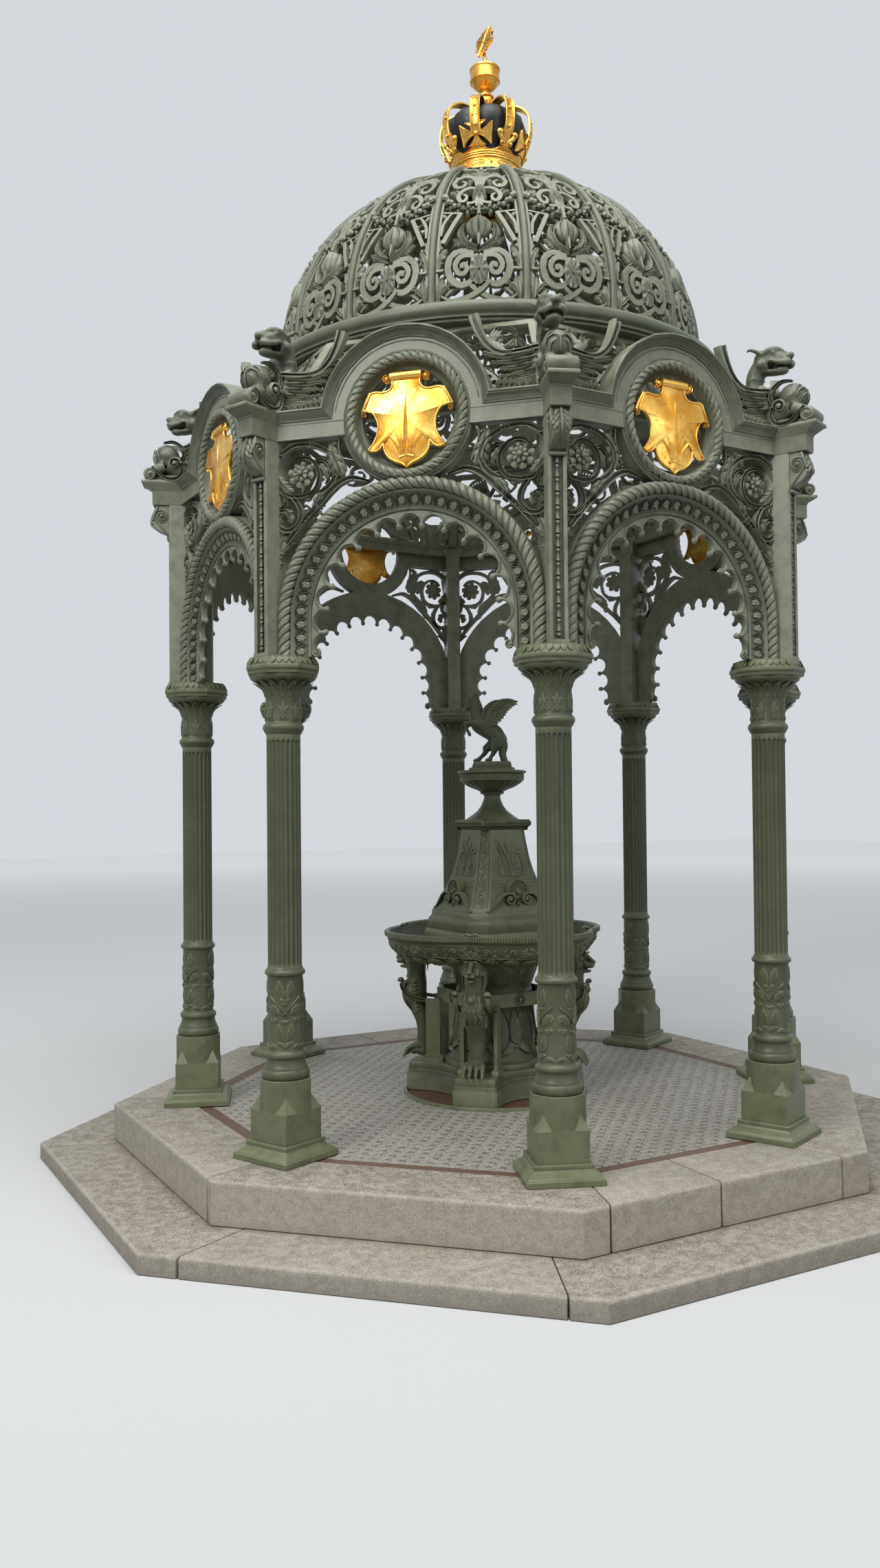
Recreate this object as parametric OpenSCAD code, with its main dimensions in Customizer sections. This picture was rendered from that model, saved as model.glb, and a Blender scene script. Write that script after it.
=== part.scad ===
// Octagonal cast-iron drinking fountain canopy on two granite steps,
// with its fountain under an openwork dome and crown.
// The origin is at ground level on the vertical axis, +Z up, in millimetres.

/* [Steps and floor] */
// Height of the lower granite step
lower_step_h = 80; // [40:1:160]
// Radius of the lower step to its corners
lower_step_r = 2230; // [2100:5:2600]
// Height of the upper granite step
upper_step_h = 175; // [120:1:240]
// Radius of the upper step to its corners
upper_step_r = 1880; // [1750:5:2050]
// Distance from the centre to the sides of the mosaic floor
floor_apothem = 1410; // [1300:5:1500]
// Depth of the mosaic floor below the kerb
floor_drop = 4; // [1:1:20]
// Outer radius of the iron kerb ring round the fountain
kerb_ring_r = 462; // [440:1:600]
// Width of the iron kerb ring
kerb_ring_w = 18; // [8:1:40]
// Height of the iron kerb ring above the floor
kerb_ring_h = 16; // [6:1:40]

/* [Columns] */
// Distance of each column's axis from the centre
column_r = 1475; // [1400:5:1550]
// Side of the square base slab
base_w = 305; // [280:1:340]
// Height of the base slab
base_slab_h = 25; // [15:1:60]
// Height of the moulding on the base slab
base_moulding_h = 50; // [30:1:80]
// Width of the pedestal block and of its octagon stage
block_w = 205; // [200:1:230]
// Height of the square pedestal block
block_h = 123; // [80:1:200]
// Height of the pyramid stops on the block's corners
stop_h = 58; // [30:1:100]
// Height of the octagon stage
octagon_h = 127; // [110:1:200]
// Height of the base rings above the octagon stage
base_rings_h = 115; // [100:1:160]
// Radius of the largest base ring
base_ring_r = 98; // [90:1:102]
// Radius of the ornamented band
band_r = 72; // [66:1:80]
// Height of the ornamented band
band_h = 305; // [200:1:400]
// Height of the ring between band and shaft
mid_ring_h = 35; // [30:1:60]
// Radius of the shaft
shaft_r = 70; // [60:1:78]
// Height of the fluted shaft
shaft_h = 955; // [600:5:1400]
// Number of flutes round the shaft
flutes = 20; // [12:1:28]
// Radius of each flute
flute_r = 8; // [4:0.5:9]
// Height of the neck ring above the shaft
neck_ring_h = 45; // [36:1:70]
// Height of the leaf necking
necking_h = 100; // [60:1:160]
// Height of the bell under the abacus
bell_h = 95; // [70:1:140]
// Radius of the abacus to its corners
abacus_r = 160; // [150:1:180]
// Height of the straight edge of the abacus
abacus_h = 35; // [20:1:60]
// Height of the sloping top of the abacus
abacus_top_h = 35; // [20:1:60]

/* [Arch panels] */
// Distance of the panel's outer face in front of the column axes
panel_out = 70; // [60:1:80]
// Distance of the arch's back face in front of the column axes
panel_back = 8; // [2:1:20]
// Thickness of the pierced spandrel plate
spandrel_t = 30; // [20:1:40]
// Outer radius of the large scroll in the spandrel
scroll_r = 122; // [110:1:126]
// Width of the large scroll's band
scroll_w = 20; // [14:1:26]
// Outer radius of the small spiral under the large scroll
spiral_r = 62; // [52:1:68]
// Radius of the rosette in the large scroll
rosette_r = 62; // [48:1:70]
// Width of the stems and leaves between the scrolls
stem_w = 18; // [14:1:26]
// Width of the fillet beside each pier
fillet_w = 20; // [12:1:30]
// Height of the straight foot of each arch
stilt_h = 145; // [80:1:220]
// Outer radius of the arch's rope moulding
arch_r = 555; // [530:1:560]
// Radius of the rope moulding itself
arch_rope_r = 27; // [20:1:32]
// Width of the ornamented band inside the rope
arch_band_w = 72; // [50:1:90]
// Radius of the arch opening to the deepest foils
arch_foil_r = 410; // [390:1:415]
// Radius of each foil of the cusped edge
foil_r = 46; // [40:0.5:50]
// Angle between two foils
foil_step = 15; // [12:1:18]
// Radius of the ball on each cusp
cusp_ball_r = 13; // [8:0.5:16]
// Height of the medallion's centre above the arch's centre
medallion_rise = 795; // [785:1:815]
// Outer radius of the medallion's rope ring
medallion_r = 255; // [240:1:270]
// Radius of the medallion's rope moulding
medallion_rope_r = 20; // [14:1:24]
// Radius of the hole behind the shield
medallion_hole_r = 190; // [170:1:200]
// Outer radius of the round crest over the medallion
crest_r = 355; // [335:1:380]
// Height of the flat lettering band's lower edge above the arch's centre
entablature_rise = 740; // [720:1:760]
// Height of the flat lettering band
entablature_h = 70; // [50:1:90]
// Height of the rim moulding on the band and round the crest
rim_h = 42; // [30:1:60]
// How far the rim moulding stands out
rim_out = 30; // [15:1:40]
// How far the lettering band stands in front of the panels
band_out = 6; // [2:1:12]
// Depth of the ledge behind the rim that carries the frieze
ledge_w = 24; // [20:1:40]

/* [Corner piers] */
// Width of the beaded pilaster
pilaster_w = 76; // [60:1:84]
// Distance of the pilaster's face in front of the column's axis
pilaster_out = 128; // [115:1:140]
// Radius of the beads on the pilaster
bead_r = 12; // [8:0.5:16]
// Number of beads
beads = 17; // [8:1:22]
// How far the console's volutes stand out from the column's axis
console_out = 210; // [190:1:230]
// Radius of the console's volute
volute_r = 34; // [26:1:42]
// How far the pier's cap stands out from the column's axis
cap_out = 255; // [240:1:270]
// Width of the pier's cap
cap_w = 106; // [90:1:120]
// Height of the leaf console under the block
console_h = 130; // [100:1:150]
// Depth of the sunk face of the pilaster
pier_sink = 26; // [10:1:34]
// Width of the fillets beside the sunk face
pier_fillet_w = 18; // [10:1:22]
// How far the pilaster reaches in behind the column's axis
pier_back = 80; // [60:1:90]

/* [Shields] */
// Width of each gilded shield
shield_w = 390; // [340:2:420]
// Height of each gilded shield
shield_h = 400; // [340:2:440]
// Thickness of each gilded shield
shield_t = 16; // [8:1:30]

/* [Griffins] */
// Height of each griffin
griffin_h = 380; // [340:2:420]
// Thickness of each wing
wing_t = 14; // [10:1:24]

/* [Frieze and dome] */
// Radius of the dome ring's large roll, at the middle of the roll
dome_ring_r = 1140; // [1110:5:1160]
// Radius of the roll itself
dome_roll_r = 33; // [24:1:40]
// Height of the middle of the roll above the top of the arch panels
dome_ring_rise = 474; // [440:2:520]
// Thickness of the leaning frieze panels
frieze_t = 24; // [16:1:40]
// How far the dome's widest line lies inside the middle of the roll
dome_setback = 99; // [85:1:120]
// Height of the dome's widest level above the middle of the roll
dome_lift = 125; // [90:1:160]
// Height of the dome's ellipse above its widest level
dome_b = 912; // [850:2:980]
// Number of ribs
ribs = 16; // [8:8:16]
// Width of each rib
rib_w = 40; // [28:1:52]
// Depth of each rib
rib_d = 44; // [30:1:60]
// Thickness of the pierced dome panels
dome_t = 22; // [14:1:30]

/* [Crown] */
// Radius of the crown's circlet at its foot
circlet_r = 178; // [165:1:190]
// Height of the crown's collar on the dome
collar_h = 80; // [60:1:120]
// Height of the circlet
circlet_h = 155; // [120:1:190]
// Thickness of the circlet
circlet_t = 18; // [12:1:24]
// Widest radius of the crown
crown_r = 240; // [225:1:255]
// Height of the crosses and lilies above the circlet
crown_leaf_h = 145; // [120:1:170]
// Height of the crown's arches above the crosses
crown_arch_h = 160; // [130:1:190]
// Radius of the top of the arches
crown_top_r = 104; // [90:1:120]
// Width of the crown's band arches
crown_band_w = 45; // [30:1:56]
// Thickness of the crown's band arches
crown_band_t = 8; // [6:0.5:12]
// Radius of the knop under the finial's drum
knop_r = 48; // [40:1:56]
// Height of the neck between the crown and the drum
knop_h = 80; // [60:1:100]
// Radius of the finial's drum
drum_r = 81; // [70:1:95]
// Height of the finial's drum
drum_h = 100; // [80:1:130]
// Height of the cross on the drum
cross_h = 196; // [150:2:240]

/* [Fountain] */
// Distance from the axis to the front of each paw block
paw_block_r = 410; // [390:1:425]
// Width of each paw block
paw_block_w = 230; // [200:1:260]
// Height of the fountain's plinth
plinth_h = 140; // [110:1:180]
// Height of the basin's rim above the platform
basin_rim_z = 815; // [760:1:880]
// Radius of each lobe of the basin
lobe_r = 395; // [360:1:420]
// Radius on which the lobes' centres lie
lobe_centre_r = 170; // [150:1:190]
// Depth of the basin inside
basin_depth = 130; // [100:1:160]
// Thickness of the basin's wall
basin_t = 22; // [16:1:30]
// Half width of the pedestal that stands in the basin
pedestal_w = 235; // [215:1:250]
// Half width of the tapering shaft at its foot
shaft_foot_w = 165; // [150:1:180]
// Half width of the tapering shaft at its top
shaft_top_w = 122; // [105:1:135]
// Height of the pedestal under the tapering shaft, above the basin's floor
pedestal_h = 225; // [180:1:260]
// Height of the tapering shaft
taper_h = 400; // [320:2:480]
// Height of the shaft's cap
shaft_cap_h = 52; // [40:1:70]
// Height of the hollow-sided neck above the cap
neck_h = 125; // [100:1:150]
// Radius of the small upper bowl
tazza_r = 175; // [160:1:190]
// Height of the small upper bowl
tazza_h = 120; // [100:1:140]
// Height of the figure on the upper bowl, with its base
figure_h = 342; // [280:2:400]

/* [Hidden] */
sides = 8;
half_bay = 180 / sides;
$fn = 48;
// Clearance between a piece and its seat
seat_gap = 0.3;
// How far the parts of one casting reach into each other
lap = 4;

iron = "#5b5f4c";
column_green = "#4c5139";
gold = "#d9a441";
granite = "#8f887b";
mosaic = "#c9c5b8";

// Levels, from the ground up
platform_z = lower_step_h + upper_step_h;
block_z = base_slab_h + base_moulding_h;
octagon_z = block_z + block_h;
rings_z = octagon_z + octagon_h;
band_z = rings_z + base_rings_h;
mid_ring_z = band_z + band_h;
shaft_z = mid_ring_z + mid_ring_h;
neck_ring_z = shaft_z + shaft_h;
necking_z = neck_ring_z + neck_ring_h;
bell_z = necking_z + necking_h;
abacus_z = bell_z + bell_h;
column_h = abacus_z + abacus_h + abacus_top_h;
spring_z = platform_z + column_h;
arch_z = spring_z + stilt_h;
medallion_z = arch_z + medallion_rise;
entablature_z = arch_z + entablature_rise;
rim_z = entablature_z + entablature_h;
panel_top_z = rim_z + rim_h;
ring_z = panel_top_z + dome_ring_rise;
dome_a = dome_ring_r - dome_setback;
dome_z = ring_z + dome_lift;

// Plan of the eight sides
panel_apothem = column_r * cos(half_bay);
flank = pilaster_w / 2;
console_z = entablature_z - console_h;
bay_edge = column_r * sin(half_bay) + panel_out * tan(half_bay) - flank;

// Where the dome's ribs meet the crown's collar
collar_lip = circlet_r * 0.097;
dome_top_z = dome_z + dome_b * sqrt(1 - pow(circlet_r / dome_a, 2));
dome_foot_z = ring_z + dome_roll_r;
circlet_z = dome_top_z + collar_h;
leaf_z = circlet_z + circlet_h;
circlet_in = circlet_r - circlet_t * 1.33;
leaf_back_r = circlet_r - circlet_t;
leaf_lean = atan((crown_r - circlet_r) / crown_leaf_h);
knop_stem_r = knop_r * 0.625;
crown_wide_z = leaf_z + crown_leaf_h;
crown_top_z = crown_wide_z + crown_arch_h;
drum_z = crown_top_z + knop_h;

// Levels of the fountain
basin_floor_z = platform_z + basin_rim_z - basin_depth;
basin_under_z = basin_floor_z - basin_t;
plinth_top_z = platform_z + plinth_h;
leg_h = basin_under_z - plinth_top_z;
taper_z = basin_floor_z + pedestal_h;
shaft_cap_z = taper_z + taper_h;
neck_z = shaft_cap_z + shaft_cap_h;
tazza_z = neck_z + neck_h;
figure_z = tazza_z + tazza_h;

function polar(r, a) = [r * cos(a), r * sin(a)];

// One side of a strip of thickness t that follows a line of points
function strip_side(p, t) = [
  for (i = [0:len(p) - 1])
    let (d = p[min(i + 1, len(p) - 1)] - p[max(i - 1, 0)])
      p[i] + [-d[1], d[0]] * t / 2 / norm(d)
];

function reversed(p) = [for (i = [len(p) - 1:-1:0]) p[i]];

module strip(p, t) {
  polygon(concat(strip_side(p, t), reversed(strip_side(p, -t))));
}

// A straight bar between two points
module bar(a, b, w) {
  strip([a, b], w);
}

function corner_angle(i) = -half_bay * (2 * i + 5);
function face_angle(i) = -half_bay * (2 * i + 4);

// An octagon given by its radius to the corners, with flat sides on the axes
module octagon(r) {
  rotate(half_bay) circle(r = r, $fn = sides);
}

module octagon_by_apothem(a) {
  octagon(a / cos(half_bay));
}

// A moulding on a square plan: the half profile is cut both ways
module square_moulding() {
  intersection_for (a = [0, 90])
    rotate([90, 0, a])
      linear_extrude(4 * base_w, center = true) {
        children();
        mirror([1, 0]) children();
      }
}

module lower_step() {
  color(granite)
    linear_extrude(lower_step_h) octagon(lower_step_r);
}

module upper_step() {
  color(granite)
    translate([0, 0, lower_step_h])
      linear_extrude(upper_step_h) difference() {
        octagon(upper_step_r);
        octagon_by_apothem(floor_apothem);
      }
}

// The mosaic bed fills the kerb; a raised iron ring surrounds the fountain
module mosaic_floor() {
  color(mosaic) {
    translate([0, 0, lower_step_h])
      linear_extrude(upper_step_h - floor_drop) octagon_by_apothem(floor_apothem);
    translate([0, 0, lower_step_h])
      linear_extrude(upper_step_h - floor_drop + kerb_ring_h) difference() {
        circle(r = kerb_ring_r, $fn = 96);
        circle(r = kerb_ring_r - kerb_ring_w, $fn = 96);
      }
  }
}

// Half profile of the square base: slab, cyma and fillet
module base_profile() {
  half = base_w / 2;
  rise = base_moulding_h;
  square([half, base_slab_h]);
  polygon([
    [0, base_slab_h],
    [half - rise * 0.16, base_slab_h],
    [half - rise * 0.28, base_slab_h + rise * 0.2],
    [half - rise * 0.64, base_slab_h + rise * 0.44],
    [block_w / 2 + rise * 0.2, base_slab_h + rise * 0.68],
    [block_w / 2 + rise * 0.12, block_z],
    [0, block_z]
  ]);
}

// Turned parts of the column above its octagon stage
module column_profile() {
  bulge = base_rings_h * 0.17;
  bead = mid_ring_h * 0.28;
  flare = abacus_r - shaft_r;
  polygon([
    [0, rings_z],
    [base_ring_r - bulge * 0.4, rings_z],
    [base_ring_r - bulge * 0.5, rings_z + base_rings_h * 0.37],
    [base_ring_r - bulge * 0.7, rings_z + base_rings_h * 0.52],
    [band_r + bead, rings_z + base_rings_h * 0.7],
    [band_r + bead * 0.8, band_z - bead * 1.4],
    [band_r + bead * 0.2, band_z],
    [band_r, band_z],
    [band_r, mid_ring_z],
    [shaft_r + bead * 0.4, shaft_z],
    [0, shaft_z]
  ]);
  translate([base_ring_r - bulge, rings_z + bulge]) circle(r = bulge);
  translate([band_r + bead * 0.4, band_z - bead * 1.6]) circle(r = bead * 0.9);
  translate([band_r + bead * 0.1, mid_ring_z + mid_ring_h / 2]) circle(r = bead);
  polygon([
    [0, neck_ring_z],
    [shaft_r + flare * 0.03, neck_ring_z],
    [shaft_r + flare * 0.03, necking_z],
    [shaft_r + flare * 0.02, necking_z + necking_h * 0.08],
    [shaft_r + flare * 0.07, bell_z],
    [shaft_r + flare * 0.16, bell_z + bell_h * 0.28],
    [shaft_r + flare * 0.34, bell_z + bell_h * 0.55],
    [shaft_r + flare * 0.74, bell_z + bell_h * 0.9],
    [shaft_r + flare * 0.8, abacus_z],
    [0, abacus_z]
  ]);
  translate([shaft_r + flare * 0.03, neck_ring_z + neck_ring_h * 0.6])
    circle(r = neck_ring_h * 0.25);
}

// The shaft runs on into the rings below and above it
module fluted_shaft() {
  linear_extrude(shaft_h + 2 * lap) difference() {
    circle(r = shaft_r, $fn = 96);
    for (i = [0:flutes - 1])
      rotate(i * 360 / flutes) translate([shaft_r + flute_r / 4, 0]) circle(r = flute_r, $fn = 24);
  }
}

// A pyramid stop fills the corner between the square block and the octagon
module corner_stop() {
  h = block_w / 2;
  c = h * tan(half_bay);
  m = h * cos(45);
  polyhedron(
    [[h, h, 0], [h, c, 0], [c, h, 0], [m, m, stop_h]],
    [[0, 1, 2], [0, 3, 1], [1, 3, 2], [2, 3, 0]]
  );
}

module column() {
  color(column_green) {
    intersection() {
      square_moulding() base_profile();
      translate([-base_w, -base_w, 0]) cube([2 * base_w, 2 * base_w, block_z]);
    }
    translate([-block_w / 2, -block_w / 2, block_z]) cube([block_w, block_w, block_h]);
    translate([0, 0, octagon_z])
      linear_extrude(octagon_h) octagon_by_apothem(block_w / 2);
    for (a = [0:90:270])
      translate([0, 0, octagon_z]) rotate(a) corner_stop();
    rotate_extrude($fn = 64) column_profile();
    translate([0, 0, shaft_z - lap]) fluted_shaft();
    translate([0, 0, abacus_z]) linear_extrude(abacus_h) octagon(abacus_r);
    translate([0, 0, abacus_z + abacus_h])
      rotate(half_bay)
        cylinder(h = abacus_top_h, r1 = abacus_r * 0.96, r2 = abacus_r * 0.9, $fn = sides);
  }
}

module placed_column(i) {
  translate([each polar(column_r, corner_angle(i)), platform_z]) column();
}

// Panels are drawn for the side that faces -Y, then turned to their side.
// Depths are measured outwards from the plane through the column axes.
module on_face(i) {
  rotate(face_angle(i) + 90) children();
}

module plate(from, to) {
  translate([0, -panel_apothem - from, 0])
    rotate([90, 0, 0]) linear_extrude(to - from) children();
}

module turned(z, angle = 360) {
  translate([0, -panel_apothem, z])
    rotate([90, 0, 0]) rotate_extrude(angle = angle, $fn = 96) children();
}

module upright(z, h) {
  for (s = [0, 1])
    mirror([s, 0, 0])
      translate([0, -panel_apothem, z]) linear_extrude(h) mirror([0, 1]) children();
}

// Plan of one bay between the flanks of two piers
module bay_plan() {
  reach = column_r * 0.13;
  function edge(r, s) = [
    s * (r * sin(half_bay) - flank * cos(half_bay)),
    -(r * cos(half_bay) + flank * sin(half_bay))
  ];
  polygon([edge(column_r - reach, -1), edge(column_r + reach, -1),
           edge(column_r + reach, 1), edge(column_r - reach, 1)]);
}

arch_inner_r = arch_r - 2 * arch_rope_r - arch_band_w;
foil_pitch_r = arch_foil_r - foil_r;
foot_foil_z = arch_z - 2 * foil_pitch_r * sin(foil_step / 2);

// Section through the arch: rope, splayed band and fillet
module arch_section() {
  rope_c = arch_r - arch_rope_r;
  outer = rope_c + arch_rope_r * 0.45;
  splay_out = panel_out - arch_band_w * 0.39;
  polygon([
    [arch_inner_r, panel_back],
    [outer, panel_back],
    [outer, panel_out - lap],
    [rope_c - arch_rope_r * 0.93, panel_out],
    [arch_inner_r + arch_band_w * 0.11, splay_out],
    [arch_inner_r, splay_out]
  ]);
  translate([rope_c, panel_out - lap / 2]) circle(r = arch_rope_r);
}

// The foils run round the arch and on to its straight feet
module foils() {
  for (a = [0:foil_step:180])
    translate([0, arch_z]) translate(polar(foil_pitch_r, a)) circle(r = foil_r, $fn = 32);
  for (s = [-1, 1])
    translate([s * foil_pitch_r, foot_foil_z]) circle(r = foil_r, $fn = 32);
}

module cusp_plate() {
  root_r = arch_inner_r + 3 * lap;
  difference() {
    union() {
      translate([0, arch_z]) circle(r = root_r, $fn = 96);
      translate([-root_r, spring_z]) square([2 * root_r, stilt_h]);
    }
    translate([0, arch_z]) circle(r = foil_pitch_r, $fn = 96);
    translate([-foil_pitch_r, spring_z - lap]) square([2 * foil_pitch_r, stilt_h + lap]);
    translate([-column_r, spring_z - column_r]) square([2 * column_r, column_r]);
    foils();
  }
}

module cusp_balls() {
  tip_r = foil_pitch_r + cusp_ball_r * 0.45;
  for (a = [foil_step / 2:foil_step:180])
    translate([0, arch_z])
      translate(polar(tip_r, a)) circle(r = cusp_ball_r, $fn = 24);
}

// Pierced spandrel: a scroll round a rosette, a lower spiral, stems and leaves.
// Its points follow the pier's edge, the arch, the medallion and the lettering band.
scroll_c = [bay_edge - scroll_r * 0.86, entablature_z - scroll_r - lap];
spiral_c = [bay_edge - spiral_r * 0.8, scroll_c[1] - scroll_r - spiral_r + lap];
function on_scroll(a) = scroll_c + polar(scroll_r - scroll_w / 2, a);
function on_spiral(a) = spiral_c + polar(spiral_r - scroll_w / 2, a);
function on_arch(a) = [0, arch_z] + polar(arch_r - arch_rope_r, a);
function on_medallion(a) = [0, medallion_z] + polar(medallion_r - medallion_rope_r, a);

module spandrel_ring(centre, r, w) {
  translate(centre) difference() {
    circle(r = r);
    circle(r = r - w);
  }
}

module spandrel_scrolls() {
  for (s = [0, 1])
    mirror([s, 0]) {
      translate(scroll_c) circle(r = rosette_r);
      spandrel_ring(scroll_c, scroll_r, scroll_w);
      for (a = [35:90:305])
        bar(scroll_c, on_scroll(a), stem_w * 0.9);
      spandrel_ring(spiral_c, spiral_r, scroll_w * 0.8);
      spandrel_ring(spiral_c, spiral_r / 2, scroll_w * 0.7);
      bar(spiral_c, on_spiral(20), stem_w * 0.8);
      bar(on_arch(60), on_scroll(212), stem_w * 1.2);
      bar(on_arch(50), on_spiral(175), stem_w);
      bar(on_arch(42), on_arch(58) + [stem_w, stem_w], stem_w);
      bar(on_medallion(-20), on_scroll(168), stem_w * 1.8);
      bar(on_medallion(-2), on_scroll(140), stem_w);
      bar([scroll_c[0] - scroll_r * 1.2, entablature_z + lap], on_scroll(152), stem_w * 1.6);
      bar(on_spiral(60), on_scroll(-45), stem_w * 0.9);
      bar([bay_edge, on_spiral(0)[1]], on_spiral(0), stem_w);
      bar([bay_edge, scroll_c[1]], on_scroll(0), stem_w);
      bar(on_spiral(-95), [bay_edge - fillet_w / 2, arch_z + arch_r * 0.36], stem_w * 1.1);
      bar(on_arch(38), on_spiral(-95), stem_w);
    }
}

module spandrel_outline() {
  rope_c = arch_r - arch_rope_r;
  difference() {
    translate([-column_r / 2, spring_z])
      square([column_r, entablature_z - spring_z + lap]);
    translate([0, arch_z]) circle(r = rope_c, $fn = 96);
    translate([-rope_c, spring_z - lap]) square([2 * rope_c, stilt_h + lap]);
    translate([0, medallion_z]) circle(r = medallion_r - medallion_rope_r, $fn = 96);
  }
}

// The pierced field keeps a narrow frame along its edges
module spandrel() {
  intersection() {
    spandrel_outline();
    union() {
      spandrel_scrolls();
      for (s = [0, 1])
        mirror([s, 0])
          translate([bay_edge - fillet_w, spring_z])
            square([fillet_w + flank, entablature_z - spring_z + lap]);
    }
  }
}

module field() {
  difference() {
    union() {
      translate([0, medallion_z]) circle(r = crest_r - rim_h + lap, $fn = 96);
      translate([-column_r / 2, entablature_z]) square([column_r, entablature_h + lap]);
    }
    translate([0, medallion_z]) circle(r = medallion_hole_r, $fn = 96);
    translate([0, medallion_z]) difference() {
      circle(r = crest_r + lap, $fn = 96);
      circle(r = medallion_r - medallion_rope_r, $fn = 96);
      translate([-column_r, entablature_z - medallion_z]) square([2 * column_r, column_r]);
    }
  }
}

module rim() {
  difference() {
    union() {
      translate([0, medallion_z]) circle(r = crest_r, $fn = 96);
      translate([-column_r / 2, rim_z]) square([column_r, rim_h]);
    }
    translate([0, medallion_z]) circle(r = crest_r - rim_h, $fn = 96);
    translate([-column_r, medallion_z - column_r]) square([2 * column_r, column_r + rim_z - medallion_z]);
  }
}

module arch_panel() {
  color(iron)
    intersection() {
      union() {
        turned(arch_z, 180) arch_section();
        upright(spring_z, stilt_h) arch_section();
        plate(panel_back, panel_out - arch_band_w * 0.42) {
          cusp_plate();
          cusp_balls();
        }
        plate(panel_out - spandrel_t, panel_out) spandrel();
        plate(panel_back + 3 * lap, panel_out + band_out) field();
        plate(panel_back, panel_out + band_out + rim_out) rim();
        plate(-ledge_w, panel_back + lap)
          translate([-column_r / 2, rim_z]) square([column_r, rim_h]);
        turned(medallion_z)
          translate([medallion_r - medallion_rope_r, panel_out + lap])
            circle(r = medallion_rope_r);
      }
      translate([0, 0, spring_z]) linear_extrude(column_r) bay_plan();
    }
}

module placed_arch(i) {
  on_face(i) arch_panel();
}

// Piers are drawn along +X, then turned to their corner
module pier() {
  chain_h = console_z - spring_z;
  block_out = console_out - lap;
  color(iron) {
    translate([column_r - pier_back, -flank, spring_z])
      cube([pier_back + pilaster_out - pier_sink, pilaster_w, panel_top_z - spring_z]);
    translate([column_r, -flank, spring_z])
      cube([pilaster_out, pilaster_w, bead_r]);
    for (s = [-1, 1])
      translate([column_r, s * (flank - pier_fillet_w / 2) - pier_fillet_w / 2, spring_z])
        cube([pilaster_out, pier_fillet_w, chain_h]);
    for (i = [0:beads - 1])
      translate([column_r + pilaster_out - pier_sink + bead_r / 2, 0,
                 spring_z + chain_h * (0.06 + 0.9 * i / (beads - 1))])
        sphere(r = bead_r, $fn = 20);
    // Leaf console between two volutes
    translate([column_r, 0, 0])
      rotate([90, 0, 0]) linear_extrude(pilaster_w, center = true) polygon([
        [0, console_z],
        [pilaster_out * 1.17, console_z],
        [pilaster_out * 1.28, console_z + console_h * 0.23],
        [console_out * 0.84, console_z + console_h * 0.48],
        [console_out * 0.9, entablature_z],
        [0, entablature_z]
      ]);
    translate([column_r + console_out - volute_r, 0, console_z + console_h * 0.62])
      rotate([90, 0, 0]) cylinder(r = volute_r, h = pilaster_w + lap * 5, center = true);
    // Block and cap
    translate([column_r, -pilaster_w * 0.45, entablature_z])
      cube([block_out, pilaster_w * 0.9, entablature_h]);
    translate([column_r, -cap_w / 2, rim_z]) cube([cap_out, cap_w, rim_h]);
  }
}

module placed_pier(i) {
  rotate(corner_angle(i)) pier();
}

// Each shield's ears and points rest on the ring round its hole
shield_seat = panel_out + band_out + seat_gap;

// Half of the scrolled shield outline about its centre line
module shield_half() {
  w = shield_w / 2;
  h = shield_h / 2;
  polygon([
    [-1, h * 0.84], [w * 0.48, h * 0.84], [w * 0.5, h * 0.7], [w * 0.33, h * 0.6],
    [w * 0.4, h * 0.54], [w * 0.53, h * 0.52], [w * 0.77, h * 0.53], [w * 0.88, h * 0.34],
    [w * 0.98, h * 0.15], [w * 0.97, h * 0.05], [w * 0.84, h * 0.12], [w * 0.73, h * 0.1],
    [w * 0.66, -h * 0.04], [w * 0.63, -h * 0.18], [w * 0.65, -h * 0.34], [w * 0.72, -h * 0.5],
    [w * 0.83, -h * 0.63], [w * 0.76, -h * 0.69], [w * 0.66, -h * 0.68], [w * 0.57, -h * 0.62],
    [w * 0.51, -h * 0.52], [w * 0.5, -h * 0.65], [w * 0.46, -h * 0.75], [w * 0.39, -h * 0.84],
    [w * 0.27, -h * 0.92], [w * 0.14, -h * 0.97], [w * 0.05, -h * 1.01], [-1, -h * 1.05]
  ]);
}

module shields() {
  color(gold)
    for (i = [1:sides])
      on_face(i)
        plate(shield_seat, shield_seat + shield_t)
          translate([0, medallion_z]) {
            shield_half();
            mirror([1, 0]) shield_half();
          }
}

// A body swept along a path in the XZ plane, closed at both ends.
// Each section is [x, z, half width, half height].
module body_loft(sections, n = 10) {
  count = len(sections);
  last = count - 1;
  function heading(i) =
    let (a = sections[max(i - 1, 0)], b = sections[min(i + 1, last)])
    atan2(b[1] - a[1], b[0] - a[0]);
  points = [for (i = [0:last]) for (k = [0:n - 1])
    let (s = sections[i], h = heading(i), t = 360 * k / n)
    [s[0] - s[3] * sin(t) * sin(h), s[2] * cos(t), s[1] + s[3] * sin(t) * cos(h)]];
  walls = [for (i = [0:last - 1]) for (k = [0:n - 1])
    [i * n + k, (i + 1) * n + k, (i + 1) * n + (k + 1) % n, i * n + (k + 1) % n]];
  ends = [[for (k = [0:n - 1]) k], [for (k = [n - 1:-1:0]) last * n + k]];
  polyhedron(points, concat(walls, ends));
}

// A seated griffin facing outwards, drawn along +X from the column's axis on a
// grid of which 38 units make its height
griffin_unit = griffin_h / 38;

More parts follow.
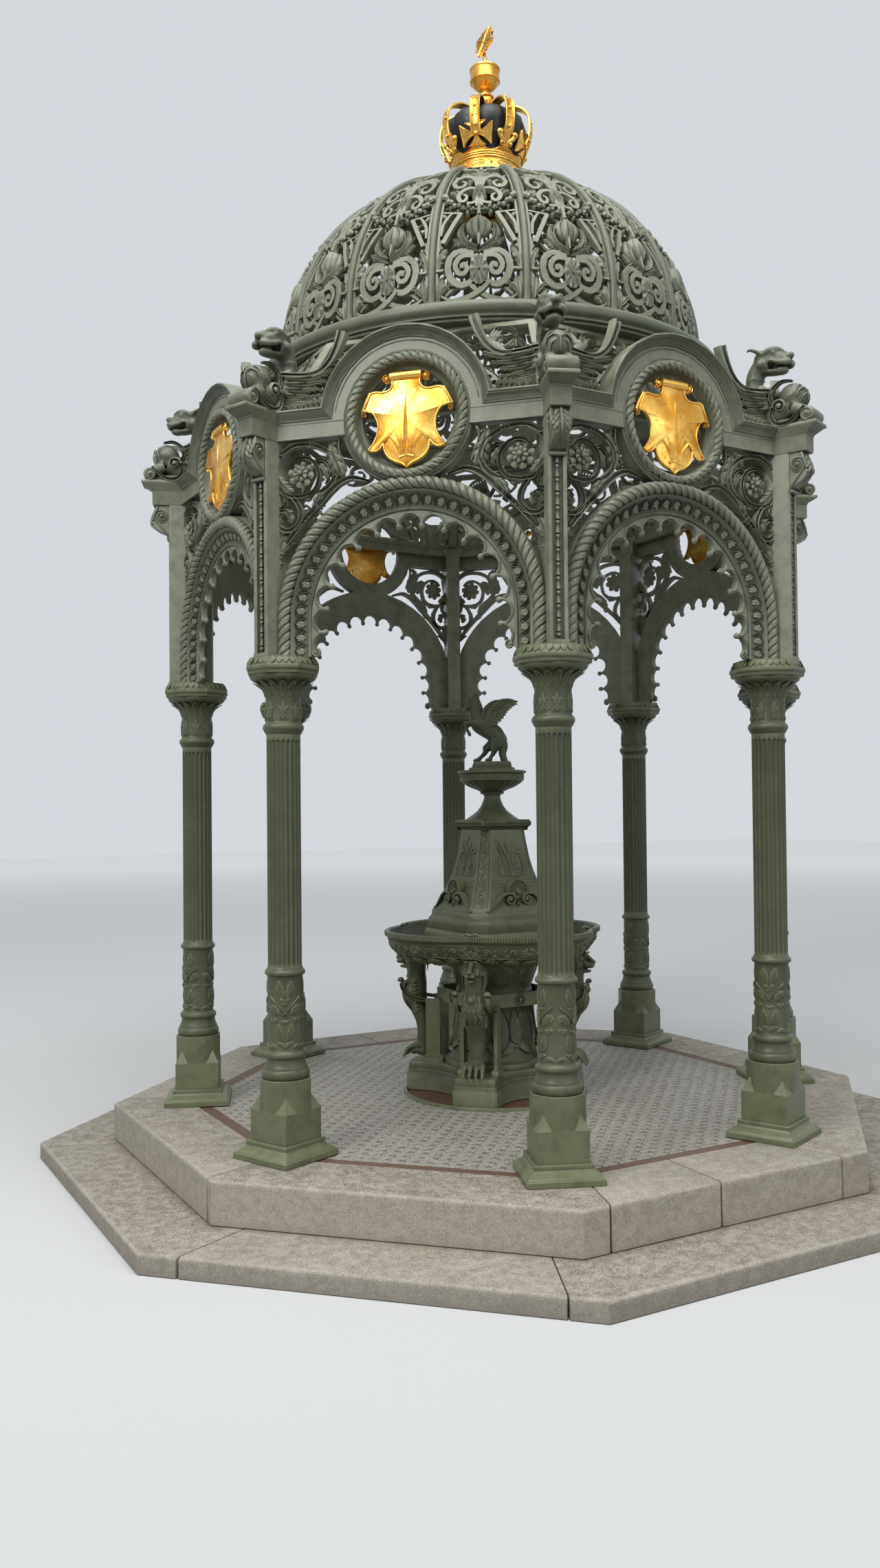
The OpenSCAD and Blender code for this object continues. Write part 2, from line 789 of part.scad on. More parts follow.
module griffin_body() {
  paw_r = 3.2 * griffin_unit;
  body_loft([
    [6, 13, 3.6, 5], [0, 18, 3.4, 4.6], [-3.6, 23, 2.6, 4.4], [-4.6, 27, 2.6, 4.2],
    [-2.6, 31, 3, 4.2], [1.2, 33.8, 4.2, 4.2], [6.2, 33.4, 4.6, 3.6], [10.2, 32, 3.6, 2.6],
    [12.4, 30.8, 2.2, 1.4]
  ] * griffin_unit);
  body_loft([
    [19.2, 12.8, 3.4, 3.6], [16, 13.2, 5.2, 5], [11, 12.4, 5.6, 6.6],
    [6.4, 12, 5, 6.6], [3, 12.4, 4, 5], [1, 13, 3, 4]
  ] * griffin_unit);
  body_loft([[4, 30, 3, 1.4], [7.6, 26.8, 3, 1.6], [9.8, 25.8, 2.2, 1.2]] * griffin_unit, 8);
  translate([cap_out - paw_r - lap * 2, 0, paw_r])
    rotate([90, 0, 0]) cylinder(r = paw_r, h = cap_w - lap, center = true);
  translate([7 * griffin_unit, -4 * griffin_unit, 0])
    cube([13 * griffin_unit, 8 * griffin_unit, 9 * griffin_unit]);
}

// A wing spreads from the corner along the entablature to the crest
module griffin_wing() {
  root = column_r * sin(half_bay);
  tip = crest_r * 0.78;
  function at(share, up) = [root + (tip - root) * share, up * griffin_unit];
  plate(panel_out - wing_t - band_out, panel_out - band_out)
    translate([0, panel_top_z + seat_gap])
      polygon([
        at(0, 0), at(0, 15), at(0.14, 18.2), at(0.56, 18.2), at(0.76, 22.2), at(0.89, 28),
        at(1, 27.2), at(0.96, 20.8), at(0.81, 14), at(0.73, 10), at(0.68, 6), at(0.66, 0)
      ]);
}

module griffins() {
  color(iron)
    for (i = [1:sides]) {
      rotate(corner_angle(i)) translate([column_r, 0, panel_top_z]) griffin_body();
      on_face(i) {
        griffin_wing();
        mirror([1, 0, 0]) griffin_wing();
      }
    }
}

// Eight leaning panels carry the dome ring
frieze_foot = panel_apothem + panel_back;
frieze_top = dome_ring_r - dome_roll_r * 1.2;
frieze_rise = ring_z - dome_roll_r * 1.9 - panel_top_z;
frieze_lean = atan((frieze_foot - frieze_top) / frieze_rise);
frieze_len = frieze_rise / cos(frieze_lean);
function frieze_half(v) = (frieze_foot + (frieze_top - frieze_foot) * v) * tan(half_bay);

// Openings as [share of the half width, share of the length, radius as a share of the length]
module frieze_openings() {
  for (s = [-1, 1])
    for (o = [[0.18, 0.62, 0.115], [0.49, 0.62, 0.115], [0.76, 0.62, 0.095],
              [0.31, 0.3, 0.1], [0.62, 0.3, 0.125], [0.06, 0.86, 0.05], [0.34, 0.86, 0.06],
              [0.64, 0.86, 0.06], [0.86, 0.3, 0.05]])
      translate([s * o[0] * frieze_half(o[1]), frieze_len * o[1]])
        circle(r = frieze_len * o[2]);
}

frieze_over = frieze_t * 0.8 / frieze_len;

module frieze_side() {
  translate([0, -frieze_foot, panel_top_z])
    rotate([90 - frieze_lean, 0, 0])
      translate([0, 0, -frieze_t])
        linear_extrude(frieze_t) difference() {
          polygon([
            for (v = [0, 1 + frieze_over]) [-frieze_half(v), frieze_len * v],
            for (v = [1 + frieze_over, 0]) [frieze_half(v), frieze_len * v]
          ]);
          frieze_openings();
        }
}

// The leaning panels are cut level on the panels below and under the ring
module frieze() {
  color(iron)
    intersection() {
      for (i = [1:sides])
        on_face(i) frieze_side();
      translate([0, 0, panel_top_z]) cylinder(r = column_r * 1.1, h = frieze_rise);
    }
}

module dome_ring() {
  web_in = dome_a - dome_t * 1.6;
  under = dome_roll_r * 1.9;
  color(iron)
    rotate_extrude($fn = 128) {
      translate([dome_ring_r, ring_z]) circle(r = dome_roll_r);
      translate([web_in, ring_z - under])
        square([dome_ring_r - web_in, under + dome_roll_r]);
      translate([dome_ring_r - lap, ring_z - under])
        square([dome_roll_r * 0.5, dome_roll_r * 0.7]);
    }
}

function dome_point(t, grow) =
  [(dome_a + grow) * cos(t), dome_z + (dome_b + grow) * sin(t)];
dome_from = -asin((dome_z - dome_foot_z - seat_gap) / (dome_b + rib_d / 2));
dome_to = acos((circlet_r + collar_lip + seat_gap) / (dome_a - rib_d / 2));

module dome_strip(inner, outer, steps) {
  polygon(concat(
    [for (k = [0:steps]) dome_point(dome_from + (dome_to - dome_from) * k / steps, outer)],
    [for (k = [steps:-1:0]) dome_point(dome_from + (dome_to - dome_from) * k / steps, inner)]
  ));
}

module dome_ribs() {
  color(iron)
    for (i = [0:ribs - 1])
      rotate(i * 360 / ribs)
        rotate([90, 0, 0]) linear_extrude(rib_w, center = true)
          dome_strip(rib_d / 2 - rib_d, rib_d / 2, 20);
}

// Each dome panel is cast in level tiers, drawn flat as [side, up the slope]
dome_tiers = 6;
function tier_angle(k) = dome_from + (dome_to - dome_from) * k / dome_tiers;

module ring_opening(outer, inner, bars, turn = 0) {
  bar_w = inner * 0.32;
  difference() {
    circle(r = outer);
    circle(r = inner);
    for (i = [0:bars - 1])
      rotate(turn + i * 360 / bars) translate([0, -bar_w / 2]) square([outer * 1.02, bar_w]);
  }
}

// A tier with one large scroll round a flower and small corner openings
module flower_openings(w, h) {
  r = min(w * 0.78, h * 0.4);
  translate([0, h * 0.5]) ring_opening(r, r * 0.58, 4, 45);
  for (s = [-1, 1])
    for (v = [0.22, 0.78])
      translate([s * w * 0.76, h * v]) circle(r = min(w * 0.14, h * 0.14));
}

// A tier with a pair of scrolls
module pair_openings(w, h) {
  for (s = [-1, 1])
    translate([s * w * 0.5, h * 0.5]) ring_opening(w * 0.4, w * 0.2, 3, 90 + s * 40);
  for (v = [0.14, 0.86])
    translate([0, h * v]) circle(r = min(w * 0.12, h * 0.1));
}

module dome_tier(k) {
  half = 180 / ribs;
  p = dome_point(tier_angle(k), 0);
  q = dome_point(tier_angle(k + 1), 0);
  h = norm(q - p);
  slope = atan2(q[1] - p[1], p[0] - q[0]);
  sag = (1 + cos(half)) / 2;
  in = dome_t / 2 * sin(slope);
  foot_w = (p[0] * sag - in) * tan(half) - rib_w / 2 / cos(half);
  head_w = (q[0] * sag - in) * tan(half) - rib_w / 2 / cos(half);
  mid_w = (foot_w + head_w) / 2;
  translate([p[0] * sag, 0, p[1]])
    rotate([0, slope - 90, 0]) rotate([90, 0, 90])
      linear_extrude(dome_t, center = true) difference() {
        polygon([[-foot_w, -dome_t * 0.07], [foot_w, -dome_t * 0.07],
                 [head_w, h + dome_t * 0.07], [-head_w, h + dome_t * 0.07]]);
        if (k % 2 == 0 || k == dome_tiers - 1) flower_openings(mid_w, h);
        else pair_openings(mid_w, h);
      }
}

module dome_panel() {
  for (k = [0:dome_tiers - 1]) dome_tier(k);
}

module dome_panels() {
  color(iron)
    for (i = [0:ribs - 1])
      rotate((i + 0.5) * 360 / ribs) dome_panel();
}

module crown_collar() {
  under = collar_h * 0.375;
  inner = circlet_r * 0.775;
  color(gold)
    translate([0, 0, dome_top_z - under])
      rotate_extrude($fn = 96) polygon([
        [inner, 0], [circlet_r + collar_lip, 0], [circlet_r + collar_lip, collar_h * 0.34],
        [circlet_r * 0.97, collar_h * 0.62], [circlet_r * 0.92, under + collar_h],
        [inner, under + collar_h]
      ]);
}

module crown_circlet() {
  bead = circlet_h * 0.065;
  color(gold)
    translate([0, 0, circlet_z])
      rotate_extrude($fn = 96) {
        translate([circlet_in, 0]) square([circlet_t, circlet_h]);
        translate([circlet_in + circlet_t - bead * 0.2, bead]) circle(r = bead);
        translate([circlet_in + circlet_t - bead * 0.2, circlet_h - bead]) circle(r = bead);
      }
}

module crown_leaf_outline() {
  h = crown_leaf_h;
  stem = h * 0.14;
  translate([-stem / 2, 0]) square([stem, h * 0.86]);
  translate([-stem, 0]) square([2 * stem, h * 0.1]);
  translate([0, h * 0.62]) circle(r = h * 0.17);
  for (s = [-1, 1])
    translate([s * h * 0.27, h * 0.62]) circle(r = h * 0.15);
  translate([0, h * 0.84]) circle(r = h * 0.15);
}

// Crosses and lilies are cut level where they stand on the circlet
module crown_leaves() {
  color(gold)
    intersection() {
      for (i = [0:7])
        rotate(i * 45)
          translate([leaf_back_r, 0, leaf_z])
            rotate([0, leaf_lean, 0]) rotate([90, 0, 90])
              linear_extrude(crown_leaf_h * 0.09) crown_leaf_outline();
      translate([0, 0, leaf_z]) cylinder(r = crown_r * 1.5, h = crown_leaf_h * 1.5);
    }
}

// The dark cap sits in the circlet and stays clear of the arches
module crown_cap() {
  foot_r = circlet_in - seat_gap;
  sunk = circlet_h * 0.1;
  color("#1a1a1c")
    translate([0, 0, leaf_z - sunk])
      rotate_extrude($fn = 64) polygon([
        [0, 0], [foot_r, 0], [foot_r * 0.97, sunk], [crown_r * 0.68, crown_leaf_h * 0.45],
        [crown_r * 0.77, crown_leaf_h * 0.85], [crown_r * 0.78, crown_leaf_h * 1.1],
        [crown_r * 0.74, crown_leaf_h * 1.35], [crown_r * 0.62, crown_leaf_h * 1.6],
        [crown_r * 0.4, crown_leaf_h * 1.72], [0, crown_leaf_h * 1.76]
      ]);
}

// Each band arch rises behind a cross or lily, bows out and dips to the knop
module crown_arch() {
  lean_out = tan(leaf_lean);
  foot_r = leaf_back_r - crown_band_t / 2 / cos(leaf_lean) - seat_gap;
  rotate([90, 0, 0]) linear_extrude(crown_band_w, center = true)
    strip([
      [foot_r - lap * lean_out, leaf_z - lap],
      [foot_r + crown_leaf_h * lean_out * 0.5, leaf_z + crown_leaf_h * 0.5],
      [foot_r + crown_leaf_h * lean_out, crown_wide_z],
      [crown_r * 0.9, crown_wide_z + crown_arch_h * 0.22],
      [crown_r * 0.84, crown_wide_z + crown_arch_h * 0.46],
      [crown_r * 0.73, crown_wide_z + crown_arch_h * 0.7],
      [crown_r * 0.6, crown_wide_z + crown_arch_h * 0.87],
      [crown_top_r, crown_wide_z + crown_arch_h * 0.95],
      [crown_top_r * 0.72, crown_wide_z + crown_arch_h * 0.92],
      [crown_top_r * 0.48, crown_wide_z + crown_arch_h * 0.85],
      [knop_stem_r, crown_wide_z + crown_arch_h * 0.79]
    ], crown_band_t);
}

module crown_arches() {
  color(gold)
    difference() {
      for (i = [0:7])
        rotate(i * 45) crown_arch();
      translate([0, 0, leaf_z - circlet_h]) cylinder(r = crown_r, h = circlet_h);
      translate([0, 0, leaf_z])
        cylinder(r = knop_stem_r + seat_gap, h = crown_leaf_h + crown_arch_h);
    }
}

module finial_cross() {
  bar_w = cross_h * 0.09;
  arm = cross_h * 0.2;
  translate([-bar_w / 2, 0]) square([bar_w, cross_h * 0.94]);
  translate([-arm, cross_h * 0.6]) square([2 * arm, bar_w]);
  for (s = [-1, 1])
    translate([s * arm, cross_h * 0.645]) circle(r = bar_w * 0.75);
  translate([0, cross_h * 0.645]) circle(r = bar_w);
  translate([0, cross_h * 0.93]) circle(r = cross_h * 0.07);
}

module finial() {
  neck_r = knop_r * 0.48;
  color(gold) {
    translate([0, 0, crown_top_z])
      rotate_extrude($fn = 64) {
        polygon([
          [0, -knop_h * 0.75], [knop_stem_r, -knop_h * 0.75], [knop_stem_r, -knop_h * 0.2],
          [neck_r, knop_h * 0.25], [neck_r, knop_h * 0.56], [drum_r * 0.74, knop_h * 0.75],
          [drum_r, knop_h], [drum_r, knop_h + drum_h], [drum_r * 0.75, knop_h + drum_h * 1.12],
          [0, knop_h + drum_h * 1.16]
        ]);
        translate([knop_r * 0.58, 0]) circle(r = knop_r * 0.42);
      }
    translate([0, 0, drum_z + drum_h]) rotate([0, 0, 31.9]) rotate([90, 0, 0])
      linear_extrude(cross_h * 0.09, center = true) finial_cross();
  }
}

module fountain_plinth() {
  color(column_green)
    translate([0, 0, platform_z - floor_drop])
      linear_extrude(plinth_h + floor_drop) difference() {
        union() {
          circle(r = paw_block_r * 0.8);
          for (a = [45:90:315])
            rotate(a) translate([0, -paw_block_w / 2]) square([paw_block_r, paw_block_w]);
        }
        for (a = [0:90:270])
          rotate(a) translate([paw_block_r * 1.27, 0]) circle(r = paw_block_r * 0.585);
      }
}

module fountain_core() {
  r = paw_block_r;
  h = leg_h;
  color(column_green)
    translate([0, 0, plinth_top_z])
      rotate_extrude($fn = 64) polygon([
        [0, 0], [r * 0.6, 0], [r * 0.6, h * 0.06], [r * 0.52, h * 0.12], [r * 0.46, h * 0.38],
        [r * 0.44, h * 0.56], [r * 0.46, h * 0.62], [r * 0.46, h * 0.7], [r * 0.5, h * 0.86],
        [r * 0.57, h], [0, h]
      ]);
}

// A clawed paw, leg and chest, drawn on a grid of which 52.3 units make its height
module lion_leg() {
  body_loft([
    [36, 0, 6.6, 5], [35.6, 3, 6.4, 4.6], [34, 7, 5.2, 4.4], [31.5, 13, 4.2, 4.2],
    [30, 20, 4.8, 4.8], [31, 27, 6.2, 6.2], [33.5, 34, 7.2, 7.4], [34, 40, 6.4, 6.6],
    [34, 46, 6, 6.2], [34, 51, 5.4, 5.6], [34, 52.3, 5.2, 5.4]
  ] * leg_h / 52.3);
}

module lion_legs() {
  color(column_green)
    for (a = [45:90:315])
      rotate(a) translate([0, 0, plinth_top_z]) lion_leg();
}

module bowl(grow, low) {
  rotate_extrude($fn = 96) polygon([
    [0, low], [lobe_r * 0.55 + grow, low], [lobe_r * 0.8 + grow, low + basin_depth * 0.35],
    [lobe_r * 0.915 + grow, low + basin_depth * 0.73],
    [lobe_r - basin_t + grow, platform_z + basin_rim_z], [0, platform_z + basin_rim_z]
  ]);
}

module basin() {
  color(column_green)
    difference() {
      for (a = [0:90:270])
        translate(polar(lobe_centre_r, a)) bowl(basin_t, basin_under_z);
      translate([0, 0, seat_gap])
        for (a = [0:90:270])
          translate(polar(lobe_centre_r, a)) bowl(0, basin_floor_z);
    }
}

// Two volutes and a palmette between them
module pediment() {
  w = shaft_foot_w;
  for (s = [-1, 1]) {
    translate([s * w * 0.62, w * 0.22]) circle(r = w * 0.2);
    bar([s * w * 0.62, w * 0.34], [0, w * 0.62], w * 0.16);
  }
  translate([0, w * 0.5]) circle(r = w * 0.26);
}

// Half profile of the pedestal in the basin, for the half width at its foot
module pedestal_profile(foot) {
  polygon([
    [0, 0], [foot, 0], [foot, pedestal_h * 0.49], [foot * 0.96, pedestal_h * 0.57],
    [foot * 0.915, pedestal_h * 0.59], [foot * 0.915, pedestal_h * 0.75],
    [foot * 0.81, pedestal_h * 0.84], [foot * 0.775, pedestal_h], [0, pedestal_h]
  ]);
}

module fountain_shaft() {
  foot = pedestal_w;
  top = shaft_top_w;
  color(column_green) {
    // The chamfer on its corners keeps the pedestal on the basin's flat floor
    translate([0, 0, basin_floor_z + seat_gap])
      intersection() {
        square_moulding() pedestal_profile(foot);
        rotate(45) square_moulding() pedestal_profile(foot * 1.27);
      }
    translate([0, 0, taper_z])
      rotate(45)
        cylinder(h = taper_h, r1 = shaft_foot_w * sqrt(2), r2 = top * sqrt(2), $fn = 4);
    // A scrolled pediment low on each face
    for (a = [0:90:270])
      rotate(a) translate([0, 0, taper_z]) rotate([90, 0, 0])
        linear_extrude(foot * 0.775) pediment();
    translate([0, 0, shaft_cap_z]) square_moulding()
      polygon([
        [0, 0], [top * 1.03, 0], [top * 1.06, shaft_cap_h * 0.27],
        [top * 1.17, shaft_cap_h * 0.42], [top * 1.17, shaft_cap_h * 0.77],
        [top * 1.08, shaft_cap_h], [0, shaft_cap_h]
      ]);
    translate([0, 0, neck_z]) rotate_extrude($fn = 64) difference() {
      square([top * 1.03, neck_h]);
      translate([top * 1.15, neck_h * 1.05]) circle(r = top * 0.81);
    }
  }
}

module tazza() {
  r = tazza_r;
  h = tazza_h;
  color(column_green)
    translate([0, 0, tazza_z]) rotate_extrude($fn = 64) polygon([
      [0, 0], [r * 0.25, 0], [r * 0.34, h * 0.08], [r * 0.34, h * 0.18], [r * 0.57, h * 0.25],
      [r * 0.89, h * 0.54], [r * 0.93, h * 0.65], [r, h * 0.68], [r, h * 0.87],
      [r * 0.94, h * 0.97], [r * 0.83, h], [0, h]
    ]);
}

// A rearing winged horse on a small moulded base, drawn on a grid of which 34.2
// units make its height with the base
module winged_figure() {
  u = figure_h / 34.2;
  color(column_green)
    translate([0, 0, figure_z]) rotate(-32) {
      linear_extrude(1.6 * u) square([17 * u, 12 * u], center = true);
      linear_extrude(4 * u) square([14 * u, 9.2 * u], center = true);
      translate([0, 0, 4 * u]) {
        body_loft([
          [6.2, 4.4, 1.6, 2.2], [5.2, 7, 2.6, 3], [3.2, 10.6, 3, 3.8], [0, 14, 2.8, 3.6],
          [-2.8, 17.4, 2.8, 3.6], [-4.6, 20.8, 2, 3], [-5.4, 24, 1.6, 2.4],
          [-5.2, 26.4, 1.4, 1.6]
        ] * u, 10);
        body_loft([[-3.4, 26.6, 1.5, 1.7], [-6.2, 26.2, 1.5, 1.9], [-8.6, 24.2, 1, 1.2],
                   [-10.2, 22.8, 0.9, 0.9]] * u, 8);
        body_loft([[7.2, 6.6, 0.8, 1], [10.4, 5.6, 1, 1.4], [12.4, 2.4, 0.8, 1.2],
                   [12.2, -0.2, 0.4, 0.6]] * u, 6);
        for (y = [-2.2, 2.2])
          translate([0, y * u, 0]) {
            body_loft([[4.8, 8.4, 1.2, 2.2], [6.4, 4.6, 0.9, 1.4], [4.6, 2, 0.7, 0.9],
                       [4.8, -0.3, 0.9, 0.7]] * u, 6);
            body_loft([[-2.2, 15.8, 1, 1.4], [-6.8, 14.6, 0.8, 1], [-8.6, 11.6, 0.6, 0.8],
                       [-6.6, 9.4, 0.6, 0.6]] * u, 6);
          }
        for (y = [-2.6, 2.6])
          translate([0, y * u, 0]) rotate([90, 0, 0]) linear_extrude(0.8 * u, center = true)
            polygon([
              [-2.2, 16], [-0.8, 22.6], [3, 25.4], [11, 26.2], [8.8, 23.6], [6.6, 22.2],
              [4.8, 19], [2, 15]
            ] * u);
      }
    }
}

lower_step();
upper_step();
mosaic_floor();
placed_column(1);  // column_1
placed_column(2);  // column_2
placed_column(3);  // column_3
placed_column(4);  // column_4
placed_column(5);  // column_5
placed_column(6);  // column_6
placed_column(7);  // column_7
placed_column(8);  // column_8
placed_arch(1);  // arch_1
placed_arch(2);  // arch_2
placed_arch(3);  // arch_3
placed_arch(4);  // arch_4
placed_arch(5);  // arch_5
placed_arch(6);  // arch_6
placed_arch(7);  // arch_7
placed_arch(8);  // arch_8
placed_pier(1);  // pier_1
placed_pier(2);  // pier_2
placed_pier(3);  // pier_3
placed_pier(4);  // pier_4
placed_pier(5);  // pier_5
placed_pier(6);  // pier_6
placed_pier(7);  // pier_7
placed_pier(8);  // pier_8
shields();
griffins();
frieze();
dome_ring();
dome_ribs();
dome_panels();
crown_collar();
crown_circlet();
crown_leaves();
crown_cap();
crown_arches();
finial();
fountain_plinth();
fountain_core();
lion_legs();
basin();
fountain_shaft();
tazza();
winged_figure();
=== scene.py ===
# %% [markdown]
# A cast-iron drinking fountain canopy, dressed round its CAD frame.
# The real one is bolted together from castings: eight columns on two granite steps carry eight
# pierced arch panels, an openwork dome and a gilded crown, with a fountain in the middle. Its
# ornament is cast in relief, so nearly every shape here is a band, leaf or flower drawn flat
# and then laid on a face, round a column or over the dome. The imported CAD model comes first,
# because it fixes every size and place.

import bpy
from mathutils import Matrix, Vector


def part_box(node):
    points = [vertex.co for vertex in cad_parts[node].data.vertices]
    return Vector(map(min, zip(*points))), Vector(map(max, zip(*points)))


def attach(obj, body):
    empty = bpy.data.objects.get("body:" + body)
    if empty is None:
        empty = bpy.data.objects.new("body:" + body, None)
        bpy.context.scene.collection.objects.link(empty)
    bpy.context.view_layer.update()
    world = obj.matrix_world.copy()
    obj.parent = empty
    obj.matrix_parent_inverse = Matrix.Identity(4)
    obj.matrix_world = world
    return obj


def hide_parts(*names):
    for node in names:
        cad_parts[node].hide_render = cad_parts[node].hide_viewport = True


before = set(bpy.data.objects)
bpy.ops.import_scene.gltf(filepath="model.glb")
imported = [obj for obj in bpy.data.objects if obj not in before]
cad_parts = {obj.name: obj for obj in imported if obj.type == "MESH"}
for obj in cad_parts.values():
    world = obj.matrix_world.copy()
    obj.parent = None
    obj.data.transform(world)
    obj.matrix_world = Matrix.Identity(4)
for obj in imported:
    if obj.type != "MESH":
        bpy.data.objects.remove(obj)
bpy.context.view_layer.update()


# %% Tools and main sizes in metres
import math

import bpy
import numpy as np
from mathutils import Matrix, Vector
from mathutils.geometry import tessellate_polygon

SIDES = 8
HALF_BAY = math.pi / SIDES
PLATFORM = 0.255
COLUMN_R = 1.475
APOTHEM = COLUMN_R * math.cos(HALF_BAY)
SPRING = 2.045
ARCH_Z = SPRING + 0.145
MEDALLION_Z = ARCH_Z + 0.795
BAND_Z = ARCH_Z + 0.74
RIM_Z = BAND_Z + 0.07
TOP_Z = RIM_Z + 0.042
print("heights above the platform: spring %.3f, arch centre %.3f, top %.3f"
      % (SPRING, ARCH_Z, TOP_Z))

# %% [markdown]
# Every casting is gathered as plain arrays before it becomes a mesh. A closed shape is added
# with its points and faces; if its volume comes out negative, its faces point inwards and are
# turned round. That keeps the normals right however a shape was drawn or mirrored, and one
# drawing can be mapped on to eight sides quickly. Fixed outlines are typed in millimetres,
# because short whole numbers are easier to read and to correct.

# %% Gather closed shapes


def signed_volume(points, faces):
    """Volume of a closed shape, negative when its faces point inwards."""
    centred = points - points.mean(0)
    total = 0.0
    for group in faces:
        corner = centred[group]
        for k in range(1, group.shape[1] - 1):
            total += np.einsum("ij,ij->", corner[:, 0],
                               np.cross(corner[:, k], corner[:, k + 1]))
    return total / 6


class Casting:
    """Closed shapes gathered into one mesh."""

    def __init__(self):
        self.points = []
        self.faces = []
        self.count = 0

    def add(self, points, faces):
        points = np.asarray(points, float).reshape(-1, 3)
        faces = [np.asarray(f, int) for f in faces if len(f)]
        if signed_volume(points, faces) < 0:
            faces = [f[:, ::-1] for f in faces]
        self.points.append(points)
        self.faces += [f + self.count for f in faces]
        self.count += len(points)

    def join(self, other, place=None):
        """Adds a whole casting, moved by the function place."""
        points = np.concatenate(other.points)
        faces = other.faces
        before = signed_volume(points, faces)
        if place is not None:
            points = place(points)
        if signed_volume(points, faces) * before < 0:
            faces = [f[:, ::-1] for f in faces]
        self.points.append(points)
        self.faces += [f + self.count for f in faces]
        self.count += len(points)
        return self

    def triangles(self):
        return sum(len(f) * (f.shape[1] - 2) for f in self.faces)


def grid(n, m, wrap_n=False, wrap_m=False):
    """Quads over n rows of m points."""
    i = np.arange(n if wrap_n else n - 1)[:, None]
    j = np.arange(m if wrap_m else m - 1)[None, :]
    i2, j2 = (i + 1) % n, (j + 1) % m
    return np.stack([i * m + j, i2 * m + j, i2 * m + j2, i * m + j2], -1).reshape(-1, 4)


def mm(*values, columns=2):
    """Points of an outline from numbers in millimetres, two to a point."""
    return np.array(values).reshape(-1, columns) / 1000


def mm3(*values):
    """The same with three numbers to a point."""
    return mm(*values, columns=3)


def loft(cast, rings, closed=False):
    """A skin over closed rings of points, with flat ends."""
    rings = np.asarray(rings, float)
    n, m = rings.shape[:2]
    faces = [grid(n, m, closed, True)]
    if not closed:
        faces += [np.arange(m)[None, :], ((n - 1) * m + np.arange(m))[None, ::-1]]
    cast.add(rings, faces)


def mesh_from(name, cast, sharp=38):
    """A smooth-shaded mesh whose edges stay crisp above an angle in degrees."""
    points = np.concatenate(cast.points)
    loops = np.concatenate([f.ravel() for f in cast.faces])
    sizes = np.concatenate([np.full(len(f), f.shape[1]) for f in cast.faces])
    mesh = bpy.data.meshes.new(name)
    mesh.vertices.add(len(points))
    mesh.vertices.foreach_set("co", points.astype(np.float32).ravel())
    mesh.loops.add(len(loops))
    mesh.loops.foreach_set("vertex_index", loops.astype(np.int32))
    mesh.polygons.add(len(sizes))
    mesh.polygons.foreach_set("loop_start", (np.cumsum(sizes) - sizes).astype(np.int32))
    mesh.polygons.foreach_set("use_smooth", np.ones(len(sizes), bool))
    mesh.update(calc_edges=True)
    mesh.validate()
    mesh.set_sharp_from_angle(angle=math.radians(sharp))
    return mesh


total = {"triangles": 0}


def make_piece(name, cast, material, nodes, sharp=38):
    """Turns a casting into a finished piece that stands for its CAD nodes."""
    mesh = mesh_from(name, cast, sharp)
    mesh.materials.append(material)
    piece = bpy.data.objects.new(name, mesh)
    bpy.context.scene.collection.objects.link(piece)
    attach(piece, "root")
    if nodes:
        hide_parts(*nodes)
    total["triangles"] += cast.triangles()
    return piece


# %% [markdown]
# Blender's own tools take over where arrays are clumsy: a node tree that repeats an ornament, a
# voxel Remesh that melts limbs into one skin, as a modeller smooths clay, and a Decimate that
# collapses the flattest edges. Each gets an ordinary object, and its evaluated mesh is read
# back as a casting, so no modifier is left on a finished piece. A casting is thinned once,
# before its copies are made.

# %% Castings that go through Blender's modifiers


def casting_from(mesh):
    """Reads a mesh back as a casting."""
    points = np.empty(len(mesh.vertices) * 3, np.float32)
    mesh.vertices.foreach_get("co", points)
    corners = np.empty(len(mesh.loops), np.int32)
    mesh.loops.foreach_get("vertex_index", corners)
    starts = np.empty(len(mesh.polygons), np.int32)
    sizes = np.empty(len(mesh.polygons), np.int32)
    mesh.polygons.foreach_get("loop_start", starts)
    mesh.polygons.foreach_get("loop_total", sizes)
    made = Casting()
    faces = [corners[starts[sizes == s][:, None] + np.arange(s)] for s in np.unique(sizes)]
    made.points.append(points.reshape(-1, 3).astype(float))
    made.faces += [f.astype(int) for f in faces]
    made.count = len(mesh.vertices)
    return made


def as_object(name, cast):
    """A plain object for a tree or a modifier to work on."""
    thing = bpy.data.objects.new(name, mesh_from(name, cast))
    bpy.context.scene.collection.objects.link(thing)
    return thing


def taken_from(thing):
    """The casting that an object's modifiers make of it. The object itself goes."""
    seen = bpy.context.evaluated_depsgraph_get()
    plain = bpy.data.meshes.new_from_object(thing.evaluated_get(seen))
    made = casting_from(plain)
    source = thing.data
    thing.modifiers.clear()
    bpy.data.objects.remove(thing)
    bpy.data.meshes.remove(source)
    bpy.data.meshes.remove(plain)
    return made


def thinned(cast, keep):
    """The casting with only a share of its triangles."""
    thing = as_object("thick", cast)
    thing.modifiers.new("thin", "DECIMATE").ratio = keep
    return taken_from(thing)


def melted(cast, voxel, keep):
    """Joins overlapping shapes into one smooth skin with fewer faces."""
    thing = as_object("clay", cast)
    remesh = thing.modifiers.new("melt", "REMESH")
    remesh.mode = "VOXEL"
    remesh.voxel_size = voxel
    soften = thing.modifiers.new("soften", "SMOOTH")
    soften.factor = 0.5
    soften.iterations = 3
    thing.modifiers.new("thin", "DECIMATE").ratio = keep
    return taken_from(thing)


print("shapes are gathered as arrays")

# %% [markdown]
# Cast ornament is made of a few elements: turned mouldings, bands that follow a curve, leaves
# with ribs, flowers and balls. Each is a small function that adds one closed shape. Flat
# ornament is drawn with x across, y up and the relief as the third number, like a pattern
# maker's board.

# %% Turned shapes, balls and tubes


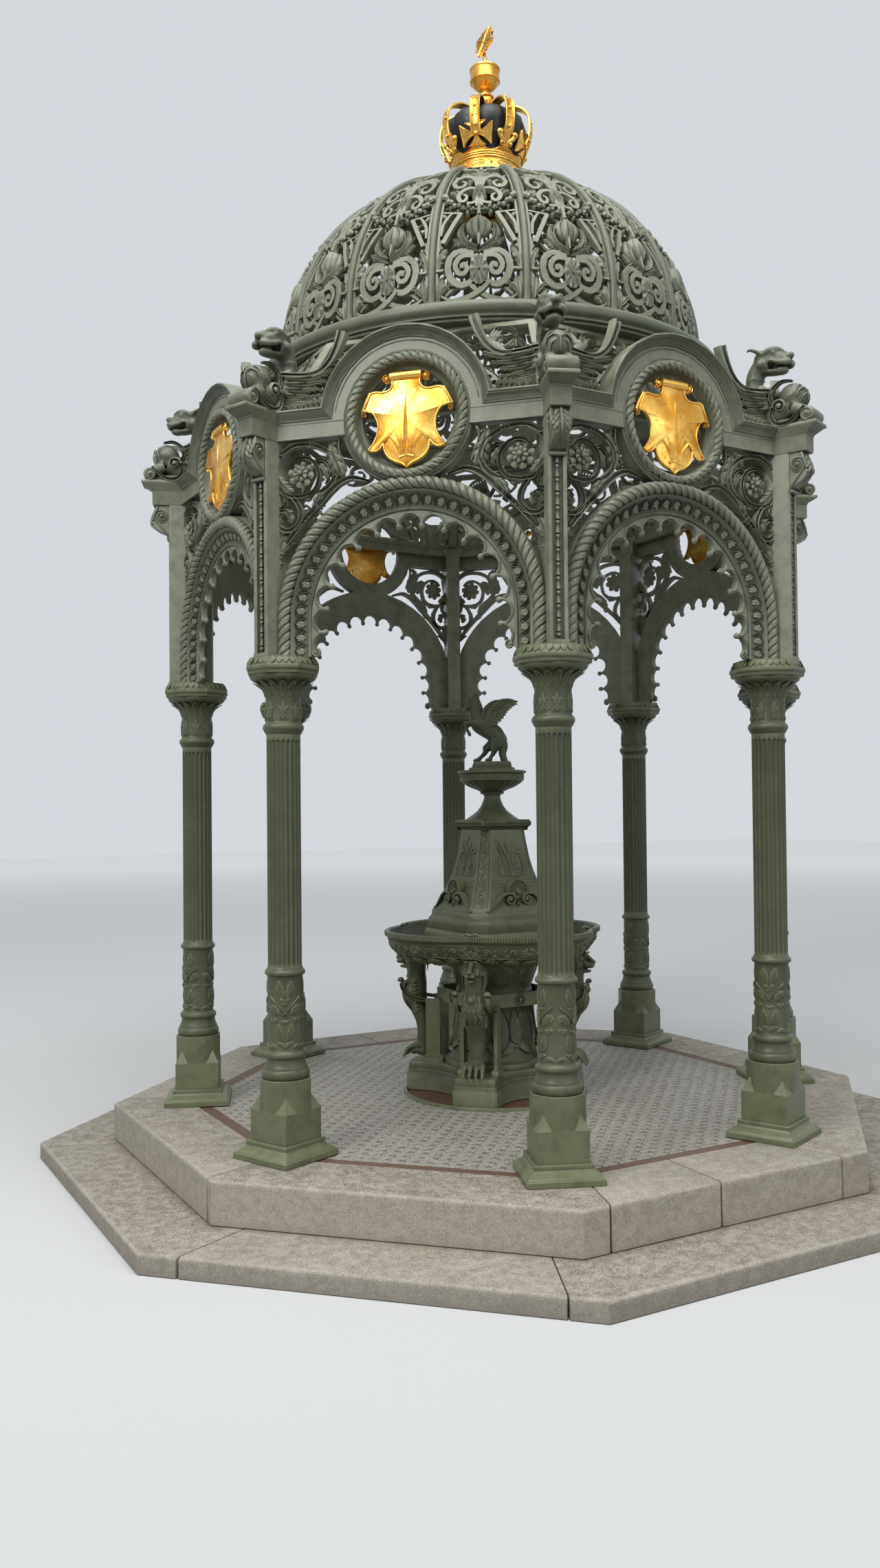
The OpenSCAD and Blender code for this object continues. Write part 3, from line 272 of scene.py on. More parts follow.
def turned(cast, profile, steps=48, ripple=None, closed=False):
    """Turns a profile of (radius, height) points about the vertical axis. ripple(angle, radius,
    height) gives a new radius. An open profile starts and ends on the axis."""
    profile = np.asarray(profile, float)
    angle = np.linspace(0, 2 * math.pi, steps, endpoint=False)
    r, z = profile[:, 0:1], profile[:, 1:2]
    body = slice(None) if closed else slice(1, -1)
    radius = np.repeat(r[body], steps, 1)
    height = np.repeat(z[body], steps, 1)
    if ripple is not None:
        radius = ripple(angle[None, :], radius, height)
    rings = np.stack([radius * np.cos(angle), radius * np.sin(angle), height], -1)
    n = len(rings)
    if closed:
        cast.add(rings, [grid(n, steps, True, True)])
        return
    points = np.concatenate([rings.reshape(-1, 3), [[0, 0, z[0, 0]], [0, 0, z[-1, 0]]]])
    j = np.arange(steps)
    k = (j + 1) % steps
    low, high = n * steps, n * steps + 1
    first = np.stack([np.full(steps, low), j, k], -1)
    last = np.stack([np.full(steps, high), (n - 1) * steps + k, (n - 1) * steps + j], -1)
    cast.add(points, [grid(n, steps, False, True), first, last])


def ball(cast, centre, radius, flat=1.0, steps=10, rows=6):
    """A small ball, squashed along its third axis by flat."""
    t = np.linspace(-math.pi / 2, math.pi / 2, rows)
    one = Casting()
    turned(one, np.stack([radius * np.cos(t), radius * flat * np.sin(t)], -1), steps)
    cast.join(one, lambda p: p + np.asarray(centre, float))


def unit(v):
    """Rows of vectors, each made one long."""
    return v / np.maximum(np.linalg.norm(v, axis=-1, keepdims=True), 1e-9)


def smooth_line(points, count, closed=False):
    """An even run of points on a smooth curve through the given ones."""
    p = np.asarray(points, float)
    if closed:
        ring = np.concatenate([p[-1:], p, p[:2]])
    else:
        ring = np.concatenate([2 * p[:1] - p[1:2], p, 2 * p[-1:] - p[-2:-1]])
    t = np.linspace(0, 1, 9)[:-1, None]
    dense = []
    for a, b, c, d in zip(ring[:-3], ring[1:-2], ring[2:-1], ring[3:]):
        dense.append(0.5 * (2 * b + (c - a) * t + (2 * a - 5 * b + 4 * c - d) * t ** 2
                            + (3 * b - a - 3 * c + d) * t ** 3))
    dense.append(ring[-2:-1])
    dense = np.concatenate(dense)
    run = np.concatenate([[0], np.cumsum(np.linalg.norm(np.diff(dense, axis=0), axis=1))])
    at = np.linspace(0, run[-1], count + 1)[:-1] if closed else np.linspace(0, run[-1], count)
    return np.stack([np.interp(at, run, dense[:, k]) for k in range(p.shape[1])], -1)


def along(values, count):
    """Numbers spread evenly over count places."""
    values = np.atleast_1d(np.asarray(values, float))
    return np.interp(np.linspace(0, 1, count), np.linspace(0, 1, len(values)), values)


def tube(cast, points, widths, depths=None, sides=10, count=None):
    """A limb along a curve in space, oval across where depths differ from widths."""
    count = count or len(points) * 4
    line = smooth_line(points, count)
    wide = along(widths, count)
    deep = wide if depths is None else along(depths, count)
    ahead = unit(np.gradient(line, axis=0))
    side = np.zeros_like(line)
    side[0] = unit(np.cross(ahead[0], [0.0, 0.0, 1.0] if abs(ahead[0][2]) < 0.9 else [0, 1.0, 0]))
    for k in range(1, count):
        side[k] = unit(side[k - 1] - ahead[k] * np.dot(side[k - 1], ahead[k]))
    over = np.cross(side, ahead)
    a = np.linspace(0, 2 * math.pi, sides, endpoint=False)
    rings = (line[:, None] + side[:, None] * (wide[:, None] * np.cos(a))[..., None]
             + over[:, None] * (deep[:, None] * np.sin(a))[..., None])
    loft(cast, rings)


print("turned shapes, balls and limbs are ready")

# %% Bands, leaves and flowers drawn flat

ROUND_BAND = [(-1, 0), (-0.9, 0.5), (-0.5, 0.9), (0, 1), (0.5, 0.9), (0.9, 0.5), (1, 0)]
HOLLOW_BAND = [(-1, 0), (-1, 0.8), (-0.82, 1), (-0.6, 0.92), (-0.42, 0.55), (0, 0.42),
               (0.42, 0.55), (0.6, 0.92), (0.82, 1), (1, 0.8), (1, 0)]
FLAT_BAND = [(-1, 0), (-1, 0.85), (-0.85, 1), (0.85, 1), (1, 0.85), (1, 0)]


def band(cast, points, half, relief, base=0.0, section=HOLLOW_BAND, count=None, closed=False):
    """A band of half width half that follows a curve drawn flat."""
    count = count or max(8, len(points) * 4)
    line = smooth_line(points, count, closed)
    ahead = unit(np.roll(line, -1, 0) - np.roll(line, 1, 0)) if closed else unit(
        np.gradient(line, axis=0))
    side = np.stack([-ahead[:, 1], ahead[:, 0]], -1)
    wide, high = along(half, count), along(relief, count)
    section = np.asarray(section, float)
    flat = line[:, None] + side[:, None] * (wide[:, None] * section[:, 0])[..., None]
    up = base + high[:, None] * section[:, 1]
    loft(cast, np.concatenate([flat, up[..., None]], -1), closed)


def wire(cast, points, half, relief, **more):
    """A round-backed band."""
    band(cast, points, half, relief, section=ROUND_BAND, **more)


def spiral(centre, start, end, angle, turns, count=24):
    """Points that wind in round a centre, from one radius to another."""
    t = np.linspace(0, 1, count)
    a = math.radians(angle) + t * turns * 2 * math.pi
    r = start + (end - start) * t ** 0.85
    return np.stack([centre[0] + r * np.cos(a), centre[1] + r * np.sin(a)], -1)


def leaf(cast, points, half, relief, lobes=4, base=0.0, curl=0.0, cut=0.3, across=9, fine=5):
    """A ribbed leaf along a curve, cut into lobes that lean towards its tip."""
    count = lobes * fine + 3
    line = smooth_line(points, count)
    ahead = unit(np.gradient(line, axis=0))
    side = np.stack([-ahead[:, 1], ahead[:, 0]], -1)
    t = np.linspace(0.0, 1.0, count)
    swell = np.sin(math.pi * np.clip(0.06 + 0.94 * t ** 0.8, 0, 1)) ** 0.75 + 0.03
    lobe = np.abs(np.sin(math.pi * lobes * t)) ** 0.6
    x = np.linspace(-1, 1, across)
    reach = half * swell * (1 - cut + cut * lobe)
    lean = 0.55 * half * swell
    flat = (line[:, None] + side[:, None] * (reach[:, None] * x)[..., None]
            + ahead[:, None] * (lean[:, None] * np.abs(x) ** 1.5)[..., None])
    crown = 1 - 0.55 * x ** 2 - 0.28 * np.exp(-(x / 0.16) ** 2)
    groove = 0.3 * (1 - lobe)[:, None] * np.abs(x) ** 0.7
    up = base + relief * np.clip(swell[:, None] ** 0.5 * (crown - groove), 0.12, None)
    up = up + curl * (t ** 2.5)[:, None]
    top = np.concatenate([flat, up[..., None]], -1)
    low = np.array([base])[:, None, None] + np.zeros((count, 1, 1))
    right = np.concatenate([flat[:, -1:], low + 0.6 * curl * (t ** 2.5)[:, None, None]], -1)
    left = np.concatenate([flat[:, :1], low + 0.6 * curl * (t ** 2.5)[:, None, None]], -1)
    loft(cast, np.concatenate([top, right, left], 1))


def blade(cast, points, half, relief, **more):
    """A leaf without lobes."""
    leaf(cast, points, half, relief, lobes=1, cut=0.0, **more)


def flower(cast, centre, radius, petals, relief, base=0.0, hollow=0.35, button=0.24, turn=0.0,
           fine=6):
    """A flower head: petals divided by creases, with a round button in the middle."""
    steps = petals * fine
    a = np.linspace(0, 2 * math.pi, steps, endpoint=False)
    petal = np.abs(np.cos(petals * a / 2))
    edge = radius * (0.74 + 0.26 * petal ** 0.5)
    share = np.array([0.0, 0.5, 0.9, 1.15, 1.5]) * button
    share = np.concatenate([share, np.linspace(0.5, 1.0, 4), [1.0]])
    height = np.array([1.0, 0.93, 0.62, 0.42, 0.45, 0.62, 0.78, 0.72, 0.4, 0.0])
    crease = np.array([0, 0, 0, 0, 0.3, 0.8, 1, 1, 0.8, 0])
    rings = []
    for s, h, c in zip(share[1:], height[1:], crease[1:]):
        up = base + relief * (h - hollow * c * (1 - petal) * h)
        rings.append(np.stack([centre[0] + s * edge * np.cos(a + turn),
                               centre[1] + s * edge * np.sin(a + turn),
                               up + np.zeros(steps)], -1))
    rings = np.asarray(rings)
    n = len(rings)
    points = np.concatenate([rings.reshape(-1, 3), [[*centre, base + relief], [*centre, base]]])
    j = np.arange(steps)
    k = (j + 1) % steps
    first = np.stack([np.full(steps, n * steps), j, k], -1)
    last = np.stack([np.full(steps, n * steps + 1), (n - 1) * steps + k, (n - 1) * steps + j], -1)
    cast.add(points, [grid(n, steps, False, True), first, last])


def plate(cast, outline, low, high, holes=()):
    """A flat plate with holes, from one depth to another."""
    loops = [np.asarray(o, float) for o in (outline, *holes)]
    flat = np.concatenate(loops)
    triangles = np.asarray(tessellate_polygon([[Vector((*p, 0)) for p in o] for o in loops]), int)
    n = len(flat)
    points = np.concatenate([np.column_stack([flat, np.full(n, high)]),
                             np.column_stack([flat, np.full(n, low)])])
    a, b, c = (flat[triangles[:, k]] for k in range(3))
    turn = (b - a)[:, 0] * (c - a)[:, 1] - (b - a)[:, 1] * (c - a)[:, 0]
    triangles = triangles[np.abs(turn) > 1e-12]
    turn = turn[np.abs(turn) > 1e-12]
    triangles[turn < 0] = triangles[turn < 0][:, ::-1]
    walls, start = [], 0
    for k, o in enumerate(loops):
        m = len(o)
        x, y = o[:, 0], o[:, 1]
        area = np.sum(x * np.roll(y, -1) - y * np.roll(x, -1))
        j = start + np.arange(m)
        nxt = start + (np.arange(m) + 1) % m
        if (area > 0) != (k == 0):
            j, nxt = nxt, j
        walls.append(np.stack([j, j + n, nxt + n, nxt], -1))
        start += m
    cast.add(points, [triangles, triangles[:, ::-1] + n, np.concatenate(walls)])


def moulding(cast, path, section, closed=False):
    """A moulding with mitred corners along a path drawn flat. A section point is (to the left
    of the path, relief)."""
    path, section = np.asarray(path, float), np.asarray(section, float)
    step = unit(np.roll(path, -1, 0) - path)
    before = np.roll(step, 1, 0)
    if not closed:
        step[-1] = before[-1]
        before[0] = step[0]
    n1 = np.stack([-before[:, 1], before[:, 0]], -1)
    n2 = np.stack([-step[:, 1], step[:, 0]], -1)
    mitre = (n1 + n2) / np.maximum(1 + np.sum(n1 * n2, 1, keepdims=True), 0.3)
    flat = path[:, None] + mitre[:, None] * section[:, 0][None, :, None]
    up = np.broadcast_to(section[:, 1], (len(path), len(section)))
    loft(cast, np.concatenate([flat, up[..., None]], -1), closed)


def arc(centre, radius, start, end, count=24):
    """Points on an arc, angles in degrees."""
    a = np.radians(np.linspace(start, end, count))
    return np.stack([centre[0] + radius * np.cos(a), centre[1] + radius * np.sin(a)], -1)


def staggered(cast, step=0.0001):
    """Each shape a hair in front of the last, because backs in one plane render as specks."""
    for k, points in enumerate(cast.points):
        cast.points[k] = points + [0, 0, step * (k % 11)]
    return cast


def mirrored(cast):
    """The casting with its mirror image about x = 0."""
    both = Casting()
    both.join(cast)
    both.join(cast, lambda p: p * [-1, 1, 1])
    return both


print("bands, leaves and flowers are ready")

# %% Places for what is drawn flat


def corner_angle(i):
    return -HALF_BAY * (2 * i + 5)


def face_angle(i):
    return -HALF_BAY * (2 * i + 4)


def on_side(angle, distance=APOTHEM):
    """Lays flat work upright on a side: x to the right, y up from the platform, relief out."""
    out = np.array([math.cos(angle), math.sin(angle), 0])
    right = np.array([-math.sin(angle), math.cos(angle), 0])
    up = np.array([0, 0, 1.0])

    def place(p):
        return (distance + p[:, 2:3]) * out + p[:, 0:1] * right + (p[:, 1:2] + PLATFORM) * up
    return place


def round_post(radius):
    """Bends flat work round a post of that radius, x running round it."""
    def place(p):
        a = p[:, 0] / radius
        r = radius + p[:, 2]
        return np.stack([r * np.sin(a), -r * np.cos(a), p[:, 1]], -1)
    return place


def standing_at(angle, distance=COLUMN_R, height=PLATFORM):
    """Moves a shape drawn round its own axis to a corner, its +X side facing outwards."""
    c, s = math.cos(angle), math.sin(angle)

    def place(p):
        x, y = p[:, 0] + distance, p[:, 1]
        return np.stack([x * c - y * s, x * s + y * c, p[:, 2] + height], -1)
    return place


def raised(cast, height):
    """The same casting, lifted."""
    return Casting().join(cast, lambda p: p + [0, 0, height])


def make_eight(name, cast, place_of, material, node):
    """Copies one casting to its eight places, a piece each for the numbered nodes."""
    for k in range(1, SIDES + 1):
        make_piece(f"{name}_{k}", Casting().join(cast, place_of(k)), material,
                   [f"{node}_{k}"])
    print("eight times", cast.triangles(), "triangles for", node)


print("places are ready")
# %% [markdown]
# The castings share one old paint: a green-grey gloss gone satin, paler on edges where it is worn
# and where a highlight is painted, dark in the hollows with grime and painted shade, and painted
# lighter on top as if lit by the sky. These marks come from the shape itself, so the effect is
# one node group that reads Pointiness and Ambient Occlusion. Each paint places the same group
# with its own colours, which is less work than a new tree for each and keeps them alike.

# %% Helpers for node trees


def put(tree, kind, inputs=None, **settings):
    """Adds a node. A socket given as an input is linked, and a plain value is typed in."""
    node = tree.nodes.new(kind)
    for key, value in settings.items():
        setattr(node, key, value)
    for key, value in (inputs or {}).items():
        if isinstance(value, bpy.types.NodeSocket):
            tree.links.new(value, node.inputs[key])
        else:
            node.inputs[key].default_value = value
    return node


def maths(tree, operation, a, b=0.0, clamp=False):
    node = put(tree, "ShaderNodeMath", {0: a, 1: b}, operation=operation, use_clamp=clamp)
    return node.outputs[0]


class Pattern:
    """A shader group that gives a colour, a roughness and a height. Where a method takes a
    value, it also takes the name of one of the group's inputs."""

    def __init__(self, name, colours, numbers=()):
        self.tree = bpy.data.node_groups.new(name, "ShaderNodeTree")
        new = self.tree.interface.new_socket
        for labels, kind in ((colours, "NodeSocketColor"), (numbers, "NodeSocketFloat")):
            for label in labels:
                new(label, in_out="INPUT", socket_type=kind)
        new("Color", in_out="OUTPUT", socket_type="NodeSocketColor")
        new("Roughness", in_out="OUTPUT", socket_type="NodeSocketFloat")
        new("Height", in_out="OUTPUT", socket_type="NodeSocketFloat")
        self.given = self.put("NodeGroupInput")
        self.where = self.put("ShaderNodeTexCoord").outputs["Object"]
        self.shape = self.put("ShaderNodeNewGeometry")

    def put(self, kind, inputs=None, **settings):
        named = {key: self.given.outputs[value] if isinstance(value, str) else value
                 for key, value in (inputs or {}).items()}
        return put(self.tree, kind, named, **settings)

    def maths(self, operation, a, b=0.0, clamp=False):
        return self.put("ShaderNodeMath", {0: a, 1: b}, operation=operation,
                        use_clamp=clamp).outputs[0]

    def add(self, a, b):
        return self.maths("ADD", a, b)

    def times(self, a, b):
        return self.maths("MULTIPLY", a, b)

    def minus(self, a, b):
        return self.maths("SUBTRACT", a, b)

    def blend(self, share, first, second):
        """Mixes two colours by a share."""
        return self.put("ShaderNodeMix", {0: share, 6: first, 7: second}, data_type="RGBA",
                        blend_type="MIX").outputs[2]

    def ramp(self, value, low, high, to_low=0.0, to_high=1.0):
        """Maps a range of one value smoothly on to another."""
        return self.put("ShaderNodeMapRange", {
            "Value": value, "From Min": low, "From Max": high, "To Min": to_low,
            "To Max": to_high}, interpolation_type="SMOOTHSTEP").outputs["Result"]

    def noise(self, scale, detail=4.0, rough=0.6):
        return self.put("ShaderNodeTexNoise", {
            "Vector": self.where, "Scale": scale, "Detail": detail,
            "Roughness": rough}).outputs["Fac"]

    def crystals(self, scale):
        """A random number for each cell of a Voronoi pattern."""
        cell = self.put("ShaderNodeTexVoronoi", {"Vector": self.where, "Scale": scale})
        return self.put("ShaderNodeSeparateColor", {0: cell.outputs["Color"]}).outputs[0]

    def edges(self, low, high):
        """A mask from Pointiness: of sharp edges when high is over low, else of hollows."""
        return self.ramp(self.shape.outputs["Pointiness"], low, high)

    def corners(self, distance, low, high, only_local=True):
        """A mask of inner corners from Ambient Occlusion."""
        seen = self.put("ShaderNodeAmbientOcclusion", {"Distance": distance}, samples=4,
                        only_local=only_local)
        return self.ramp(seen.outputs["AO"], low, high)

    def finish(self, colour, rough, height):
        self.put("NodeGroupOutput", {"Color": colour, "Roughness": rough, "Height": height})
        print(self.tree.name, "has", len(self.tree.nodes), "nodes")


def on_screen(red, green, blue):
    """A colour seen on screen, 0 to 255, as the linear colour that a socket takes."""
    shares = [v / 255 for v in (red, green, blue)]
    return (*[v / 12.92 if v <= 0.04045 else ((v + 0.055) / 1.055) ** 2.4 for v in shares], 1.0)


def surface(name, pattern, colours, bump=0.1, reach=0.001, numbers=None, **fixed):
    """A material whose colour, roughness and bump come from a pattern."""
    material = bpy.data.materials.new(name)
    material.use_nodes = True
    tree = material.node_tree
    tree.nodes.clear()
    group = put(tree, "ShaderNodeGroup", node_tree=pattern.tree)
    for key, colour in colours.items():
        group.inputs[key].default_value = on_screen(*colour)
    for key, number in (numbers or {}).items():
        group.inputs[key].default_value = number
    relief = put(tree, "ShaderNodeBump", {"Height": group.outputs["Height"],
                                          "Strength": bump, "Distance": reach})
    shader = put(tree, "ShaderNodeBsdfPrincipled",
                 {"Base Color": group.outputs["Color"], "Roughness": group.outputs["Roughness"],
                  "Normal": relief.outputs["Normal"], **fixed})
    put(tree, "ShaderNodeOutputMaterial", {"Surface": shader.outputs["BSDF"]})
    return material


print("shader helpers are ready")

# %% Old paint on cast iron
paint = Pattern("old_paint", ("Paint", "Worn_and_lit", "Grime_and_shade"), ("Top_light",))
large, middle, small = paint.noise(2.2, 5.0), paint.noise(14.0, 5.0, 0.65), paint.noise(120.0, 3.0)
pitted = paint.noise(46.0, 3.0, 0.5)
colour = paint.blend(paint.ramp(large, 0.38, 0.62), paint.blend(0.22, "Paint", "Grime_and_shade"), "Paint")
colour = paint.blend(paint.times(paint.ramp(middle, 0.45, 0.75), 0.22), colour, "Worn_and_lit")
# paler edges from Pointiness: worn paint and a painted highlight
edge = paint.times(paint.edges(0.51, 0.60), paint.ramp(middle, 0.25, 0.6, 0.35, 1.0))
colour = paint.blend(paint.times(edge, 0.75), colour, "Worn_and_lit")
# painted shade with grime in the hollows, from concave Pointiness and Ambient Occlusion
shade_and_grime = paint.maths("MAXIMUM", paint.times(paint.edges(0.49, 0.40), 0.7),
                    paint.corners(0.05, 0.75, 0.25))
shade_and_grime = paint.times(shade_and_grime, 0.85)
colour = paint.blend(shade_and_grime, colour, "Grime_and_shade")
# painted sky light: faces that look up are paler, in patches
upward = paint.put("ShaderNodeSeparateXYZ", {0: paint.shape.outputs["Normal"]}).outputs["Z"]
top_light = paint.times(paint.ramp(upward, 0.3, 0.95), paint.ramp(middle, 0.3, 0.7, 0.4, 1.0))
colour = paint.blend(paint.times(top_light, "Top_light"), colour, "Worn_and_lit")
paint.finish(colour, paint.add(paint.ramp(middle, 0.3, 0.7, 0.36, 0.5), paint.times(shade_and_grime, 0.25)),
             paint.add(paint.times(small, 0.35), paint.times(pitted, 0.65)))

# %% Three paints
# each paint's worn colour also serves as painted highlight and sky light, its grime colour as
# painted shade
green_paint = surface("green_paint", paint, {
    "Paint": (82, 87, 62), "Worn_and_lit": (122, 127, 96), "Grime_and_shade": (36, 37, 24)},
    bump=0.35, reach=0.0008, numbers={"Top_light": 0.25})
grey_paint = surface("grey_green_paint", paint, {
    "Paint": (98, 102, 84), "Worn_and_lit": (146, 149, 128), "Grime_and_shade": (38, 39, 28)},
    bump=0.35, reach=0.0008, numbers={"Top_light": 0.35})
black_paint = surface("black_paint", paint, {
    "Paint": (24, 25, 26), "Worn_and_lit": (62, 64, 64), "Grime_and_shade": (10, 10, 10)},
    bump=0.3, reach=0.0008, numbers={"Top_light": 0.3})
print("paints:", green_paint.name, grey_paint.name, black_paint.name)

# %% [markdown]
# Gold leaf is laid over the iron of the shields and the crown. It is metal, so its colour lives
# in its reflection: the colour goes to Base Color with Metallic typed in as 1. Size and brown
# glaze collect in the hollows, which are also darkened as painted shade, a painted highlight
# brightens the edges, and the leaf has worn a little unevenly. The group finds hollows and edges
# from the same two shape masks.

# %% Gold leaf
gold = Pattern("gold_leaf", ("Leaf", "Bright", "Glaze_and_shade"))
large, small = gold.noise(7.0, 5.0), gold.noise(60.0, 4.0)
colour = gold.blend(gold.ramp(large, 0.4, 0.65), "Leaf", "Bright")
colour = gold.blend(gold.times(gold.ramp(small, 0.52, 0.72), 0.3), colour, "Glaze_and_shade")
# painted shade with brown glaze in the hollows
deep = gold.maths("MAXIMUM", gold.edges(0.495, 0.42), gold.corners(0.03, 0.8, 0.3))
colour = gold.blend(gold.times(deep, 0.8), colour, "Glaze_and_shade")
# painted highlight on the sharp edges
colour = gold.blend(gold.times(gold.edges(0.52, 0.6), 0.6), colour, "Bright")
gold.finish(colour, gold.add(gold.ramp(small, 0.3, 0.7, 0.24, 0.38), gold.times(deep, 0.25)),
            small)
# the glaze colour also serves as painted shade, the bright one as painted highlight
gold_leaf = surface("gold_leaf", gold, {
    "Leaf": (226, 160, 60), "Bright": (250, 205, 110), "Glaze_and_shade": (120, 62, 14)},
    bump=0.25, reach=0.0008, Metallic=1.0)

# %% [markdown]
# The kerbs are a warm grey granite, finely picked, with pale and black crystals of a few
# millimetres. Two Voronoi patterns of different scale scatter the crystals over a mottled
# ground, earthy clouds and painted shade in the corners darken it, and the arrises are a
# little paler.

# %% Picked granite
picked = Pattern("picked_granite", ("Ground", "Pale", "Dark", "Earth_and_shade"))
coarse, finer = picked.crystals(190.0), picked.crystals(420.0)
cloud, patch = picked.noise(3.0, 6.0, 0.65), picked.noise(22.0, 5.0)
colour = picked.blend(picked.ramp(patch, 0.35, 0.7), "Ground", "Pale")
colour = picked.blend(picked.ramp(coarse, 0.62, 0.9), colour, "Pale")
colour = picked.blend(picked.times(picked.ramp(finer, 0.68, 0.8), 0.75), colour, "Dark")
# painted shade in corners from Ambient Occlusion, over earthy clouds
shade_and_earth = picked.maths("ADD", picked.times(picked.corners(0.09, 0.85, 0.35, False), 0.75),
                     picked.times(picked.ramp(cloud, 0.48, 0.72), 0.35), True)
colour = picked.blend(shade_and_earth, colour, "Earth_and_shade")
colour = picked.blend(picked.times(picked.edges(0.51, 0.57), 0.5), colour, "Pale")
picked.finish(colour, picked.ramp(finer, 0.0, 1.0, 0.72, 0.95),
              picked.add(picked.times(coarse, 0.3), patch))
# the earth colour also serves as painted shade in the corners
granite = surface("granite", picked, {
    "Ground": (136, 126, 110), "Pale": (190, 182, 168), "Dark": (58, 54, 48),
    "Earth_and_shade": (84, 74, 58)}, bump=0.6, reach=0.004)

# %% [markdown]
# The floor is laid in small white stones set in fans, like fish scales, with a brown border by
# the kerb and a rusty bed inside the iron ring. A fan pattern follows a rule: rows of circles,
# every second row moved by half, each hiding the row behind it. Maths on Object coordinates
# draws it, so no stone has to be modelled, and the joints also drive the bump.

# %% Fan mosaic
FAN = 0.085
FLOOR_EDGE = 1.345
RING_EDGE = 0.452
fans = Pattern("fan_mosaic", ("Stone", "Second", "Joint", "Border", "Rust", "Mark"))
axes = fans.put("ShaderNodeSeparateXYZ", {0: fans.where})


def fan_distance(x, y, row_shift):
    """Distance and direction from the middle of the fan that a row holds, in fan widths."""
    row = fans.add(fans.maths("FLOOR", y), row_shift)
    odd = fans.times(fans.maths("FLOORED_MODULO", row, 2.0), 0.5)
    across = fans.minus(fans.maths("FRACT", fans.add(x, odd)), 0.5)
    upward = fans.times(fans.minus(y, row), 0.5)
    square = fans.add(fans.times(across, across), fans.times(upward, upward))
    return fans.maths("SQRT", square), fans.maths("ARCTAN2", upward, across)


def joint(value, width):
    """One near whole numbers of a value, where the joints are."""
    part = fans.maths("FRACT", value)
    away = fans.maths("MINIMUM", part, fans.minus(1.0, part))
    return fans.ramp(away, width, width * 0.4)


x = fans.maths("DIVIDE", axes.outputs["X"], FAN)
y = fans.maths("DIVIDE", axes.outputs["Y"], FAN / 2)
near, near_turn = fan_distance(x, y, 0.0)
far, far_turn = fan_distance(x, y, -1.0)
inside = fans.maths("LESS_THAN", near, 0.5)
reach, turn = (fans.put("ShaderNodeMix", {0: inside, 2: b, 3: a}).outputs[0]
               for a, b in ((near, far), (near_turn, far_turn)))
rings = fans.times(reach, 8.0)
spokes = fans.times(turn, fans.times(fans.maths("CEIL", rings), 1.05))
gap = fans.maths("MAXIMUM", joint(rings, 0.2), joint(spokes, 0.14))
grain = fans.noise(55.0, 4.0)
colour = fans.blend(fans.ramp(fans.crystals(130.0), 0.25, 0.9), "Stone", "Second")
heart = fans.times(fans.ramp(reach, 0.15, 0.06), fans.ramp(grain, 0.42, 0.52))
colour = fans.blend(heart, colour, "Mark")
rim_mark = fans.times(fans.ramp(reach, 0.44, 0.5), fans.ramp(grain, 0.4, 0.5))
colour = fans.blend(fans.times(rim_mark, 0.7), colour, "Mark")
print("fans of %.0f mm, with rings and spokes" % (1000 * FAN))

# %% Border, rusty ring and joints
flat_x, flat_y = (fans.maths("ABSOLUTE", axes.outputs[axis]) for axis in "XY")
diagonal = fans.times(fans.add(flat_x, flat_y), math.sqrt(0.5))
outward = fans.maths("MAXIMUM", fans.maths("MAXIMUM", flat_x, flat_y), diagonal)
colour = fans.blend(fans.ramp(outward, FLOOR_EDGE, FLOOR_EDGE + 0.004), colour, "Border")
round_off = fans.maths("SQRT", fans.add(fans.times(flat_x, flat_x), fans.times(flat_y, flat_y)))
in_ring = fans.ramp(round_off, RING_EDGE, RING_EDGE - 0.006)
colour = fans.blend(in_ring, colour, "Rust")
colour = fans.blend(fans.times(gap, fans.minus(0.8, fans.times(in_ring, 0.5))), colour, "Joint")
worn = fans.ramp(fans.noise(2.4, 5.0), 0.5, 0.75)
colour = fans.blend(fans.times(worn, 0.3), colour, "Joint")
fans.finish(colour, fans.ramp(grain, 0.3, 0.7, 0.5, 0.75), fans.minus(fans.times(grain, 0.4), gap))
mosaic = surface("fan_mosaic", fans, {
    "Stone": (205, 202, 192), "Second": (172, 168, 156), "Joint": (104, 98, 86),
    "Border": (112, 78, 60), "Rust": (98, 66, 48), "Mark": (112, 88, 68)},
    bump=0.5, reach=0.002)
# %% [markdown]
# Two rings of granite kerbs make the steps. The real stones turn the octagon's corners and meet
# at joints that don't fall on the corners, so each stone is swept along the octagon from one
# joint to the next, with its section mitred at any corner on the way. The front arris is
# rounded by wear. The joints on the three sides in view are where the photograph has them.

# %% Kerb stones


def octagon_point(s, apothem, side_at=None):
    """A point of the octagon, s in sides round from the left end of the front left side."""
    k = math.floor(s + 1e-9) if side_at is None else side_at
    angle = math.radians(-135 + 45 * k)
    full = 2 * apothem * math.tan(HALF_BAY)
    u = (s - k - 0.5) * full
    return (apothem * math.cos(angle) - u * math.sin(angle),
            apothem * math.sin(angle) + u * math.cos(angle))


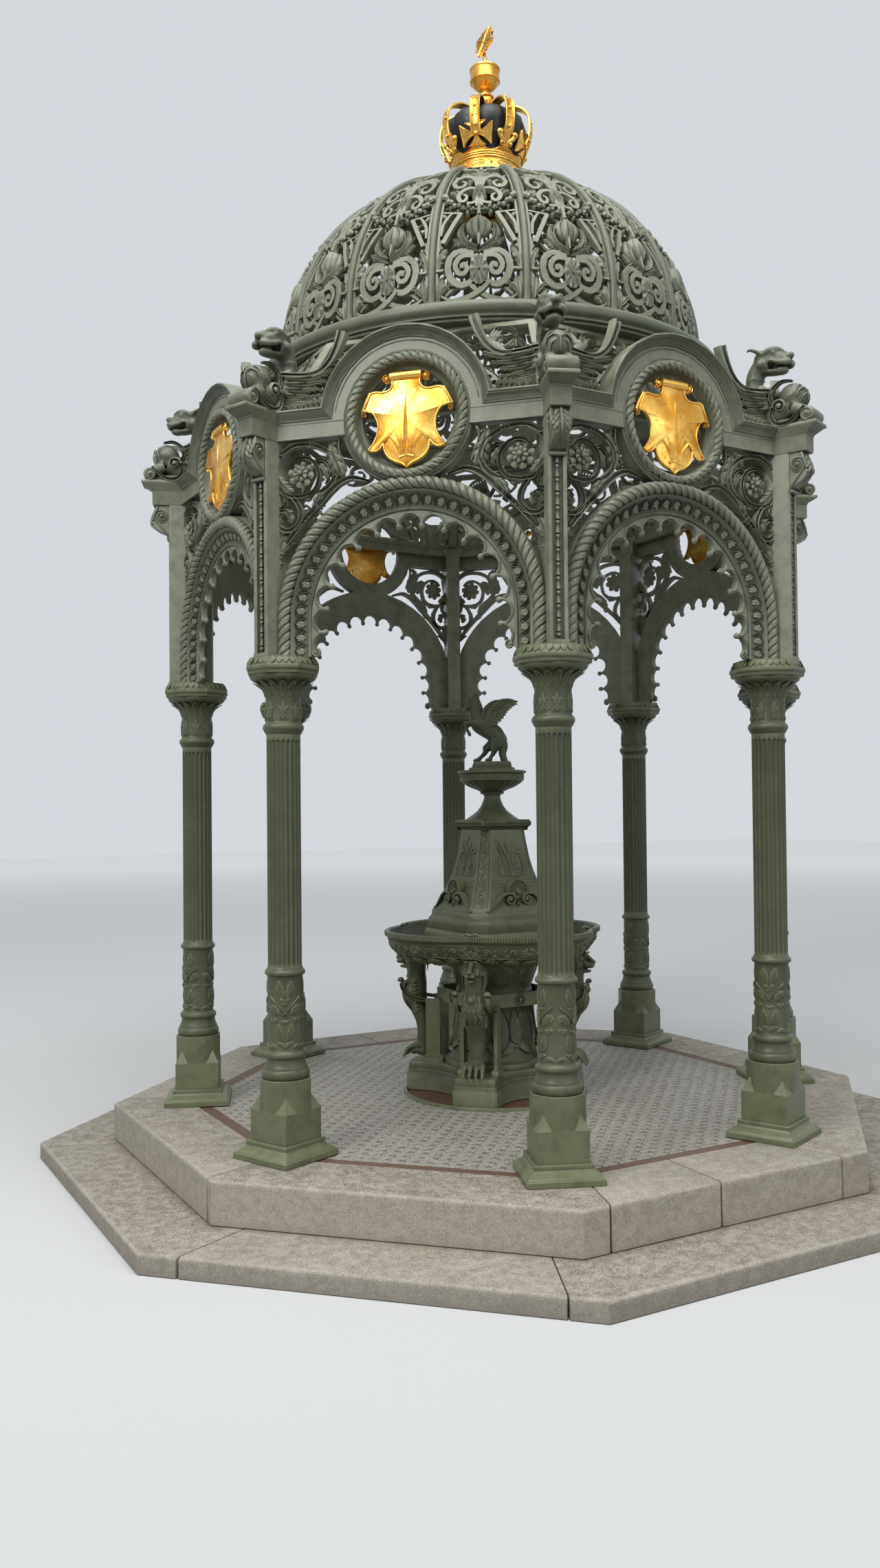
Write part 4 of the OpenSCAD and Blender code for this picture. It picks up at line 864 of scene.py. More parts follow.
def kerb_stone(cast, start, end, section, outer, joint=0.003, arris=0.004):
    """One stone between two joints. Joints run in towards the axis."""
    half_side = outer * math.tan(HALF_BAY)
    middle = np.mean(section, 0)

    def ring_at(s, k, inset):
        u = (s - k - 0.5) * 2 * half_side
        angle = math.radians(-135 + 45 * k)
        ring = []
        for apothem, z in section:
            a = apothem + (middle[0] - apothem) * inset
            h = z + (middle[1] - z) * inset
            v = u * a / outer
            ring.append((a * math.cos(angle) - v * math.sin(angle),
                         a * math.sin(angle) + v * math.cos(angle), h))
        return ring

    def corner_ring(k):
        return [(*octagon_point(k, a, k), z) for a, z in section]

    step = 1 / (2 * half_side)
    first, last = math.floor(start), math.floor(end)
    rings = [ring_at(start + joint * step, first, 0.04),
             ring_at(start + (joint + arris) * step, first, 0.0)]
    for k in range(first + 1, last + 1):
        rings.append(corner_ring(k))
    rings += [ring_at(end - (joint + arris) * step, last, 0.0),
              ring_at(end - joint * step, last, 0.04)]
    loft(cast, rings)


def kerb_section(inner, outer, low, high, worn=0.014):
    """Section of a kerb with a worn front arris and support points near its edges."""
    rounded = [(outer - worn + worn * math.sin(a), high - worn + worn * math.cos(a))
               for a in np.radians([0, 22, 45, 68, 90])]
    return [(inner, low), (inner, high - 0.003), (inner + 0.003, high),
            (inner + 0.012, high), *[(a, z) for a, z in rounded],
            (outer, high - worn - 0.012), (outer, low + 0.004), (outer - 0.004, low)]


UPPER_OUT = 1.88 * math.cos(HALF_BAY)
LOWER_OUT = 2.23 * math.cos(HALF_BAY)
upper_joints = [1.084, 1.448, 1.897, 2.93, 3.5, 4.08, 4.95, 5.46, 6.04, 6.93, 7.97, 9.084]
lower_joints = [0.0934, 0.9218, 1.95, 2.86, 4.07, 5.1, 5.55, 6.12, 7.06, 8.0934]
upper, lower = Casting(), Casting()
for start, end in zip(upper_joints[:-1], upper_joints[1:]):
    kerb_stone(upper, start, end, kerb_section(1.409, UPPER_OUT, 0.081, PLATFORM), UPPER_OUT)
for start, end in zip(lower_joints[:-1], lower_joints[1:]):
    kerb_stone(lower, start, end, kerb_section(1.68, LOWER_OUT, 0.0, 0.08), LOWER_OUT)
plate(lower, [octagon_point(k, 1.684, k) for k in range(SIDES)], 0.0, 0.0795)
make_piece("upper_kerb_stones", upper, granite, ["upper_step"])
make_piece("lower_kerb_stones", lower, granite, ["lower_step"])
print(len(upper_joints) - 1, "stones above and", len(lower_joints) - 1, "below")

# %% Mosaic floor and iron ring
floor_cast, ring_cast = Casting(), Casting()
FLOOR_Z = PLATFORM - 0.004
plate(floor_cast, [octagon_point(k, 1.408, k) for k in range(SIDES)], 0.081, FLOOR_Z)
make_piece("mosaic_bed", floor_cast, mosaic, ["mosaic_floor"])
ring_profile = [(0.444, FLOOR_Z - 0.002), (0.444, FLOOR_Z + 0.012), (0.447, FLOOR_Z + 0.016),
                (0.459, FLOOR_Z + 0.016), (0.462, FLOOR_Z + 0.012), (0.462, FLOOR_Z - 0.002)]
turned(ring_cast, ring_profile, 128, closed=True)
make_piece("fountain_kerb_ring", ring_cast, green_paint, ["mosaic_floor"])
print("floor at", FLOOR_Z)
# %% [markdown]
# Each column is one casting: a square moulded base, a block whose corners end in pyramid stops,
# an octagon, turned rings, a band with leaf sprays, a fluted shaft and a bell under an
# eight-sided abacus. The square parts are stacks of squares with small chamfers, the turned
# parts are profiles, and the flutes are a profile whose radius ripples round the axis. One
# column is built and then placed eight times, because the real ones came from one pattern.

# %% Square and eight-sided stages


def plan_round(side, turns):
    """The points of one side repeated round the axis."""
    points = []
    for turn in range(turns):
        a = turn * 2 * math.pi / turns
        points += [(x * math.cos(a) - y * math.sin(a), x * math.sin(a) + y * math.cos(a))
                   for x, y in side]
    return np.asarray(points)


def square_plan(half, chamfer=0.002, inset=0.005):
    """A square with small chamfers and support points beside them."""
    h, c = half, chamfer
    return plan_round([(h, -h + c + inset), (h, h - c - inset), (h, h - c), (h - c, h),
                       (h - c - inset, h)], 4)


def octagon_plan(apothem, chamfer=0.0015, inset=0.005):
    """An octagon with small chamfers and support points beside them."""
    side = apothem * math.tan(HALF_BAY)
    return plan_round([(apothem, -side + chamfer), (apothem, -side + chamfer + inset),
                       (apothem, side - chamfer - inset), (apothem, side - chamfer)], SIDES)


def stages(cast, plan, levels):
    """A stack of one plan shape at (half width, height) levels."""
    rings = []
    for half, z in levels:
        flat = plan(half)
        rings.append(np.column_stack([flat, np.full(len(flat), z)]))
    loft(cast, rings)


BLOCK = 0.1025
column = Casting()
stages(column, square_plan, mm(150, 0, 152.5, 2, 152.5, 22, 150, 25, 145, 25.5, 143.5, 28.5,
    140, 33, 134, 37.5, 127, 41.5, 120.5, 46, 116, 51.5, 114, 57.5, 113.5, 60, 115.5, 61,
    115.5, 72, 113.5, 74.5, 104, 75))
stages(column, square_plan, [(BLOCK, 0.07), (BLOCK, 0.08), (BLOCK, 0.19), (BLOCK, 0.1965),
    (BLOCK - 0.0015, 0.198)])
stages(column, octagon_plan, [(BLOCK - 0.001, 0.19), (BLOCK, 0.2), (BLOCK, 0.318),
    (BLOCK, 0.3235), (BLOCK - 0.0015, 0.325)])
STOP_H = 0.058
corner_c = BLOCK * math.tan(HALF_BAY)
top_m = BLOCK * math.cos(math.pi / 4)
for turn in range(4):
    a = turn * math.pi / 2
    spin = np.array([[math.cos(a), -math.sin(a), 0], [math.sin(a), math.cos(a), 0], [0, 0, 1]])
    tip = np.array([[BLOCK, BLOCK, 0.197], [BLOCK, corner_c, 0.197], [corner_c, BLOCK, 0.197],
                    [top_m, top_m, 0.198 + STOP_H]]) @ spin.T
    column.add(tip, [np.array([[0, 1, 2], [0, 3, 1], [1, 3, 2], [2, 3, 0]])])
print("square stages done,", column.triangles(), "triangles")

# %% Turned rings and fluted shaft
turned(column, mm(0, 315, 90, 315, 94, 327, 97, 333, 98.5, 341, 98, 350, 95.5, 358, 91.5, 363,
    90, 364, 90, 370, 86.5, 376, 83, 385, 80.5, 395, 79.5, 405, 80, 409, 83.5, 410.5, 86, 415,
    86.8, 421, 86, 428, 83, 433, 79, 435, 75, 437, 72.2, 442, 72, 450, 72, 738, 72.5, 744,
    77.5, 745.5, 81.5, 749, 83, 755, 82.5, 761, 79.5, 766, 75, 769, 73, 775, 71.2, 779, 0, 779),
    64)

FLUTES = 20
SHAFT_LOW, SHAFT_HIGH = 0.775, 1.737


def fluted(angle, radius, height):
    """Hollows with sharp arrises between them, ending in round arches."""
    u = ((angle * FLUTES / (2 * math.pi)) % 1.0 - 0.5) * 2
    near_end = np.minimum(height - SHAFT_LOW - 0.012, SHAFT_HIGH - 0.03 - height)
    arch = np.clip(near_end / 0.01, 0, 1)
    wide = 0.8 * np.sqrt(np.clip(1 - (1 - arch) ** 2, 0, 1))
    inside = np.clip(1 - (u / np.maximum(wide, 1e-6)) ** 2, 0, 1)
    return radius - 0.0062 * np.sqrt(inside) * (wide > 0.02)


shaft_levels = [SHAFT_LOW, SHAFT_LOW + 0.012, SHAFT_LOW + 0.0135, SHAFT_LOW + 0.016,
                SHAFT_LOW + 0.02, SHAFT_LOW + 0.0245, 1.2, SHAFT_HIGH - 0.0425,
                SHAFT_HIGH - 0.038, SHAFT_HIGH - 0.034, SHAFT_HIGH - 0.0315,
                SHAFT_HIGH - 0.03, SHAFT_HIGH]
turned(column, [(0, SHAFT_LOW), *[(0.0702, z) for z in shaft_levels], (0, SHAFT_HIGH)],
       FLUTES * 8, fluted)
turned(column, mm(0, 1730, 70, 1730, 73.5, 1736, 77.5, 1740, 79, 1744, 80, 1748, 83.5, 1752,
    85, 1759, 84, 1767, 80, 1773, 75.5, 1776, 73.5, 1780, 72.5, 1786, 72.2, 1870, 73.5, 1885,
    77, 1900, 83, 1915, 91, 1928, 101, 1938, 113, 1946, 124, 1952, 132, 1958, 136, 1964,
    137.5, 1970, 138, 1978, 0, 1978), 64)
print("shaft done,", column.triangles(), "triangles")

# %% Abacus with its sloping, scalloped top


def corner_octagon(radius, chamfer=0.0015, inset=0.006):
    return octagon_plan(radius * math.cos(HALF_BAY), chamfer, inset)


stages(column, corner_octagon, mm(148, 1974, 153, 1976.5, 154.5, 1980, 154.5, 1990, 158, 1993,
    160, 1997, 160, 2008, 158.5, 2011, 154, 2016, 150, 2024, 147, 2033, 144, 2040, 143, 2045))
scallop = Casting()
for k in range(32):
    a = (k + 0.5) * 2 * math.pi / 32
    fold = math.cos(HALF_BAY) / math.cos((a + HALF_BAY) % (2 * HALF_BAY) - HALF_BAY)
    one = Casting()
    blade(one, mm(0, 0, 0, 12, 0, 29), 0.0125, 0.0045, across=7)
    out = 0.1585 * fold

    def lean(p, a=a, out=out):
        r = out - p[:, 1] * 0.52 + p[:, 2] * 0.7
        z = 2.0125 + p[:, 1] * 1.02 + p[:, 2] * 0.5
        return np.stack([r * np.cos(a) - p[:, 0] * np.sin(a),
                         r * np.sin(a) + p[:, 0] * np.cos(a), z], -1)
    scallop.join(one, lean)
column.join(scallop)
print("abacus done,", column.triangles(), "triangles")

# %% [markdown]
# The band above the base carries cast leaf sprays: ribbed leaves in pairs, tied stems that
# cross, and small leaves along the foot. They are drawn flat over one third of the girth and
# bent round the post three times, so the relief stays a few millimetres high all round.

# %% Leaf sprays on the band and the necking
spray = Casting()
THIRD = 2 * math.pi * 0.072 / 3
for side in (-1, 1):
    leaf(spray, mm(6, 655, 20, 690, 26, 728) * [side, 1], 0.017, 0.006, lobes=5, cut=0.12)
    leaf(spray, mm(6, 480, 22, 512, 26, 550) * [side, 1], 0.017, 0.006, lobes=5, cut=0.12)
    blade(spray, mm(4, 640, 14, 652, 24, 650) * [side, 1], 0.006, 0.004)
    blade(spray, mm(72, 452, 50, 462, 30, 455) * [side, 1], 0.009, 0.005)
    blade(spray, mm(0, 452, 14, 470, 36, 476) * [side, 1], 0.009, 0.005)
    leaf(spray, mm(20, 590, 45, 612, 68, 622) * [side, 1], 0.019, 0.006, lobes=3, cut=0.35)
    leaf(spray, mm(30, 572, 48, 566, 66, 575) * [side, 1], 0.01, 0.005, lobes=2, cut=0.25)
    wire(spray, mm(-12, 585, 18, 617, 62, 660) * [side, 1], [0.002, 0.002, 0.0035], 0.0055,
        count=10)
    ball(spray, (side * 0.005, 0.632, 0.002), 0.004, steps=8, rows=5)
    wire(spray, mm(12, 600, -6, 590) * [side, 1], 0.0018, 0.0075, count=6)
blade(spray, mm(-18, 566, 0, 560, 18, 566), 0.006, 0.005)
for k in range(3):
    wrap = round_post(0.0718)
    column.join(spray, lambda p, k=k: wrap(p + [k * THIRD + 0.018, 0, 0]))
neck = Casting()
for side in (-1, 1):
    wire(neck, spiral((side * 0.011, 1.796), 0.009, 0.003, 90, side * 1.2, 14), 0.0024, 0.004,
        count=14)
    leaf(neck, mm(0, 1812, 10, 1832, 21, 1846) * [side, 1], 0.007, 0.005, lobes=2, cut=0.25,
        across=7)
leaf(neck, mm(0, 1790, 0, 1820, 0, 1868), 0.01, 0.006, lobes=3, cut=0.3)
ball(neck, (0.026, 1.8, 0.001), 0.004, steps=8, rows=5)
NECK_TURNS = 8
for k in range(NECK_TURNS):
    wrap = round_post(0.0722)
    step = 2 * math.pi * 0.0722 / NECK_TURNS
    column.join(neck, lambda p, k=k: wrap(p + [k * step, 0, 0]))
for k in range(16):
    a = k * 2 * math.pi / 16
    one = Casting()
    leaf(one, mm(0, 0, 0, 30, 0, 62), 0.015, 0.005, lobes=2, cut=0.18, across=7)

    def on_bell(p, a=a):
        t = p[:, 1] / 0.062
        r = 0.0745 + 0.052 * t ** 2.2 + p[:, 2] * (1 - 0.4 * t)
        z = 1.884 + 0.062 * t ** 0.8 - p[:, 2] * t
        bend = p[:, 0] / 0.085
        return np.stack([r * np.cos(a + bend), r * np.sin(a + bend), z], -1)
    column.join(one, on_bell)
column = thinned(column, 0.4)
make_eight("column_casting", column, lambda k: standing_at(corner_angle(k)), green_paint,
           "column")
# %% [markdown]
# Two Geometry Nodes trees make what repeats. The first lays a twisted rope along a path: the
# curve is resampled, its tilt grows with the distance along it, and a lobed profile is swept
# over it, so each lobe becomes a strand. The second sets one ornament at even steps along a
# path, turned to follow it. Both give a plain mesh that is read back as arrays.

# %% Rope and repeat trees


def nodes_tree(name, sockets):
    """A Geometry Nodes tree with named inputs. Gives the tree and its input node."""
    tree = bpy.data.node_groups.new(name, "GeometryNodeTree")
    tree.interface.new_socket("Geometry", in_out="INPUT", socket_type="NodeSocketGeometry")
    for label, kind, value in sockets:
        socket = tree.interface.new_socket(label, in_out="INPUT", socket_type=kind)
        if value is not None:
            socket.default_value = value
    tree.interface.new_socket("Geometry", in_out="OUTPUT", socket_type="NodeSocketGeometry")
    return tree, put(tree, "NodeGroupInput")


def end_tree(tree, geometry, material):
    """Realizes the instances, sets the material and closes the tree."""
    real = put(tree, "GeometryNodeRealizeInstances", {"Geometry": geometry})
    painted = put(tree, "GeometryNodeSetMaterial",
                  {"Geometry": real.outputs[0], "Material": material})
    put(tree, "NodeGroupOutput", {"Geometry": painted.outputs[0]})


rope_tree, given = nodes_tree("twisted_rope", [
    ("Radius", "NodeSocketFloat", 0.02), ("Turns", "NodeSocketFloat", 10.0),
    ("Strand Depth", "NodeSocketFloat", 0.24), ("Slices", "NodeSocketInt", 200)])
curve = put(rope_tree, "GeometryNodeMeshToCurve", {"Mesh": given.outputs["Geometry"]})
even = put(rope_tree, "GeometryNodeResampleCurve",
           {"Curve": curve.outputs[0], "Count": given.outputs["Slices"]})
share = put(rope_tree, "GeometryNodeSplineParameter").outputs["Factor"]
twist = maths(rope_tree, "MULTIPLY", maths(rope_tree, "MULTIPLY", share, 2 * math.pi),
              given.outputs["Turns"])
tilted = put(rope_tree, "GeometryNodeSetCurveTilt", {"Curve": even.outputs[0], "Tilt": twist})
circle = put(rope_tree, "GeometryNodeCurvePrimitiveCircle",
             {"Resolution": 15, "Radius": given.outputs["Radius"]})
here = put(rope_tree, "GeometryNodeInputPosition").outputs[0]
parts = put(rope_tree, "ShaderNodeSeparateXYZ", {0: here})
angle = maths(rope_tree, "ARCTAN2", parts.outputs[1], parts.outputs[0])
wave = maths(rope_tree, "ABSOLUTE",
             maths(rope_tree, "SINE", maths(rope_tree, "MULTIPLY", angle, 1.5)))
lobe = maths(rope_tree, "MULTIPLY", maths(rope_tree, "POWER", wave, 0.6),
             given.outputs["Strand Depth"])
shrink = maths(rope_tree, "ADD", lobe,
               maths(rope_tree, "SUBTRACT", 1.0, given.outputs["Strand Depth"]))
scaled = put(rope_tree, "ShaderNodeVectorMath", {0: here, "Scale": shrink}, operation="SCALE")
strands = put(rope_tree, "GeometryNodeSetPosition",
              {"Geometry": circle.outputs[0], "Position": scaled.outputs[0]})
rope_skin = put(rope_tree, "GeometryNodeCurveToMesh",
                {"Curve": tilted.outputs[0], "Profile Curve": strands.outputs[0],
                 "Fill Caps": True})
end_tree(rope_tree, rope_skin.outputs[0], grey_paint)

repeat_tree, given = nodes_tree("repeat_along_path", [
    ("Ornament", "NodeSocketObject", None), ("Count", "NodeSocketInt", 10)])
curve = put(repeat_tree, "GeometryNodeMeshToCurve", {"Mesh": given.outputs["Geometry"]})
points = put(repeat_tree, "GeometryNodeCurveToPoints",
             {"Curve": curve.outputs[0], "Count": given.outputs["Count"]}, mode="COUNT")
outward = put(repeat_tree, "ShaderNodeCombineXYZ", {2: 1.0})
follow = put(repeat_tree, "FunctionNodeAxesToRotation",
             {0: points.outputs["Tangent"], 1: outward.outputs[0]},
             primary_axis="X", secondary_axis="Z")
ornament = put(repeat_tree, "GeometryNodeObjectInfo", {0: given.outputs["Ornament"]})
copies = put(repeat_tree, "GeometryNodeInstanceOnPoints",
             {"Points": points.outputs[0], "Instance": ornament.outputs["Geometry"],
              "Rotation": follow.outputs[0]})
end_tree(repeat_tree, copies.outputs[0], grey_paint)
print("two node trees:", rope_tree.name, "and", repeat_tree.name)

# %% Run a tree along a path


def run_tree(tree, path, closed=False, **inputs):
    """Runs a tree on a path drawn flat and gives the result as a casting."""
    path = np.asarray(path, float)
    if path.shape[1] == 2:
        path = np.column_stack([path, np.zeros(len(path))])
    n = len(path)
    edges = [(k, k + 1) for k in range(n - 1)] + ([(n - 1, 0)] if closed else [])
    mesh = bpy.data.meshes.new("path")
    mesh.from_pydata(path.tolist(), edges, [])
    holder = bpy.data.objects.new("path", mesh)
    bpy.context.scene.collection.objects.link(holder)
    modifier = holder.modifiers.new(tree.name, "NODES")
    modifier.node_group = tree
    for item in tree.interface.items_tree:
        if item.item_type == "SOCKET" and item.in_out == "INPUT" and item.name in inputs:
            modifier[item.identifier] = inputs[item.name]
    return taken_from(holder)


# %% [markdown]
# A third node tree sets copies evenly round the vertical axis: the sides of the frieze, the
# ribs and panels of the dome, the parts of the crown and the gadroons of the fountain.

# %% Copies round the axis
spin_tree, given = nodes_tree("copies_round_axis", [
    ("Count", "NodeSocketInt", 8), ("Start", "NodeSocketFloat", 0.0)])
line = put(spin_tree, "GeometryNodeMeshLine",
           {"Count": given.outputs["Count"], "Offset": (0, 0, 0)})
number = put(spin_tree, "GeometryNodeInputIndex").outputs[0]
step_angle = maths(spin_tree, "DIVIDE", 2 * math.pi, given.outputs["Count"])
turned_by = maths(spin_tree, "ADD", maths(spin_tree, "MULTIPLY", number, step_angle),
                  given.outputs["Start"])
about_z = put(spin_tree, "ShaderNodeCombineXYZ", {2: turned_by})
copies = put(spin_tree, "GeometryNodeInstanceOnPoints",
             {"Points": line.outputs[0], "Instance": given.outputs["Geometry"],
              "Rotation": about_z.outputs[0]})
end_tree(spin_tree, copies.outputs[0], grey_paint)


def spun(cast, count, start=0.0):
    """Copies of a casting set evenly round the vertical axis."""
    thing = as_object("spun", cast)
    modifier = thing.modifiers.new("spun", "NODES")
    modifier.node_group = spin_tree
    for item in spin_tree.interface.items_tree:
        if item.item_type == "SOCKET" and item.in_out == "INPUT" and item.name in (
                "Count", "Start"):
            modifier[item.identifier] = {"Count": count, "Start": float(start)}[item.name]
    return taken_from(thing)


print("third node tree:", spin_tree.name)

# %% Ropes


def arch_path(radius, foot=SPRING, count=72):
    """From the left foot up, over the arch and down to the right foot."""
    over = arc((0, ARCH_Z), radius, 180, 0, count)
    return np.concatenate([[(-radius, foot), (-radius, (foot + ARCH_Z) / 2)], over,
                           [(radius, (foot + ARCH_Z) / 2), (radius, foot)]])


ROPE_R, ROPE_C, ROPE_OUT = 0.027, 0.528, 0.068
arch_rope = run_tree(rope_tree, arch_path(ROPE_C), Radius=ROPE_R, Turns=18.0, Slices=216)
ring_rope = run_tree(rope_tree, arc((0, MEDALLION_Z), 0.235, 90, 450, 97)[:-1], closed=True,
                     Radius=0.0205, Turns=15.0, Slices=165)
print("ropes:", arch_rope.triangles(), "and", ring_rope.triangles(), "triangles")

# %% [markdown]
# The arch ring is one moulding swept along the arch: an inner fillet, a splayed hollow face and
# an outer fillet under the rope. Thirty-two ribbed leaves stand in the splay, each between two
# wires that cross its neighbours'. Inside it hangs the cusped edge: a foil every fifteen
# degrees, each with a raised rim, and a ball on every point.

# %% Arch ring, leaf band and cusps
BAND_R = 0.5
ring_section = [(r - BAND_R, out) for r, out in [
    (0.424, 0.01), (0.424, 0.036), (0.427, 0.0405), (0.432, 0.042), (0.436, 0.04),
    (0.438, 0.0365), (0.445, 0.0375), (0.466, 0.0455), (0.487, 0.0575), (0.491, 0.064),
    (0.494, 0.0685), (0.499, 0.0705), (0.504, 0.069), (0.508, 0.06), (0.53, 0.052),
    (0.553, 0.048), (0.556, 0.044), (0.556, 0.01)]]
ring = Casting()
moulding(ring, arch_path(BAND_R, count=96), ring_section)

splay = math.atan2(0.02, 0.042)
unit_leaf = Casting()
leaf(unit_leaf, mm(2, -21, -1, 0, 4, 21), 0.0155, 0.0085, lobes=3, cut=0.25, across=7, fine=4)
SLIM_BAND = [(-1, 0), (-0.7, 0.8), (0, 1), (0.7, 0.8), (1, 0)]
for side in (-1, 1):
    band(unit_leaf, mm(28, -22, 20, -2, 10, 16, -4, 24) * [side, 1], 0.0016, 0.0075,
        section=SLIM_BAND, count=8)
    band(unit_leaf, mm(34, -14, 26, 8, 14, 22) * [side, 1], 0.0014, 0.006, section=SLIM_BAND,
        count=6)
for k in range(len(unit_leaf.points)):
    p = unit_leaf.points[k]
    unit_leaf.points[k] = np.stack([p[:, 0], p[:, 1] * math.cos(splay) - p[:, 2] * math.sin(splay),
                                    p[:, 1] * math.sin(splay) + p[:, 2] * math.cos(splay)], -1)
unit_object = as_object("leaf_unit", unit_leaf)
UNITS = 32
foot = 0.022
leaf_row = run_tree(repeat_tree, arch_path(0.4655, SPRING + foot), Ornament=unit_object,
                    Count=UNITS)
bpy.data.objects.remove(unit_object)

FOIL_R, FOIL_PITCH, FOIL_STEP = 0.0455, 0.364, 15
CUSP_BACK, CUSP_FRONT = 0.012, 0.034
foils = [(FOIL_PITCH * math.cos(math.radians(a)), ARCH_Z + FOIL_PITCH * math.sin(math.radians(a)),
          a) for a in range(0, 181, FOIL_STEP)]
inner = []
FOOT_FOIL = ARCH_Z - 0.095
inner += [(0.428, SPRING + 0.004), (0.404, SPRING + 0.01), (0.398, SPRING + 0.012)]
for x, y, a in [(FOIL_PITCH, FOOT_FOIL, 0), *foils, (-FOIL_PITCH, FOOT_FOIL, 180)]:
    low, high = -92, 92
    if y == FOOT_FOIL:
        low, high = (-48, 90) if x > 0 else (-90, 48)
    inner += [tuple(p) for p in arc((x, y), FOIL_R, a + low, a + high, 13)]
inner += [(-0.398, SPRING + 0.012), (-0.404, SPRING + 0.01), (-0.428, SPRING + 0.004)]
outline = inner + [tuple(p) for p in arch_path(0.43, SPRING + 0.006, 60)]
cusps = Casting()
plate(cusps, outline, CUSP_BACK, CUSP_FRONT)
for x, y, a in [(FOIL_PITCH, FOOT_FOIL, 0), *foils, (-FOIL_PITCH, FOOT_FOIL, 180)]:
    low, high = -96, 96
    if y == FOOT_FOIL:
        low, high = (-58, 92) if x > 0 else (-92, 58)
    wire(cusps, arc((x, y), FOIL_R + 0.0055, a + low, a + high, 9), 0.006, 0.0085,
        base=CUSP_FRONT - 0.002, count=15)
for a in np.arange(FOIL_STEP / 2, 180, FOIL_STEP):
    t = math.radians(a)
    ball(cusps, (0.363 * math.cos(t), ARCH_Z + 0.363 * math.sin(t), 0.025), 0.0135, steps=12,
         rows=8)
for side in (-1, 1):
    ball(cusps, (side * 0.366, ARCH_Z - 0.047, 0.025), 0.0135, steps=12, rows=8)
    wire(cusps, spiral((side * 0.402, SPRING + 0.014), 0.018, 0.005, 90, side * 1.25, 18), [0.006,
        0.004], 0.012, base=CUSP_FRONT - 0.004, count=20)
    ball(cusps, (side * 0.402, SPRING + 0.014, 0.036), 0.006, steps=8, rows=5)
print("ring", ring.triangles(), "leaf row", leaf_row.triangles(), "cusps", cusps.triangles())

# %% [markdown]
# The spandrel is an open scroll casting: a hollow-faced stem rises from the arch, winds round a
# rosette, throws off leaves towards the medallion and the pier, and a smaller spiral hangs
# below. It is drawn for the right half and mirrored. Its bars are solid, so the pierced
# openings are real and the sky shows through them.

# %% Spandrel scrolls
half = Casting()
BACK = 0.043
STEM = dict(base=BACK, section=HOLLOW_BAND)
band(half, mm(370, 2705, 335, 2730, 310, 2760, 300, 2800, 310, 2840, 340, 2873, 390, 2900,
    450, 2910, 500, 2900, 540, 2870, 557, 2830, 560, 2780, 545, 2732, 510, 2705, 460, 2697,
    410, 2708, 383, 2738, 375, 2790, 395, 2832, 435, 2855, 475, 2850, 500, 2825), [0.013, 0.011,
    0.011, 0.011, 0.01, 0.009, 0.007], 0.024, count=96, **STEM)
flower(half, (0.457, 2.793), 0.057, 8, 0.015, base=BACK + 0.004, hollow=0.9, turn=0.2)
flower(half, (0.457, 2.793), 0.033, 8, 0.012, base=BACK + 0.016, hollow=0.8, turn=0.6)
ball(half, (0.457, 2.793, BACK + 0.027), 0.011, steps=14, rows=8)
for x, y in ((0.553, 2.845), (0.555, 2.83), (0.557, 2.815), (0.39, 2.748), (0.385, 2.763),
             (0.383, 2.778), (0.412, 2.908), (0.398, 2.903), (0.384, 2.897)):
    ball(half, (x, y, BACK + 0.015), 0.0042, steps=8, rows=5)
band(half, mm(450, 2912, 490, 2908, 525, 2888, 548, 2880, 565, 2893, 574, 2925), [0.008, 0.013,
    0.013, 0.012, 0.01, 0.006], 0.022, count=30, **STEM)
leaf(half, mm(322, 2905, 318, 2868, 300, 2820, 276, 2765), 0.036, 0.022, lobes=4, base=BACK,
    cut=0.42)
leaf(half, mm(333, 2868, 322, 2895, 297, 2918), 0.015, 0.018, lobes=2, base=BACK, cut=0.25)
leaf(half, mm(318, 2815, 316, 2788, 306, 2762), 0.016, 0.02, lobes=2, base=BACK, cut=0.25)
wire(half, mm(288, 2925, 292, 2885, 285, 2855, 268, 2815, 262, 2790), [0.006, 0.004], 0.016,
    count=16, base=BACK)
band(half, mm(392, 2832, 370, 2843, 345, 2833, 327, 2805, 323, 2770), [0.007, 0.008, 0.006], 0.02,
    count=24, **STEM)
leaf(half, mm(390, 2828, 362, 2812, 347, 2785, 340, 2760), 0.02, 0.016, lobes=3, base=BACK,
    cut=0.35)
band(half, mm(547, 2752, 533, 2722, 520, 2692, 523, 2668, 543, 2657, 560, 2668), [0.008, 0.009,
    0.007, 0.005], 0.022, count=28, **STEM)
ball(half, (0.56, 2.67, BACK + 0.012), 0.008, steps=10, rows=6)
leaf(half, mm(559, 2800, 548, 2768, 524, 2738, 490, 2722), 0.027, 0.024, lobes=4, base=BACK,
    cut=0.4)
leaf(half, mm(525, 2735, 518, 2705, 520, 2670), 0.014, 0.018, lobes=2, base=BACK, cut=0.25)
leaf(half, mm(468, 2700, 430, 2694, 402, 2712), 0.016, 0.016, lobes=3, base=BACK, cut=0.35)
print("upper scroll", half.triangles(), "triangles")

